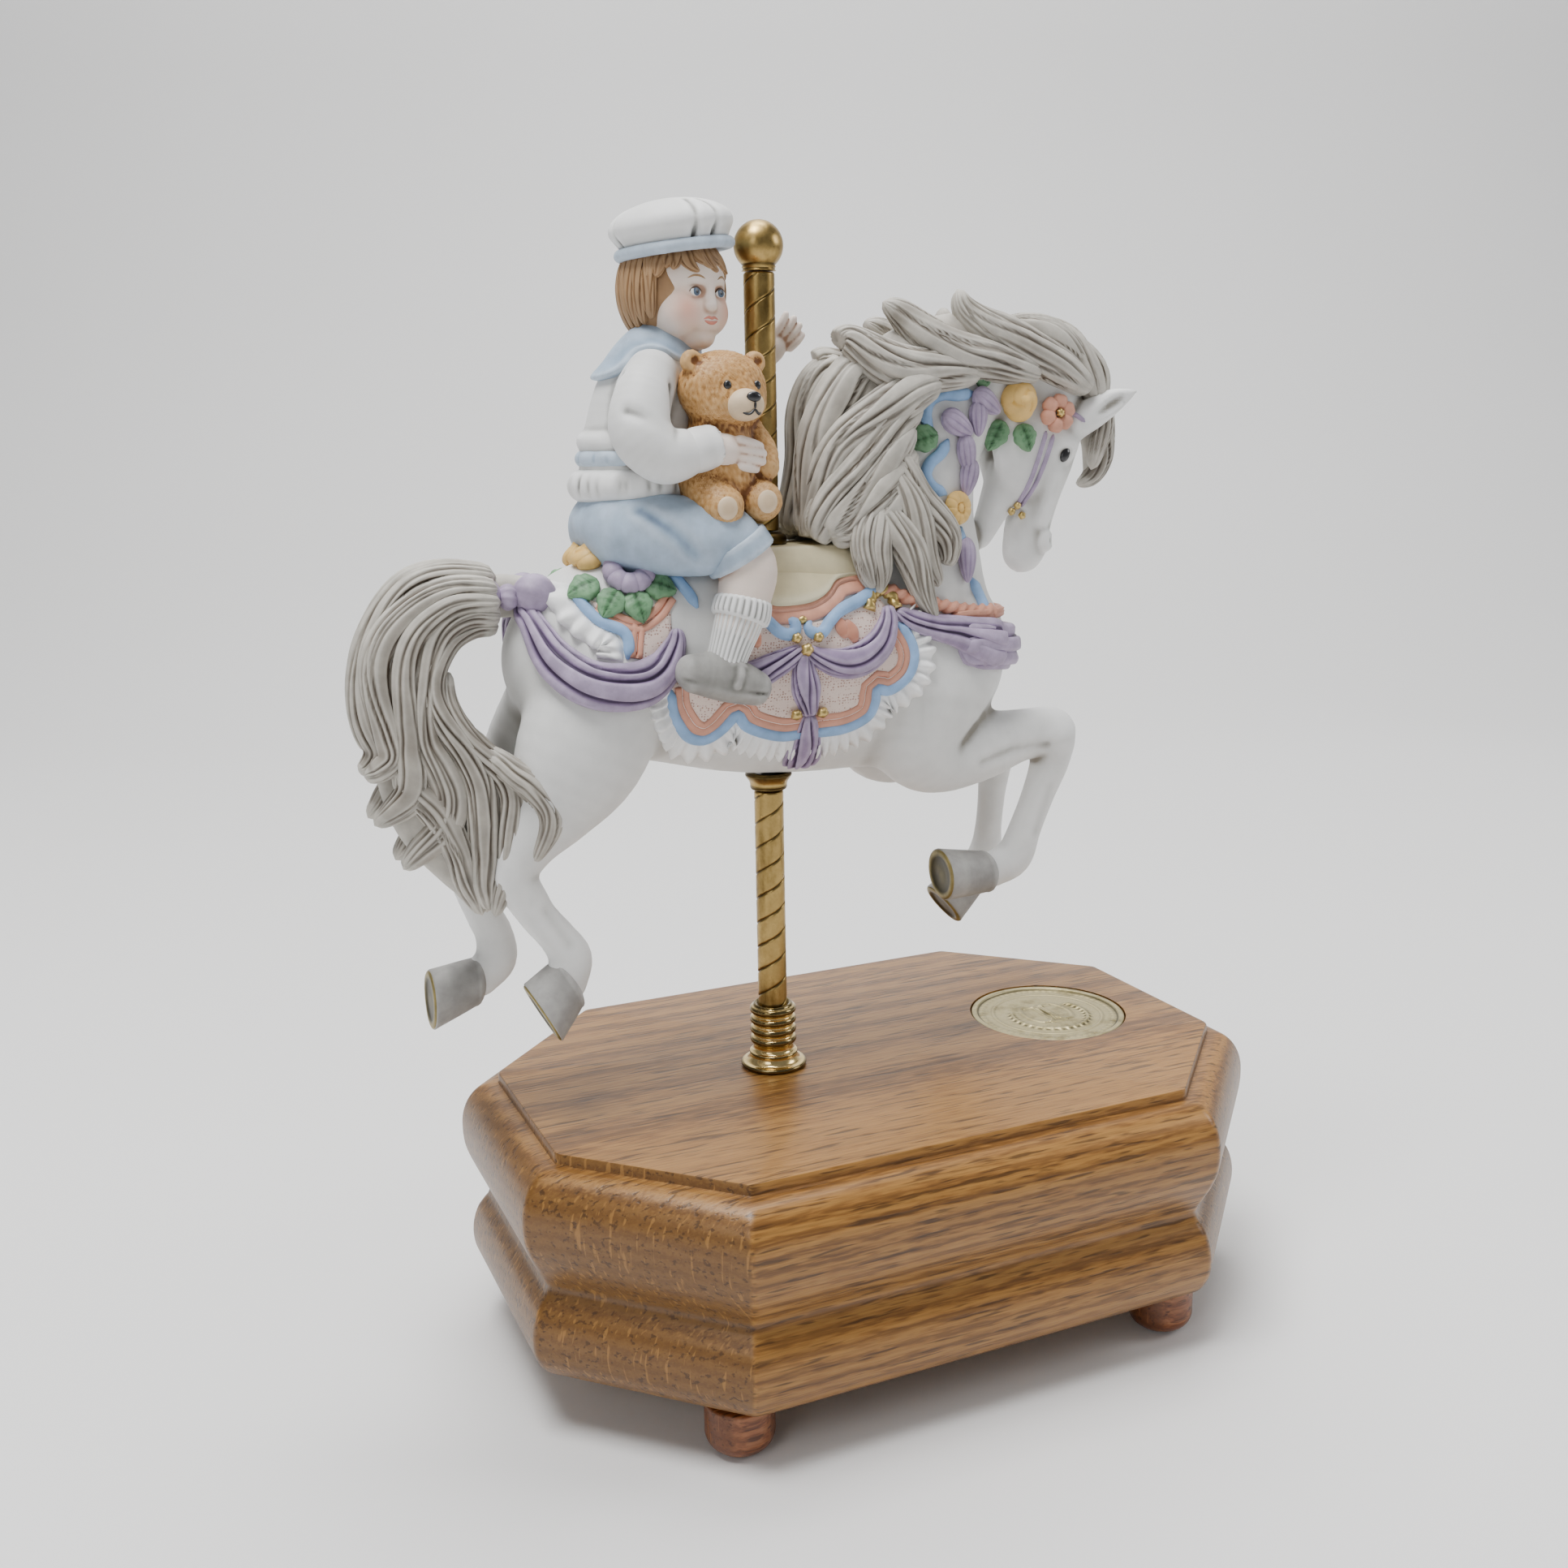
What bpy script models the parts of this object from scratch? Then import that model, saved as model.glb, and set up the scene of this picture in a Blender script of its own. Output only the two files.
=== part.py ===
"""A wind up music box: a porcelain carousel horse and rider on an oak base.

The pole carries the figure. A heart shaped cam on the music cylinder's arbor lifts it.
Metres, +Z up. The origin is on the surface the feet stand on, under the middle of the
whole object's outline. +X is the way the horse faces.
"""

from math import cos, pi, radians, sin, sqrt

import bmesh
import bpy
import numpy as np
from mathutils import Matrix, Vector

MM = 0.001
GAP = 0.3 * MM

# The base.
POLE_X = -15.3 * MM
BASE_X = POLE_X + 28.2 * MM
FOOT_HEIGHT = 14 * MM
BASE_HEIGHT = 60 * MM
BASE_TOP = FOOT_HEIGHT + BASE_HEIGHT
TOP_HALF_LENGTH = 100 * MM
TOP_HALF_WIDTH = 65.7 * MM
CORNER_CUT = 36.9 * MM
CAVITY_HALF_LENGTH = 78 * MM
CAVITY_HALF_WIDTH = 40 * MM
CAVITY_CUT = 22 * MM
CAVITY_ROOF = BASE_TOP - 12 * MM
COVER_MARGIN = 6 * MM
COVER_THICKNESS = 4 * MM
COVER_TOP = FOOT_HEIGHT + COVER_THICKNESS
FOOT_X = 64 * MM
FOOT_Y = 57 * MM
FOOT_RADIUS = 8.9 * MM
DOWEL_RADIUS = 3 * MM
DOWEL_LENGTH = 8 * MM
MEDALLION_X = POLE_X + 91 * MM
MEDALLION_RADIUS = 23 * MM
MEDALLION_THICKNESS = 1.4 * MM
MEDALLION_RIM = 1.6 * MM
MEDALLION_FIELD = BASE_TOP - 0.7 * MM
MEDALLION_TOP = BASE_TOP - 0.2 * MM
SCREW_RADIUS = 1.3 * MM
SCREW_HEAD_RADIUS = 2.6 * MM
SCREW_HEAD_HEIGHT = 1.5 * MM
COVER_SCREW_TOP = 29 * MM

# The pole, from the bottom up.
LIFT = 10 * MM
POLE_RADIUS = 4 * MM
ROD_RADIUS = 2 * MM
BUSH_RADIUS = 5.5 * MM
SLIDING_BORE = POLE_RADIUS + GAP
BELLY_Z = BASE_TOP + 84 * MM
SADDLE_Z = BASE_TOP + 144.5 * MM
COLLAR_HEIGHT = 4.6 * MM
SADDLE_COLLAR_HEIGHT = 3 * MM
COLLAR_RADIUS = 6.35 * MM
BALL_RADIUS = 6.35 * MM
BALL_Z = BASE_TOP + 219 * MM
UPPER_SLEEVE_TOP = BASE_TOP + 212.5 * MM
FERRULE_BOTTOM = BASE_TOP + GAP
FERRULE_HEIGHT = 18 * MM
FERRULE_WAIST = 5.5 * MM
FERRULE_BEADS = 4
BEAD_HEIGHT = 2.9 * MM

# The movement. Lengths along X are counted from the pole's axis.
SHAFT_Z = 34.5 * MM
SHAFT_RADIUS = 1.5 * MM
CAM_LOW = 5.5 * MM
CAM_THICKNESS = 3 * MM
SHOE_BOTTOM = SHAFT_Z + CAM_LOW + GAP
SHOE_NOSE = 1.5 * MM
SHOE_MIDDLE = 40 * MM
SHOE_TOP = 50 * MM
SHOE_THICKNESS = 6 * MM
GUIDE_PIN_X = POLE_X - 10 * MM
GUIDE_PIN_BOTTOM = 37 * MM
PIN_RADIUS = 1.5 * MM
PIN_TOP = BASE_TOP - 6 * MM
PLATE_BOTTOM = COVER_TOP + GAP
PLATE_TOP = PLATE_BOTTOM + 2.5 * MM
PLATE_START = POLE_X + 4 * MM
PLATE_END = POLE_X + 77 * MM
PLATE_NEAR = -26 * MM
PLATE_FAR = 31 * MM
CYLINDER_RADIUS = 6.5 * MM
CYLINDER_START = POLE_X + 17 * MM
CYLINDER_LENGTH = 20 * MM
CYLINDER_WHEEL_X = POLE_X + 11 * MM
PIN_HEIGHT = 0.6 * MM
NOTES = 18
COMB_TIP_Y = -7.6 * MM
COMB_HEEL_Y = -23 * MM
COMB_BASE_TOP = SHAFT_Z - 0.6 * MM
COMB_THICKNESS = 1 * MM
COMB_SLOT = 0.32 * MM
COMB_SCREW_Y = COMB_HEEL_Y + 2.7 * MM
COMB_SCREWS_X = (CYLINDER_START + 4 * MM, CYLINDER_START + CYLINDER_LENGTH - 4 * MM)
FINE_MODULE = 0.6 * MM
CYLINDER_WHEEL_TEETH = 40
GOVERNOR_PINION_TEETH = 10
WORM_WHEEL_TEETH = 24
COARSE_MODULE = 0.8 * MM
PINION_TEETH = 12
CROWN_TEETH = 36
CROWN_RADIUS = COARSE_MODULE * CROWN_TEETH / 2
PINION_X = POLE_X + 43.5 * MM
BARREL_X = PINION_X + CROWN_RADIUS
BARREL_TOP = 28.5 * MM
RATCHET_TEETH = 12
ARBOR_RADIUS = 2 * MM
ARBOR_BOTTOM = 6 * MM
BARREL_WALL = 1.1 * MM
BARREL_LOW = 22.6 * MM
CROWN_TOOTH_HEIGHT = 2 * MM
SPRING_LOW = 23.4 * MM
SPRING_HIGH = 27 * MM
SPRING_TURNS = 5
SPRING_THICKNESS = 0.45 * MM
HUB_RADIUS = 3.2 * MM
BRIDGE_LOW = 31.6 * MM
BRIDGE_TOP = 33.6 * MM
BRIDGE_HALF_SPAN = 21 * MM
BRIDGE_LEG = 3 * MM
BRIDGE_WIDTH = 16 * MM
RATCHET_RADIUS = 5 * MM
RATCHET_Z = BRIDGE_TOP + GAP + 0.8 * MM
RATCHET_THICKNESS = 1.4 * MM
CLICK_THICKNESS = 1.2 * MM
CLICK_PIVOT = (5.6 * MM, 10.4 * MM)
KEY_HUB_RADIUS = 3.4 * MM
KEY_LOW = 2 * MM
KEY_HUB_TOP = 16 * MM
KEY_WING_THICKNESS = 1.8 * MM

# The governor.
GOVERNOR_Y = FINE_MODULE * (CYLINDER_WHEEL_TEETH + GOVERNOR_PINION_TEETH) / 2
GOVERNOR_AXLE_END = POLE_X + 23 * MM
BRACKET_X = POLE_X + 21.8 * MM
WORM_RADIUS = 1.3 * MM
WORM_GAP = 0.25 * MM
WORM_WHEEL_DEPTH = 0.7
WORM_Y = GOVERNOR_Y + FINE_MODULE * (WORM_WHEEL_TEETH / 2 + WORM_WHEEL_DEPTH) + WORM_RADIUS + WORM_GAP
WORM_WHEEL_X = POLE_X + 14.6 * MM
WORM_PIVOT_RADIUS = 0.7 * MM
WORM_LOW = 24.3 * MM
WORM_THREAD_LOW = 27.5 * MM
WORM_THREAD_TOP = 41 * MM
WORM_TOP = 52 * MM
FAN_HALF_WIDTH = 5.5 * MM
FAN_HALF_THICKNESS = 0.4 * MM
FAN_LOW = 43.6 * MM
FAN_TOP = 49.6 * MM
TOP_LUG_LOW = 51.2 * MM

# The castings.
SIDES = (-1, 1)
CASTING_WALL = 5.5
SWELLING = 1.6 * GAP
SEAT_ROOM = 9 * MM

# Colours.
OAK = (0.36, 0.17, 0.06)
DARK_OAK = (0.25, 0.08, 0.03)
BOARD = (0.42, 0.3, 0.18)
BRASS = (0.62, 0.44, 0.16)
PALE_BRASS = (0.6, 0.52, 0.3)
STEEL = (0.55, 0.55, 0.56)
BISQUE = (0.86, 0.85, 0.82)
RIDER_BISQUE = (0.8, 0.78, 0.76)
BEAR_BISQUE = (0.5, 0.28, 0.1)

OBJECT = bpy.data.collections.new("wind_up_music_box")
CUTTERS = bpy.data.collections.new("cutters")


def clear_scene():
    for obj in list(bpy.data.objects):
        bpy.data.objects.remove(obj)
    for collection in (OBJECT, CUTTERS):
        bpy.context.scene.collection.children.link(collection)


def material(name, color, roughness, metallic=0.0):
    made = bpy.data.materials.new(name)
    made.use_nodes = True
    shader = made.node_tree.nodes["Principled BSDF"]
    shader.inputs["Base Color"].default_value = (*color, 1)
    shader.inputs["Roughness"].default_value = roughness
    shader.inputs["Metallic"].default_value = metallic
    return made


def brass(node):
    return material(f"{node}_brass", BRASS, 0.3, 1.0)


def steel(node):
    return material(f"{node}_steel", STEEL, 0.35, 1.0)


# ---- Shapes -------------------------------------------------------------------------


def place(name, mesh, finish, matrix=Matrix()):
    obj = bpy.data.objects.new(name, mesh)
    obj.matrix_world = matrix
    if finish:
        mesh.materials.clear()
        mesh.materials.append(finish)
        OBJECT.objects.link(obj)
    else:
        obj.hide_render = True
        obj.display_type = "WIRE"
        CUTTERS.objects.link(obj)
    return obj


def smooth(mesh, degrees=35):
    mesh.shade_smooth()
    mesh.set_sharp_from_angle(angle=radians(degrees))


def evaluated_mesh(obj):
    """The mesh that an object's modifiers or curve make, welded."""
    bpy.context.view_layer.update()
    graph = bpy.context.evaluated_depsgraph_get()
    mesh = bpy.data.meshes.new_from_object(obj.evaluated_get(graph))
    shape = bmesh.new()
    shape.from_mesh(mesh)
    bmesh.ops.remove_doubles(shape, verts=shape.verts, dist=1e-7)
    bmesh.ops.recalc_face_normals(shape, faces=shape.faces)
    shape.to_mesh(mesh)
    shape.free()
    return mesh


def settle(obj):
    """Replaces an object's mesh with its modifiers' result."""
    mesh = evaluated_mesh(obj)
    obj.modifiers.clear()
    obj.data = mesh
    return obj


def cut(obj, *cutters):
    for cutter in cutters:
        step = obj.modifiers.new(cutter.name, "BOOLEAN")
        step.operation = "DIFFERENCE"
        step.object = cutter
        step.use_self = cutter.name.endswith("_swollen")
    return obj


def fuse(obj, *others):
    """Joins other closed meshes to an object and removes them."""
    for other in others:
        step = obj.modifiers.new(other.name, "BOOLEAN")
        step.operation = "UNION"
        step.object = other
    settle(obj)
    for other in others:
        bpy.data.objects.remove(other)
    return obj


def turned(name, profile, finish, at=(0, 0, 0), steps=18, axis="Z"):
    """A turned solid. Its profile is (radius, height) points, from the top down.

    A profile whose ends are off the axis is closed to a ring.
    """
    mesh = bpy.data.meshes.new(name)
    points = [(radius, 0, height) for radius, height in profile]
    edges = [(i, i + 1) for i in range(len(points) - 1)]
    if profile[0][0] > 0 and profile[-1][0] > 0:
        edges.append((len(points) - 1, 0))
    mesh.from_pydata(points, edges, [])
    turn = {
        "Z": Matrix(),
        "X": Matrix.Rotation(pi / 2, 4, "Y"),
        "Y": Matrix.Rotation(-pi / 2, 4, "X"),
    }[axis]
    obj = place(name, mesh, finish, Matrix.Translation(at) @ turn)
    screw = obj.modifiers.new("turn", "SCREW")
    screw.steps = steps
    screw.render_steps = steps
    screw.use_merge_vertices = True
    screw.merge_threshold = 1e-6
    settle(obj)
    smooth(obj.data)
    return obj


def rod(name, radius, low, high, finish, at=(0, 0, 0), steps=18, axis="Z"):
    profile = [(0, high), (radius, high), (radius, low), (0, low)]
    return turned(name, profile, finish, at, steps, axis)


def tube(name, outer, inner, low, high, finish, at=(0, 0, 0), steps=18, axis="Z"):
    profile = [(outer, high), (outer, low), (inner, low), (inner, high)]
    return turned(name, profile, finish, at, steps, axis)


def plate(name, outlines, thickness, finish, matrix=Matrix()):
    """A flat plate: its first outline is its edge, and the others are holes."""
    curve = bpy.data.curves.new(name, "CURVE")
    curve.dimensions = "2D"
    curve.fill_mode = "BOTH"
    curve.extrude = thickness / 2
    for outline in outlines:
        spline = curve.splines.new("POLY")
        spline.points.add(len(outline) - 1)
        for point, (x, y) in zip(spline.points, outline):
            point.co = (x, y, 0, 1)
        spline.use_cyclic_u = True
    shape = bpy.data.objects.new(name, curve)
    bpy.context.scene.collection.objects.link(shape)
    mesh = evaluated_mesh(shape)
    bpy.data.objects.remove(shape)
    return place(name, mesh, finish, matrix)


def block(name, low, high, finish):
    bpy.ops.mesh.primitive_cube_add(size=1)
    cube = bpy.context.object
    mesh = cube.data
    bpy.data.objects.remove(cube)
    size = Vector(high) - Vector(low)
    middle = (Vector(high) + Vector(low)) / 2
    mesh.transform(Matrix.Translation(middle) @ Matrix.Diagonal((*size, 1)))
    return place(name, mesh, finish)


def circle(radius, count=16, x=0.0, y=0.0):
    turns = [2 * pi * i / count for i in range(count)]
    return [(x + radius * cos(t), y + radius * sin(t)) for t in turns]


def rectangle(x0, x1, y0, y1):
    return [(x0, y0), (x1, y0), (x1, y1), (x0, y1)]


def octagon(half_length, half_width, corner):
    x, y = half_length, half_width
    return [
        (x, corner - y),
        (x, y - corner),
        (x - corner, y),
        (corner - x, y),
        (-x, y - corner),
        (-x, corner - y),
        (corner - x, -y),
        (x - corner, -y),
    ]


def gear_outline(teeth, module, depth=0.9, share=0.42, shift=0.0):
    """A spur gear's edge: each tooth is a trapezoid that leaves some backlash."""
    tip = module * (teeth / 2 + depth)
    root = module * (teeth / 2 - 1.2)
    pitch = 2 * pi / teeth
    points = []
    for i in range(teeth):
        middle = (i + shift) * pitch
        wide, narrow = share * pitch * 0.66, share * pitch * 0.27
        for radius, turn in ((root, -wide), (tip, -narrow), (tip, narrow), (root, wide)):
            points.append((radius * cos(middle + turn), radius * sin(middle + turn)))
    return points


def facing_x(x, y=0.0, z=0.0):
    """Stands a flat outline up: its x runs along Y, its y along Z, its depth along X."""
    return Matrix(((0, 0, 1, x), (1, 0, 0, y), (0, 1, 0, z), (0, 0, 0, 1)))


def at_height(z, x=0.0, y=0.0):
    return Matrix.Translation((x, y, z))


# ---- The oak base ---------------------------------------------------------------------


def arc(middle, radius, start, end, count):
    turns = np.radians(np.linspace(start, end, count))
    return [(middle[0] + radius * cos(t), middle[1] + radius * sin(t)) for t in turns]


def moulding():
    """The side's profile, as (how far it stands out, height under the top), in mm."""
    shoulder = arc((2.6, -14.6), 7.4, 78, 0, 7)
    upper = [(10.0, -20.0)] + arc((-2.2, -20.0), 12.2, -12, -38, 3)
    waist = arc((13.0, -40.0), 9.9, 158, 212, 6)
    lower = arc((1.2, -50.2), 7.2, 46, -40, 6)
    return [(0, 0), (0, -2.4), (1.6, -2.8)] + shoulder + upper + waist + lower + [(0, -60)]


def oak_base():
    rings = []
    shape = bmesh.new()
    for out, down in moulding():
        d = out * MM
        cut_back = CORNER_CUT + d * (2 - sqrt(2))
        edge = octagon(TOP_HALF_LENGTH + d, TOP_HALF_WIDTH + d, cut_back)
        z = BASE_TOP + down * MM
        rings.append([shape.verts.new((BASE_X + x, y, z)) for x, y in edge])
    for upper, lower in zip(rings, rings[1:]):
        for i in range(8):
            k = (i + 1) % 8
            shape.faces.new((lower[i], lower[k], upper[k], upper[i]))
    shape.faces.new(rings[0])
    shape.faces.new(reversed(rings[-1]))
    mesh = bpy.data.meshes.new("oak_base")
    shape.to_mesh(mesh)
    shape.free()
    base = place("oak_base", mesh, material("oak", OAK, 0.4))

    middle = at_height(0, BASE_X)
    room = octagon(CAVITY_HALF_LENGTH, CAVITY_HALF_WIDTH, CAVITY_CUT)
    depth = CAVITY_ROOF - FOOT_HEIGHT + MM
    cavity_middle = at_height(CAVITY_ROOF - depth / 2)
    cavity = plate("cavity_cut", [room], depth, None, middle @ cavity_middle)
    ledge = octagon(*cover_size(GAP))
    rebate_depth = COVER_THICKNESS + GAP + MM
    rebate_top = COVER_TOP + GAP
    rebate_middle = at_height(rebate_top - rebate_depth / 2)
    rebate = plate("rebate_cut", [ledge], rebate_depth, None, middle @ rebate_middle)
    low, high = CAVITY_ROOF - MM, BASE_TOP + MM
    pole = (POLE_X, 0, 0)
    bore = rod("bush_cut", BUSH_RADIUS + GAP, low, high, None, pole)
    recess_floor = BASE_TOP - MEDALLION_THICKNESS - GAP
    disc = (MEDALLION_X, 0, 0)
    recess = rod("medallion_cut", MEDALLION_RADIUS + GAP, recess_floor, high, None, disc, 40)
    pin = (GUIDE_PIN_X, 0, 0)
    pin_hole = rod("pin_cut", PIN_RADIUS + GAP, low, PIN_TOP + GAP, None, pin, 12)
    cut(base, cavity, rebate, bore, recess, pin_hole)
    for i, (x, y) in enumerate(foot_places()):
        top = FOOT_HEIGHT + DOWEL_LENGTH + GAP
        hole = rod(f"dowel_cut_{i}", DOWEL_RADIUS + GAP, FOOT_HEIGHT - MM, top, None, (x, y, 0), 12)
        cut(base, hole)
    for i, (x, y) in enumerate(cover_screw_places()):
        top = COVER_SCREW_TOP + GAP
        hole = rod(f"screw_cut_{i}", SCREW_RADIUS + GAP, COVER_TOP, top, None, (x, y, 0), 12)
        cut(base, hole)
    settle(base)


def cover_size(grow):
    margin = COVER_MARGIN + grow
    corner = CAVITY_CUT + COVER_MARGIN * (2 - sqrt(2))
    return CAVITY_HALF_LENGTH + margin, CAVITY_HALF_WIDTH + margin, corner


def foot_places():
    return [(BASE_X + i * FOOT_X, k * FOOT_Y) for i in (-1, 1) for k in (-1, 1)]


def foot(number, x, y):
    """A turned button foot with its dowel."""
    top = FOOT_HEIGHT - GAP
    profile = [(0, FOOT_HEIGHT + DOWEL_LENGTH), (DOWEL_RADIUS, FOOT_HEIGHT + DOWEL_LENGTH)]
    profile += [(DOWEL_RADIUS, top), (FOOT_RADIUS - 0.5 * MM, top), (FOOT_RADIUS, 9.5 * MM)]
    bottom = FOOT_RADIUS - 5 * MM
    profile += [(bottom + r * MM, (5.5 + z) * MM) for r, z in arc((0, 0), 5, 0, -72, 4)]
    profile += [(bottom, 0), (0, 0)]
    turned(f"foot_{number}", profile, material(f"foot_{number}_wood", DARK_OAK, 0.35), (x, y, 0), 16)


def cover_screw_places():
    out = COVER_MARGIN / 2
    along = CAVITY_HALF_LENGTH + out
    across = CAVITY_HALF_WIDTH + out
    return [(BASE_X + along, 0), (BASE_X - along, 0), (BASE_X, across), (BASE_X, -across)]


def movement_screw_places():
    return [(POLE_X + 8 * MM, -20 * MM), (POLE_X + 8 * MM, 27 * MM), (POLE_X + 72 * MM, 0)]


def bottom_cover():
    outline = octagon(*cover_size(0))
    holes = [
        circle(SCREW_RADIUS + GAP, 12, x - BASE_X, y)
        for x, y in cover_screw_places() + movement_screw_places()
    ]
    holes.append(circle(KEY_HUB_RADIUS + 3 * GAP, 20, BARREL_X - BASE_X))
    middle = at_height((FOOT_HEIGHT + COVER_TOP) / 2, BASE_X)
    finish = material("cover_board", BOARD, 0.7)
    plate("bottom_cover", [outline, *holes], COVER_THICKNESS, finish, middle)


def pan_screw(name, x, y, top, finish):
    """A screw put in from below, with a domed head under the board."""
    seat = FOOT_HEIGHT - GAP
    low = seat - SCREW_HEAD_HEIGHT
    head = [(SCREW_HEAD_RADIUS, seat), (SCREW_HEAD_RADIUS - 0.1 * MM, low + 0.8 * MM)]
    head += [(SCREW_HEAD_RADIUS - 1.1 * MM, low + 0.1 * MM), (0, low)]
    profile = [(0, top), (SCREW_RADIUS, top - MM), (SCREW_RADIUS, seat), *head]
    turned(name, profile, finish, (x, y, 0), 12)


def medallion():
    low = BASE_TOP - MEDALLION_THICKNESS
    rim = MEDALLION_RADIUS - MEDALLION_RIM
    profile = [(0, MEDALLION_FIELD), (rim, MEDALLION_FIELD), (rim, MEDALLION_TOP)]
    profile += [(MEDALLION_RADIUS, MEDALLION_TOP), (MEDALLION_RADIUS, low), (0, low)]
    finish = material("medallion_brass", PALE_BRASS, 0.45, 1.0)
    turned("medallion", profile, finish, (MEDALLION_X, 0, 0), 40)


# ---- The pole -------------------------------------------------------------------------


def ferrule():
    """A stepped ferrule: a flange, a narrow band and a stack of round beads."""
    bore = SLIDING_BORE + 0.2 * MM
    edge = [(FERRULE_WAIST - 0.2 * MM, FERRULE_HEIGHT)]
    for i in range(FERRULE_BEADS):
        middle = FERRULE_HEIGHT - 0.7 * MM - (i + 0.5) * BEAD_HEIGHT
        for t in np.radians((70, 0, -70)):
            out = FERRULE_WAIST + 0.85 * MM * cos(t)
            edge.append((out, middle + 0.46 * BEAD_HEIGHT * sin(t)))
    flange = [(5.5, 4.6), (6.6, 4.2), (6.6, 3.2), (7.2, 2.4), (9.0, 1.6), (9.25, 0.8), (9.0, 0)]
    edge += [(radius * MM, height * MM) for radius, height in flange]
    edge += [(bore, 0), (bore, FERRULE_HEIGHT)]
    turned("pole_ferrule", edge, brass("ferrule"), (POLE_X, 0, FERRULE_BOTTOM), 18)


def pole():
    at = (POLE_X, 0, 0)
    bore = ROD_RADIUS + GAP
    low = BELLY_Z - GAP - COLLAR_HEIGHT
    tube("guide_bush", BUSH_RADIUS, SLIDING_BORE, CAVITY_ROOF - 2 * MM, BASE_TOP, brass("bush"), at)
    rod("pole_rod", ROD_RADIUS, SHOE_BOTTOM + 4 * MM, BALL_Z - 0.5 * MM, steel("rod"), at, 16)
    tube("lower_pole_sleeve", POLE_RADIUS, bore, SHOE_TOP + GAP, low - GAP, brass("lower_sleeve"), at)
    top = BELLY_Z - GAP
    collar = [(COLLAR_RADIUS, top), (COLLAR_RADIUS, top - 1.2 * MM), (5.6 * MM, top - 2.8 * MM)]
    collar += [(4.6 * MM, top - 4 * MM), (4.5 * MM, low), (bore, low), (bore, top)]
    turned("belly_collar", collar, brass("belly_collar"), at)
    low = SADDLE_Z + GAP
    top = low + SADDLE_COLLAR_HEIGHT
    collar = [(4.3 * MM, top), (5.2 * MM, top - 0.7 * MM), (5.8 * MM, low + 1.1 * MM)]
    collar += [(6.0 * MM, low), (bore, low), (bore, top)]
    turned("saddle_collar", collar, brass("saddle_collar"), at)
    tube("upper_pole_sleeve", POLE_RADIUS, bore, top + GAP, UPPER_SLEEVE_TOP, brass("upper_sleeve"), at)
    ball = [(r, BALL_Z + z) for r, z in arc((0, 0), BALL_RADIUS, 90, -48, 9)]
    ball[0] = (0, BALL_Z + BALL_RADIUS)
    ball += [(3.9 * MM, BALL_Z - 5.6 * MM), (3.9 * MM, UPPER_SLEEVE_TOP + GAP)]
    ball += [(bore, UPPER_SLEEVE_TOP + GAP), (bore, BALL_Z), (0, BALL_Z)]
    turned("ball_finial", ball, brass("ball"), at, 18)


def follower_shoe():
    """The shoe under the pole: a round nose on the cam and an eye on the guide pin."""
    side = [(4.5, 10), (4.5, 5), (1.5, 2)]
    outline = [(-y * MM, z * MM) for y, z in side]
    nose = SHOE_BOTTOM + SHOE_NOSE - SHOE_MIDDLE
    for t in np.radians((205, 240, 270, 300, 335)):
        outline.append((SHOE_NOSE * cos(t), nose + SHOE_NOSE * sin(t)))
    outline += [(y * MM, z * MM) for y, z in reversed(side)]
    upright = facing_x(POLE_X, 0, SHOE_MIDDLE)
    shoe = plate("follower_shoe", [outline], SHOE_THICKNESS, brass("shoe"), upright)
    edge = rectangle(-14 * MM, -2.5 * MM, -3.5 * MM, 3.5 * MM)
    eye = circle(PIN_RADIUS + GAP, 16, GUIDE_PIN_X - POLE_X)
    arm = plate("shoe_arm", [edge, eye], 3 * MM, None, at_height(SHOE_TOP - 2.5 * MM, POLE_X))
    fuse(shoe, arm)
    low, high = SHOE_BOTTOM + 3.7 * MM, SHOE_TOP + MM
    cut(shoe, rod("shoe_socket_cut", ROD_RADIUS + GAP, low, high, None, (POLE_X, 0, 0), 16))
    finish = steel("guide_pin")
    rod("guide_pin", PIN_RADIUS, GUIDE_PIN_BOTTOM, PIN_TOP, finish, (GUIDE_PIN_X, 0, 0), 12)


# ---- The movement ---------------------------------------------------------------------


def heart_cam():
    """Its radius grows evenly over half a turn, and shrinks evenly over the other half."""
    steps = 48
    edge = []
    for i in range(steps):
        turn = 2 * pi * i / steps
        share = 1 - abs(turn / pi - 1)
        radius = CAM_LOW + LIFT * share
        edge.append((-radius * sin(turn), radius * cos(turn)))
    hole = circle(SHAFT_RADIUS + GAP, 12)
    plate("heart_cam", [edge, hole], CAM_THICKNESS, steel("cam"), facing_x(POLE_X, 0, SHAFT_Z))


def cylinder_group():
    """The arbor and what turns with it."""
    axis = (0, 0, SHAFT_Z)
    start, end = POLE_X - 3 * MM, PINION_X + 3 * MM
    rod("cylinder_arbor", SHAFT_RADIUS, start, end, steel("arbor"), axis, 12, "X")
    bore = SHAFT_RADIUS + GAP
    hole = circle(bore, 12)
    edge = gear_outline(CYLINDER_WHEEL_TEETH, FINE_MODULE)
    upright = facing_x(CYLINDER_WHEEL_X, 0, SHAFT_Z)
    plate("cylinder_wheel", [edge, hole], 2 * MM, brass("wheel"), upright)
    edge = gear_outline(PINION_TEETH, COARSE_MODULE, shift=0.5)
    upright = facing_x(PINION_X, 0, SHAFT_Z)
    plate("cylinder_pinion", [edge, hole], 3 * MM, brass("pinion"), upright)
    pinned_cylinder(bore)


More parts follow.
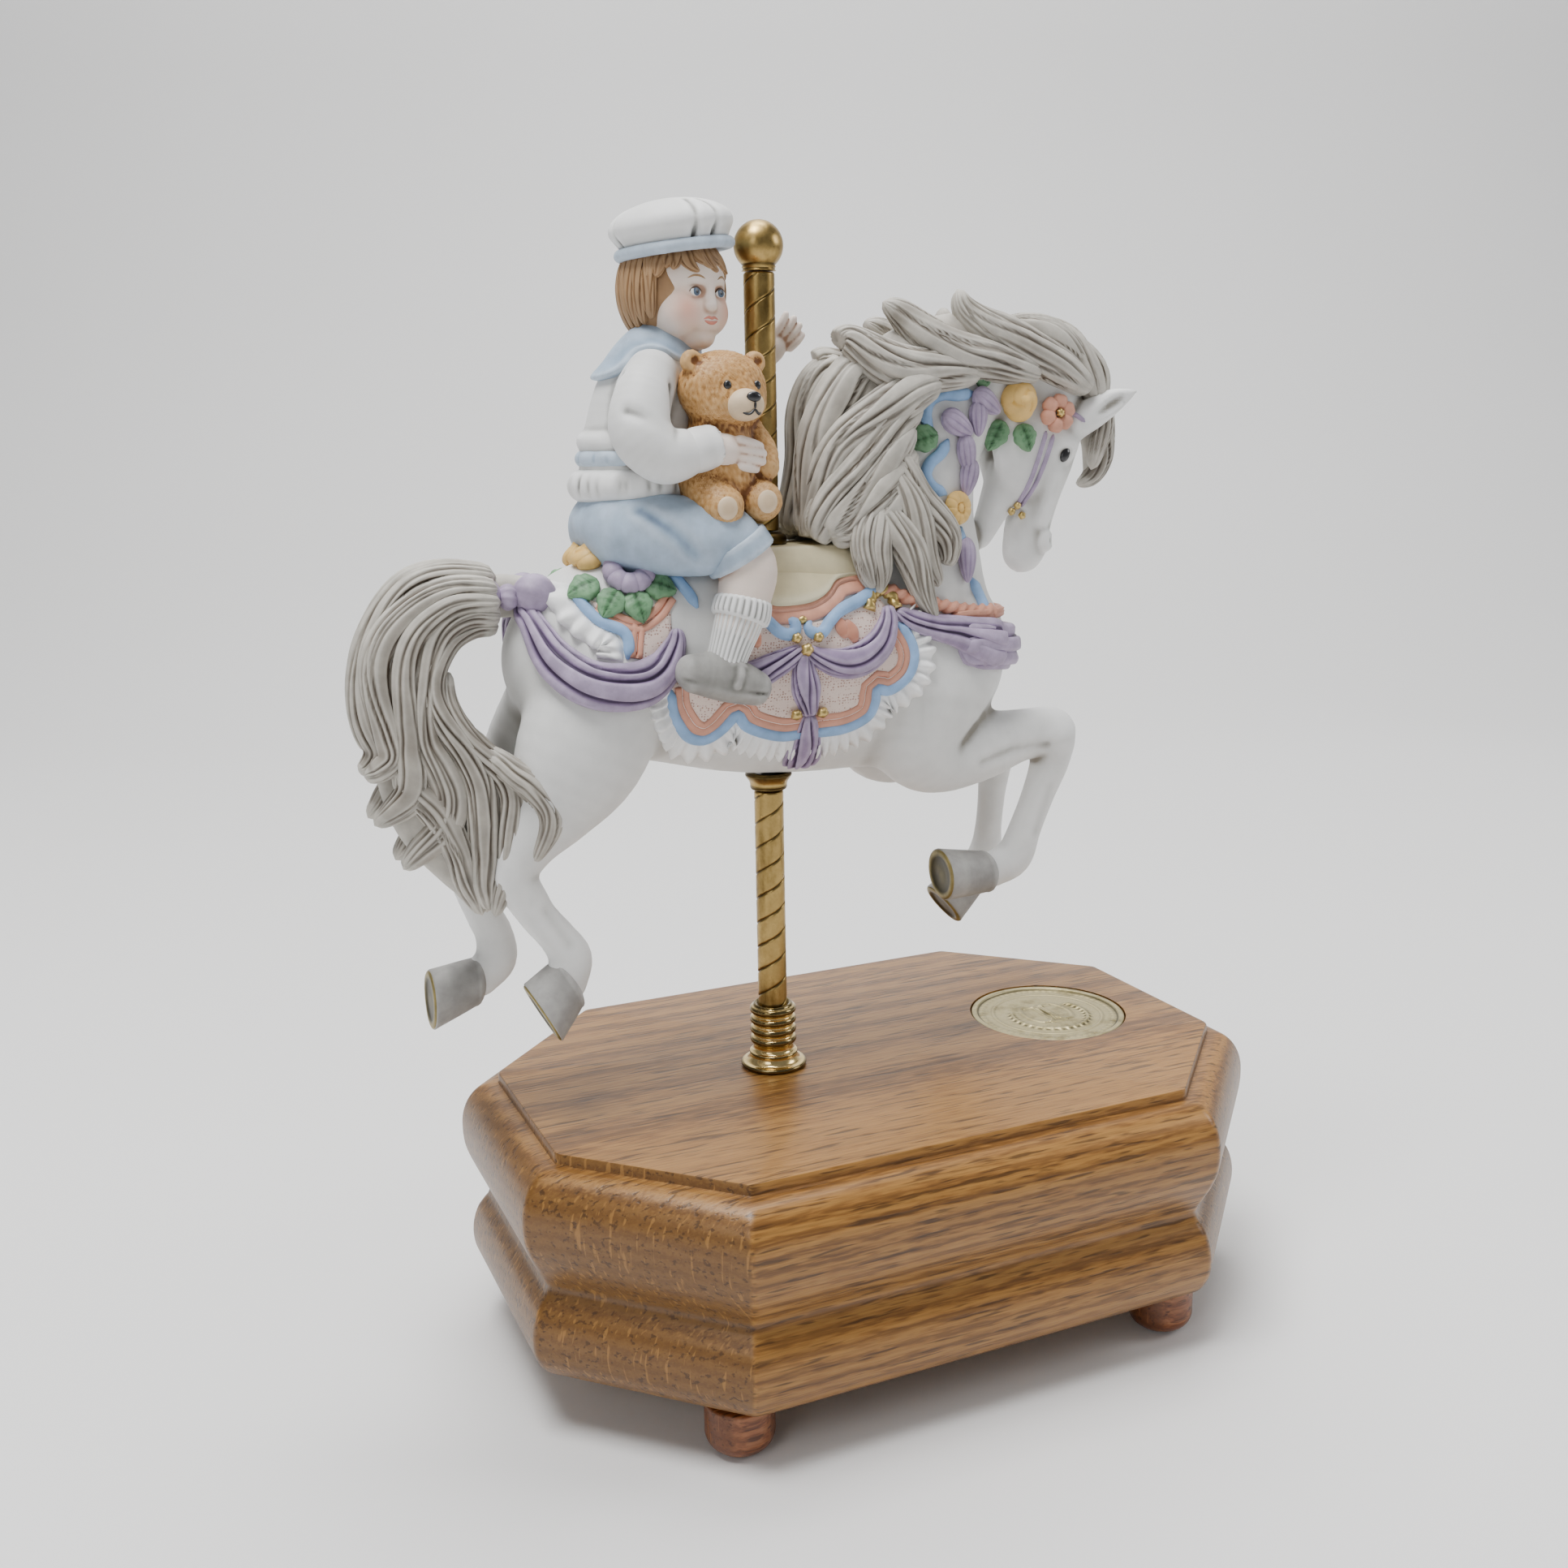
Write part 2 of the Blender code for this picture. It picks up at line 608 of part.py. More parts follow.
def pinned_cylinder(bore):
    """A drum whose raised pins stand in one row for each comb tooth."""
    around = 20
    shape = bmesh.new()
    rings = []
    for row in range(NOTES + 1):
        x = CYLINDER_START + CYLINDER_LENGTH * row / NOTES
        ring = circle(CYLINDER_RADIUS, around)
        rings.append([shape.verts.new((x, y, SHAFT_Z + z)) for y, z in ring])
    sides = []
    for low, high in zip(rings, rings[1:]):
        row = []
        for i in range(around):
            k = (i + 1) % around
            row.append(shape.faces.new((low[i], low[k], high[k], high[i])))
        sides.append(row)
    shape.faces.new(reversed(rings[0]))
    shape.faces.new(rings[-1])
    places = {(row, (row * 7 + 3) % around) for row in range(NOTES)}
    places |= {(row, (row * 3 + 11) % around) for row in range(1, NOTES, 3)}
    pins = [sides[row][i] for row, i in sorted(places)]
    bmesh.ops.inset_individual(shape, faces=pins, thickness=0.35 * MM)
    for face in pins:
        bmesh.ops.translate(shape, verts=face.verts, vec=face.normal * PIN_HEIGHT)
    mesh = bpy.data.meshes.new("pinned_cylinder")
    shape.to_mesh(mesh)
    shape.free()
    drum = place("pinned_cylinder", mesh, brass("cylinder"))
    start, end = CYLINDER_START - MM, CYLINDER_START + CYLINDER_LENGTH + MM
    cut(drum, rod("cylinder_cut", bore, start, end, None, (0, 0, SHAFT_Z), 12, "X"))


def bearing(name, x, finish):
    """A bearing post that stands on the bedplate, with a foot."""
    floor = PLATE_TOP + GAP - SHAFT_Z
    edge = [(-5 * MM, floor), (5 * MM, floor), (3.4 * MM, 3.8 * MM), (-3.4 * MM, 3.8 * MM)]
    plate(name, [edge, circle(SHAFT_RADIUS + GAP, 16)], 2 * MM, finish, facing_x(x, 0, SHAFT_Z))


def comb():
    """A steel plate cut into one tooth for each note; the low notes' teeth are longest."""
    first = CYLINDER_START + 0.3 * MM
    pitch = (CYLINDER_LENGTH - 0.6 * MM) / NOTES
    points = [(first, COMB_HEEL_Y)]
    for i in range(NOTES):
        root = COMB_HEEL_Y + (6 + 3 * i / NOTES) * MM
        left, right = first + i * pitch, first + (i + 1) * pitch - COMB_SLOT
        points += [(left, COMB_TIP_Y), (right, COMB_TIP_Y)]
        if i < NOTES - 1:
            points += [(right, root), (right + COMB_SLOT, root)]
    points.append((points[-1][0], COMB_HEEL_Y))
    holes = [circle(SCREW_RADIUS, 12, x, COMB_SCREW_Y) for x in COMB_SCREWS_X]
    middle = at_height(COMB_BASE_TOP + GAP + COMB_THICKNESS / 2)
    plate("comb", [points, *holes], COMB_THICKNESS, steel("comb"), middle)
    start, end = first - MM, first + CYLINDER_LENGTH
    edge = rectangle(start, end, COMB_HEEL_Y - 0.5 * MM, COMB_HEEL_Y + 6 * MM)
    low = PLATE_TOP + GAP
    height = COMB_BASE_TOP - low
    plate("comb_base", [edge, *holes], height, brass("comb_base"), at_height(low + height / 2))
    for i, x in enumerate(COMB_SCREWS_X):
        head = COMB_BASE_TOP + COMB_THICKNESS + 2 * GAP
        end = low + 2 * MM
        profile = [(0, head + 1.2 * MM), (1.6 * MM, head + 1.2 * MM), (2.1 * MM, head)]
        profile += [(1 * MM, head), (1 * MM, end), (0, end)]
        name = f"comb_screw_{i + 1}"
        turned(name, profile, steel(name), (x, COMB_SCREW_Y, 0), 12)


def bedplate():
    edge = rectangle(PLATE_START, PLATE_END, PLATE_NEAR, PLATE_FAR)
    holes = [circle(SCREW_RADIUS + GAP, 12, x, y) for x, y in movement_screw_places()]
    holes.append(circle(ARBOR_RADIUS + GAP, 16, BARREL_X))
    middle = at_height((PLATE_BOTTOM + PLATE_TOP) / 2)
    plate("bedplate", [edge, *holes], PLATE_TOP - PLATE_BOTTOM, brass("bedplate"), middle)


def spring_barrel():
    """A drum that is open below, with crown teeth that stand up from its rim."""
    outer = CROWN_RADIUS + MM
    inner = outer - BARREL_WALL
    roof = BARREL_TOP - MM
    bore = ARBOR_RADIUS + GAP
    profile = [(outer, BARREL_TOP), (outer, BARREL_LOW), (inner, BARREL_LOW)]
    profile += [(inner, roof), (bore, roof), (bore, BARREL_TOP)]
    drum = turned("spring_barrel", profile, brass("barrel"), (BARREL_X, 0, 0), 24)
    teeth = []
    half_in, half_out = 0.5 * MM, 0.6 * MM
    inside, outside = outer - 2.2 * MM, outer - 0.15 * MM
    edge = [(inside, -half_in), (outside, -half_out), (outside, half_out), (inside, half_in)]
    middle = at_height(BARREL_TOP + 0.7 * MM, BARREL_X)
    for i in range(CROWN_TEETH):
        around = middle @ Matrix.Rotation(2 * pi * i / CROWN_TEETH, 4, "Z")
        teeth.append(plate(f"crown_tooth_{i}", [edge], CROWN_TOOTH_HEIGHT, None, around))
    crown = bmesh.new()
    for tooth in teeth:
        tooth.data.transform(tooth.matrix_world)
        crown.from_mesh(tooth.data)
        bpy.data.objects.remove(tooth)
    mesh = bpy.data.meshes.new("crown_teeth")
    crown.to_mesh(mesh)
    crown.free()
    fuse(drum, place("crown_teeth", mesh, None))
    top = BARREL_LOW - GAP
    low = top - 0.9 * MM
    tube("barrel_cap", outer - 0.1 * MM, bore, low, top, brass("cap"), (BARREL_X, 0, 0), 24)
    mainspring(inner)


def mainspring(room):
    """A flat strip, coiled from the arbor's hub to the drum's wall."""
    points = SPRING_TURNS * 12
    start, end = HUB_RADIUS + 0.9 * MM, room - 0.9 * MM
    curve = bpy.data.curves.new("mainspring", "CURVE")
    curve.dimensions = "3D"
    curve.extrude = (SPRING_HIGH - SPRING_LOW) / 2
    spline = curve.splines.new("POLY")
    spline.points.add(points)
    for i, point in enumerate(spline.points):
        share = i / points
        radius = start + (end - start) * share
        turn = 2 * pi * SPRING_TURNS * share
        point.co = (radius * cos(turn), radius * sin(turn), 0, 1)
    strip = bpy.data.objects.new("spring_strip", curve)
    bpy.context.scene.collection.objects.link(strip)
    mesh = evaluated_mesh(strip)
    bpy.data.objects.remove(strip)
    middle = at_height((SPRING_LOW + SPRING_HIGH) / 2, BARREL_X)
    spring = place("mainspring", mesh, steel("mainspring"), middle)
    wall = spring.modifiers.new("strip", "SOLIDIFY")
    wall.thickness = SPRING_THICKNESS
    wall.offset = 0
    settle(spring)


def winding_parts():
    """The arbor, its ratchet and the key turn together. The click stops them turning back."""
    at = (BARREL_X, 0, 0)
    top = RATCHET_Z + 1.6 * MM
    hub_top = SPRING_HIGH + 0.1 * MM
    profile = [(0, top), (ARBOR_RADIUS, top), (ARBOR_RADIUS, hub_top), (HUB_RADIUS, hub_top)]
    profile += [(HUB_RADIUS, SPRING_LOW), (ARBOR_RADIUS, SPRING_LOW)]
    profile += [(ARBOR_RADIUS, ARBOR_BOTTOM), (0, ARBOR_BOTTOM)]
    turned("winding_arbor", profile, steel("winding_arbor"), at, 16)
    pitch = 2 * pi / RATCHET_TEETH
    edge = []
    for i in range(RATCHET_TEETH):
        tip = i * pitch
        root = tip + 0.1
        low = RATCHET_RADIUS - 1.2 * MM
        edge.append((RATCHET_RADIUS * cos(tip), RATCHET_RADIUS * sin(tip)))
        edge.append((low * cos(root), low * sin(root)))
    hole = circle(ARBOR_RADIUS + GAP, 16)
    level = at_height(RATCHET_Z, BARREL_X)
    plate("ratchet_wheel", [edge, hole], RATCHET_THICKNESS, steel("ratchet"), level)
    click = [(-0.75, 4.35), (-0.55, 5.2), (1.6, 7.6), (6.5, 8.6), (7.6, 10.5)]
    click += [(6.5, 12.4), (4.2, 12), (0.2, 9.2), (-1.5, 5.2)]
    outline = [(x * MM, y * MM) for x, y in click]
    pivot = circle(0.9 * MM, 12, *CLICK_PIVOT)
    plate("ratchet_click", [outline, pivot], CLICK_THICKNESS, steel("click"), level)


def barrel_bridge():
    """A bridge over the barrel that holds the top of the arbor and the click's pin."""
    outside = BRIDGE_HALF_SPAN
    inside = outside - BRIDGE_LEG
    foot_low = PLATE_TOP + GAP
    edge = [(-outside, foot_low), (-inside, foot_low), (-inside, BRIDGE_LOW), (inside, BRIDGE_LOW)]
    edge += [(inside, foot_low), (outside, foot_low), (outside, BRIDGE_TOP), (-outside, BRIDGE_TOP)]
    upright = facing_x(BARREL_X + MM)
    bridge = plate("barrel_bridge", [edge], BRIDGE_WIDTH, brass("bridge"), upright)
    at = (BARREL_X, 0, 0)
    low, high = BRIDGE_LOW - MM, BRIDGE_TOP + MM
    cut(bridge, rod("bridge_cut", ARBOR_RADIUS + GAP, low, high, None, at, 16))
    settle(bridge)
    x, y = BARREL_X + CLICK_PIVOT[0], CLICK_PIVOT[1]
    low, high = BRIDGE_TOP - 0.5 * MM, RATCHET_Z + RATCHET_THICKNESS
    fuse(bridge, rod("click_pin", 0.6 * MM, low, high, None, (x, y, 0), 10))


def winding_key():
    """A butterfly key that is screwed onto the arbor's end."""
    at = (BARREL_X, 0, 0)
    hub = rod("winding_key", KEY_HUB_RADIUS, KEY_LOW + MM, KEY_HUB_TOP, brass("key"), at, 20)
    outline = arc((7.5, 6.2), 4.2, -90, 90, 7) + [(2, 9.2), (-2, 9.2)] + arc((-7.5, 6.2), 4.2, 90, 270, 7)
    outline = [(x * MM, z * MM) for x, z in outline]
    stand = Matrix(((1, 0, 0, BARREL_X), (0, 0, -1, 0), (0, 1, 0, 0), (0, 0, 0, 1)))
    fuse(hub, plate("key_wings", [outline], KEY_WING_THICKNESS, None, stand))
    bore = rod("key_cut", ARBOR_RADIUS + GAP, ARBOR_BOTTOM - GAP, KEY_HUB_TOP + MM, None, at, 16)
    cut(hub, bore)
    settle(hub)


def governor():
    """The wheel train's last wheel, the upright worm with its fan, and their bracket."""
    finish = brass("governor_wheel")
    start, end = CYLINDER_WHEEL_X - 1.2 * MM, GOVERNOR_AXLE_END
    axle = rod("governor_wheel", MM, start, end, finish, (0, GOVERNOR_Y, SHAFT_Z), 12, "X")
    pinion = gear_outline(GOVERNOR_PINION_TEETH, FINE_MODULE, shift=0.5)
    upright = facing_x(CYLINDER_WHEEL_X, GOVERNOR_Y, SHAFT_Z)
    pinion = plate("governor_pinion", [pinion], 2.2 * MM, None, upright)
    wheel = gear_outline(WORM_WHEEL_TEETH, FINE_MODULE, depth=WORM_WHEEL_DEPTH)
    upright = facing_x(WORM_WHEEL_X, GOVERNOR_Y, SHAFT_Z)
    wheel = plate("worm_wheel", [wheel], 1.8 * MM, None, upright)
    fuse(axle, pinion, wheel)
    governor_fan()
    governor_bracket()


def governor_fan():
    """A worm on an upright spindle, with the fan's blade above it."""
    pitch = pi * FINE_MODULE
    core, crest = WORM_RADIUS - 0.45 * MM, WORM_RADIUS
    threads = 5
    first = SHAFT_Z + threads * pitch / 2
    profile = [(0, WORM_TOP), (WORM_PIVOT_RADIUS, WORM_TOP)]
    profile += [(WORM_PIVOT_RADIUS, WORM_THREAD_TOP), (core, WORM_THREAD_TOP)]
    for i in range(threads):
        top = first - i * pitch - 0.3 * MM
        profile += [(core, top), (crest, top - 0.3 * pitch)]
        profile += [(crest, top - 0.45 * pitch), (core, top - 0.7 * pitch)]
    profile += [(core, WORM_THREAD_LOW), (WORM_PIVOT_RADIUS, WORM_THREAD_LOW)]
    profile += [(WORM_PIVOT_RADIUS, WORM_LOW), (0, WORM_LOW)]
    worm = turned("governor_fan", profile, steel("fan"), (WORM_WHEEL_X, WORM_Y, 0), 10)
    low = (WORM_WHEEL_X - FAN_HALF_WIDTH, WORM_Y - FAN_HALF_THICKNESS, FAN_LOW)
    high = (WORM_WHEEL_X + FAN_HALF_WIDTH, WORM_Y + FAN_HALF_THICKNESS, FAN_TOP)
    fuse(worm, block("fan_blade", low, high, None))


def governor_bracket():
    """A standing plate for the axle, with two lugs for the worm's ends."""
    floor = PLATE_TOP + GAP - SHAFT_Z
    edge = [(10 * MM, floor), (30 * MM, floor), (30 * MM, 20 * MM), (20 * MM, 20 * MM), (10 * MM, 4 * MM)]
    hole = circle(MM + GAP, 12, GOVERNOR_Y)
    upright = facing_x(BRACKET_X, 0, SHAFT_Z)
    bracket = plate("governor_bracket", [edge, hole], 1.6 * MM, brass("governor_bracket"), upright)
    lugs = []
    for i, (z, height) in enumerate(((PLATE_TOP + GAP, 2.2 * MM), (TOP_LUG_LOW, 1.6 * MM))):
        low = (WORM_WHEEL_X - 3 * MM, WORM_Y - 3 * MM, z)
        high = (BRACKET_X, WORM_Y + 3 * MM, z + height)
        lugs.append(block(f"governor_lug_{i}", low, high, None))
    fuse(bracket, *lugs)
    at = (WORM_WHEEL_X, WORM_Y, 0)
    bore = WORM_PIVOT_RADIUS + GAP
    cut(bracket, rod("worm_cut_low", bore, PLATE_TOP + 1.2 * MM, 28 * MM, None, at, 12))
    cut(bracket, rod("worm_cut_high", bore, TOP_LUG_LOW - MM, WORM_TOP + 2 * MM, None, at, 12))
    settle(bracket)


# ---- The figures ----------------------------------------------------------------------
# Their points are in mm from the pole's foot, on the base's top: (x, y, z, radius).
# A limb's flatness is its width across the horse over its depth.

HORSE_TRUNK = [
    (0.72, [(-66, 0, 117, 4), (-58, 0, 118, 21), (-45, 0, 119, 25), (-25, 0, 117, 28), (-5, 0, 114.5, 30),
            (18, 0, 113, 30), (40, 0, 112, 29), (56, 0, 110, 22), (66, 0, 110, 6)]),
    (0.66, [(38, 0, 108, 24), (42, 0, 130, 23), (43, 0, 150, 20), (47, 0, 168, 18), (60, 0, 183, 15),
            (78, 0, 188, 12), (88, 0, 186, 8)]),
]
HORSE_HEAD = [
    (0.68, [(86, 0, 190, 8), (85, 0, 180, 14), (81, 0, 166, 14.5), (79.5, 0, 153, 10.5), (79, 0, 144, 8.6),
            (79.5, 0, 137, 5)]),
    (0.85, [(74, 0, 162, 8), (69, 0, 152, 5.5), (66, 0, 145, 3.6), (65.5, 0, 142.5, 1.8)]),
    (1.0, [(94, -5, 174, 4.5), (100, -6.5, 178.5, 4), (110, -7, 182.8, 1)]),
    (1.0, [(90, 5, 176, 4.5), (95, 7, 181, 4), (103, 8, 187, 1)]),
]
HORSE_HAIR = [
    (0.7, [(102, 0, 158, 3), (103, 0, 172, 5), (99, 0, 187, 7), (88, -1, 194, 10), (72, -2, 198, 11),
           (54, -4, 195, 12), (38, -5, 185, 14), (27, -6, 168, 14), (21, -6, 152, 11), (20, -6, 143, 6)]),
    (0.8, [(38, -1, 196, 8), (24, -1, 197, 3)]),
    (0.8, [(50, -1, 200, 8), (38, -1, 206, 3)]),
    (0.8, [(68, -1, 200, 8), (61, -1, 210, 2)]),
    (0.6, [(46, -12, 160, 10), (50, -14, 142, 7), (47, -17, 120, 2)]),
    (0.8, [(-62, 0, 136, 6), (-72, 0, 138.5, 6.5), (-84, 0, 136.5, 7), (-94, 0, 131, 8.5), (-98, 0, 118, 10),
           (-97.5, 0, 105, 10.5), (-95, -1, 94, 12), (-92, -3, 82, 12), (-85, -5, 70, 9), (-79, -6, 58, 4),
           (-78, -6, 54.5, 1)]),
    (0.8, [(-90, -3, 106, 6), (-80, -6, 94, 8), (-73, -8, 85, 8), (-70, -9, 76, 3)]),
]


def horse_legs():
    """The pairs don't match: each near leg is carried higher than the far one."""
    near, far = -11, 11
    return [
        (0.75, [(-48, near + 2, 110, 17), (-55, near, 97, 17), (-62, near, 85, 11.5), (-70, near, 75, 7.5),
                (-73, near, 66, 5.6), (-67, near, 55, 5), (-60.5, near, 47, 5.6), (-60, near, 40, 5)]),
        (0.85, [(-58.5, near, 40, 5.2), (-62.5, near, 35.5, 7.4), (-68, near, 30.5, 9.4)]),
        (0.75, [(-48, far - 2, 110, 17), (-58, far, 95, 16), (-68, far, 82, 11), (-77, far, 72, 7),
                (-79, far, 61, 5.6), (-76, far, 50, 5), (-73.5, far, 43, 5.6), (-76, far, 36, 5)]),
        (0.85, [(-76, far, 34, 5.2), (-82, far, 31.5, 7.4), (-91.5, far, 30.5, 8.6)]),
        (0.75, [(42, near + 1, 105, 17), (38, near, 92, 13), (43, near, 84, 9.5), (60, near, 87, 8.2),
                (80, near, 89.5, 7.4), (84, near, 85, 6.6), (77.5, near, 71, 5.2), (72.5, near, 58, 4.8),
                (69.5, near, 51, 5.4), (65, near, 50, 5.2)]),
        (0.85, [(64.5, near, 50.5, 5.4), (57, near, 52, 7.4), (46.5, near, 52, 8)]),
        (0.75, [(44, far - 1, 104, 16), (36, far, 90, 12), (42, far, 82, 8.5), (56, far, 83, 7.2),
                (73, far, 83, 6.6), (77, far, 78, 6), (76.5, far, 66, 4.8), (76, far, 55, 4.6),
                (75, far, 48, 5.2), (71.5, far, 44, 5)]),
        (0.85, [(72, far, 45, 5.2), (67, far, 40.5, 7), (60.5, far, 34.5, 7.6)]),
    ]


def rider_limbs():
    limbs = [
        (0.9, [(-22.5, 0, 193, 6), (-22.5, 0, 199, 11.5), (-22.5, 0, 207, 14.4), (-22.8, 0, 215, 12.5),
               (-23, 0, 219, 8)]),
        (1.0, [(-21.5, 0, 216, 14.2), (-22.6, 0, 220, 15.6), (-23.6, 0, 225, 14.6), (-24, 0, 228, 9)]),
        (0.85, [(-26, 0, 195, 6), (-29, 0, 189, 9), (-32, 0, 180, 13), (-34, 0, 168, 14.5),
                (-35.5, 0, 158, 16), (-35, 0, 149, 16), (-34, 0, 142, 12)]),
        (1.0, [(-33, -10, 187, 6), (-35.5, -14, 179, 7.3), (-34.5, -17, 170, 7), (-29, -18.5, 167.5, 6),
               (-22, -19, 169.5, 4.2), (-15, -19.5, 167.5, 4.4), (-11, -19, 166, 2.6)]),
        (1.0, [(-31, 9, 186, 6), (-22, 13, 184, 6.4), (-6, 14, 185, 5.6), (8, 13.5, 191, 3.6),
               (13.5, 13, 199, 3.4), (15, 13, 203, 2)]),
    ]
    for side in SIDES:
        limbs.append((1.0, [(-38, side * 8, 151, 12), (-26, side * 14, 147, 11), (-17, side * 18, 144, 9.4),
                            (-12.5, side * 20.5, 140, 7.4), (-17, side * 22.5, 130, 6.4),
                            (-21, side * 23.5, 121, 5.4), (-22, side * 24, 117, 5)]))
        limbs.append((0.8, [(-31, side * 24, 117.5, 3.6), (-27, side * 24.5, 116.5, 5.4),
                            (-19, side * 25, 114, 5), (-12.5, side * 25, 111, 4)]))
    return limbs


BEAR_LIMBS = [
    (0.9, [(-15.5, -12.5, 173, 5), (-15.5, -12.5, 177, 9), (-15.5, -12.5, 183, 10.6),
           (-15.5, -12.5, 189, 8)]),
    (1.0, [(-21, -13, 187, 3), (-21.8, -13, 192, 3)]),
    (1.0, [(-8, -13, 187, 3), (-6.6, -13, 191, 3)]),
    (1.0, [(-11, -18, 180, 5), (-9, -22, 179, 3.6)]),
    (0.9, [(-16, -11, 178, 7), (-17, -12, 169, 9.5), (-17, -12, 160, 10.5), (-17, -12, 154, 7)]),
    (1.0, [(-22, -15, 158, 5.5), (-18.5, -20, 155.5, 4.8)]),
    (1.0, [(-12, -13, 158, 5), (-8.5, -18, 156, 4.6)]),
]


def limb(points, flatness):
    """A round tube through the points, flattened across the horse."""
    curve = bpy.data.curves.new("limb", "CURVE")
    curve.dimensions = "3D"
    curve.bevel_depth = 1.0
    curve.bevel_resolution = 5
    curve.use_fill_caps = True
    curve.resolution_u = 5
    spline = curve.splines.new("NURBS")
    spline.points.add(len(points) - 1)
    for point, (x, y, z, radius) in zip(spline.points, points):
        point.co = (x, y, z, 1)
        point.radius = radius
    spline.use_endpoint_u = True
    spline.order_u = 3
    path = bpy.data.objects.new("limb", curve)
    bpy.context.scene.collection.objects.link(path)
    mesh = evaluated_mesh(path)
    bpy.data.objects.remove(path)
    across = float(np.mean([point[1] for point in points]))
    flatten = Matrix.Translation((0, across, 0)) @ Matrix.Diagonal((1, flatness, 1, 1))
    mesh.transform(flatten @ Matrix.Translation((0, -across, 0)))
    return mesh


def moulded(name, meshes, triangles, finish, voxel=1.1):
    """One closed casting: the shapes are merged, softened and thinned out."""
    shape = bmesh.new()
    for mesh in meshes:
        shape.from_mesh(mesh)
    merged = bpy.data.meshes.new(name)
    shape.to_mesh(merged)
    shape.free()
    casting = place(name, merged, finish)
    remesh = casting.modifiers.new("merge", "REMESH")
    remesh.mode = "VOXEL"
    remesh.voxel_size = voxel
    soften = casting.modifiers.new("soften", "SMOOTH")
    soften.iterations = 3
    settle(casting)
    casting.data.transform(Matrix.Translation((POLE_X, 0, BASE_TOP)) @ Matrix.Scale(MM, 4))
    thin = casting.modifiers.new("thin", "DECIMATE")
    thin.ratio = triangles / (2 * len(casting.data.polygons))
    thin.use_collapse_triangulate = True
    settle(casting)
    keep_largest(casting)
    smooth(casting.data, 60)
    return casting


def keep_largest(obj):
    """Drops the crumbs that a cut leaves."""
    shape = bmesh.new()
    shape.from_mesh(obj.data)
    left = set(shape.verts)
    islands = []
    while left:
        front = [left.pop()]
        island = set(front)
        while front:
            for edge in front.pop().link_edges:
                for vert in edge.verts:
                    if vert in left:
                        left.remove(vert)
                        island.add(vert)
                        front.append(vert)
        islands.append(island)
    islands.sort(key=len)
    for island in islands[:-1]:
        bmesh.ops.delete(shape, geom=list(island), context="VERTS")
    shape.to_mesh(obj.data)
    shape.free()


def swollen(obj):
    """A cutter with an object's shape, grown by a gap."""
    cutter = place(f"{obj.name}_swollen", obj.data.copy(), None)
    grow = cutter.modifiers.new("grow", "DISPLACE")
    grow.strength = SWELLING
    grow.mid_level = 0
    return settle(cutter)


def shrunk(points):
    """A limb's inner surface, a casting's wall inside its outer one."""
    inside = [(x, y, z, radius - CASTING_WALL) for x, y, z, radius in points]
    return [point for point in inside if point[3] > 2]


def saddle_block():
    """The raised front of the saddle, which the pole comes out of."""
    shape = block("saddle_block", (-9, -11, 126), (24, 11, 145.5), None)
    mesh = shape.data
    bpy.data.objects.remove(shape)
    return mesh


def figures():
    bisque = material("horse_bisque", BISQUE, 0.6)
    groups = HORSE_TRUNK + HORSE_HEAD + HORSE_HAIR + horse_legs()
    meshes = [limb(points, flat) for flat, points in groups] + [saddle_block()]
    horse = moulded("horse", meshes, 2900, bisque, 1.0)
    at = (POLE_X, 0, 0)
    low, high = BELLY_Z - SEAT_ROOM, SADDLE_Z + SEAT_ROOM
    seat = COLLAR_RADIUS + 2 * GAP
    core = rod("horse_bore", ROD_RADIUS + GAP, low, high, None, at, 16)
    under = rod("belly_seat", seat, low, BELLY_Z, None, at, 24)
    over = rod("saddle_seat", seat, SADDLE_Z, high, None, at, 24)
    inside = [limb(shrunk(points), flat) for flat, points in HORSE_TRUNK]
    hollow = moulded("horse_hollow", inside, 500, None, 2.0)
    settle(cut(horse, hollow))
    settle(cut(horse, core, under, over))
    keep_largest(horse)

    clear = rod("pole_room", POLE_RADIUS + 2 * GAP, BASE_TOP + 60 * MM, BALL_Z, None, at, 24)
    meshes = [limb(points, flat) for flat, points in rider_limbs()]
    rider = moulded("rider", meshes, 1500, material("rider_bisque", RIDER_BISQUE, 0.6), 0.8)
    settle(cut(rider, swollen(horse), clear))
    keep_largest(rider)
    meshes = [limb(points, flat) for flat, points in BEAR_LIMBS]
    bear = moulded("teddy_bear", meshes, 560, material("bear_glaze", BEAR_BISQUE, 0.6), 0.8)
    settle(cut(bear, clear))
    settle(cut(bear, swollen(rider)))
    keep_largest(bear)


# ---- Bodies ---------------------------------------------------------------------------

MOVING = {
    "pole_axis": (
        (POLE_X, 0, BASE_TOP),
        ["pole_rod", "lower_pole_sleeve", "upper_pole_sleeve", "belly_collar", "saddle_collar", "ball_finial",
         "horse", "rider", "teddy_bear", "follower_shoe"],
    ),
    "cylinder_axis": (
        (POLE_X, 0, SHAFT_Z),
        ["cylinder_arbor", "heart_cam", "pinned_cylinder", "cylinder_wheel", "cylinder_pinion"],
    ),
    "barrel_axis": ((BARREL_X, 0, BARREL_TOP), ["spring_barrel", "barrel_cap", "mainspring"]),
    "governor_axis": ((WORM_WHEEL_X, GOVERNOR_Y, SHAFT_Z), ["governor_wheel"]),
    "fan_axis": ((WORM_WHEEL_X, WORM_Y, SHAFT_Z), ["governor_fan"]),
    "key_axis": ((BARREL_X, 0, KEY_LOW), ["winding_key", "winding_arbor", "ratchet_wheel"]),
    "click_axis": ((BARREL_X + CLICK_PIVOT[0], CLICK_PIVOT[1], RATCHET_Z), ["ratchet_click"]),
}


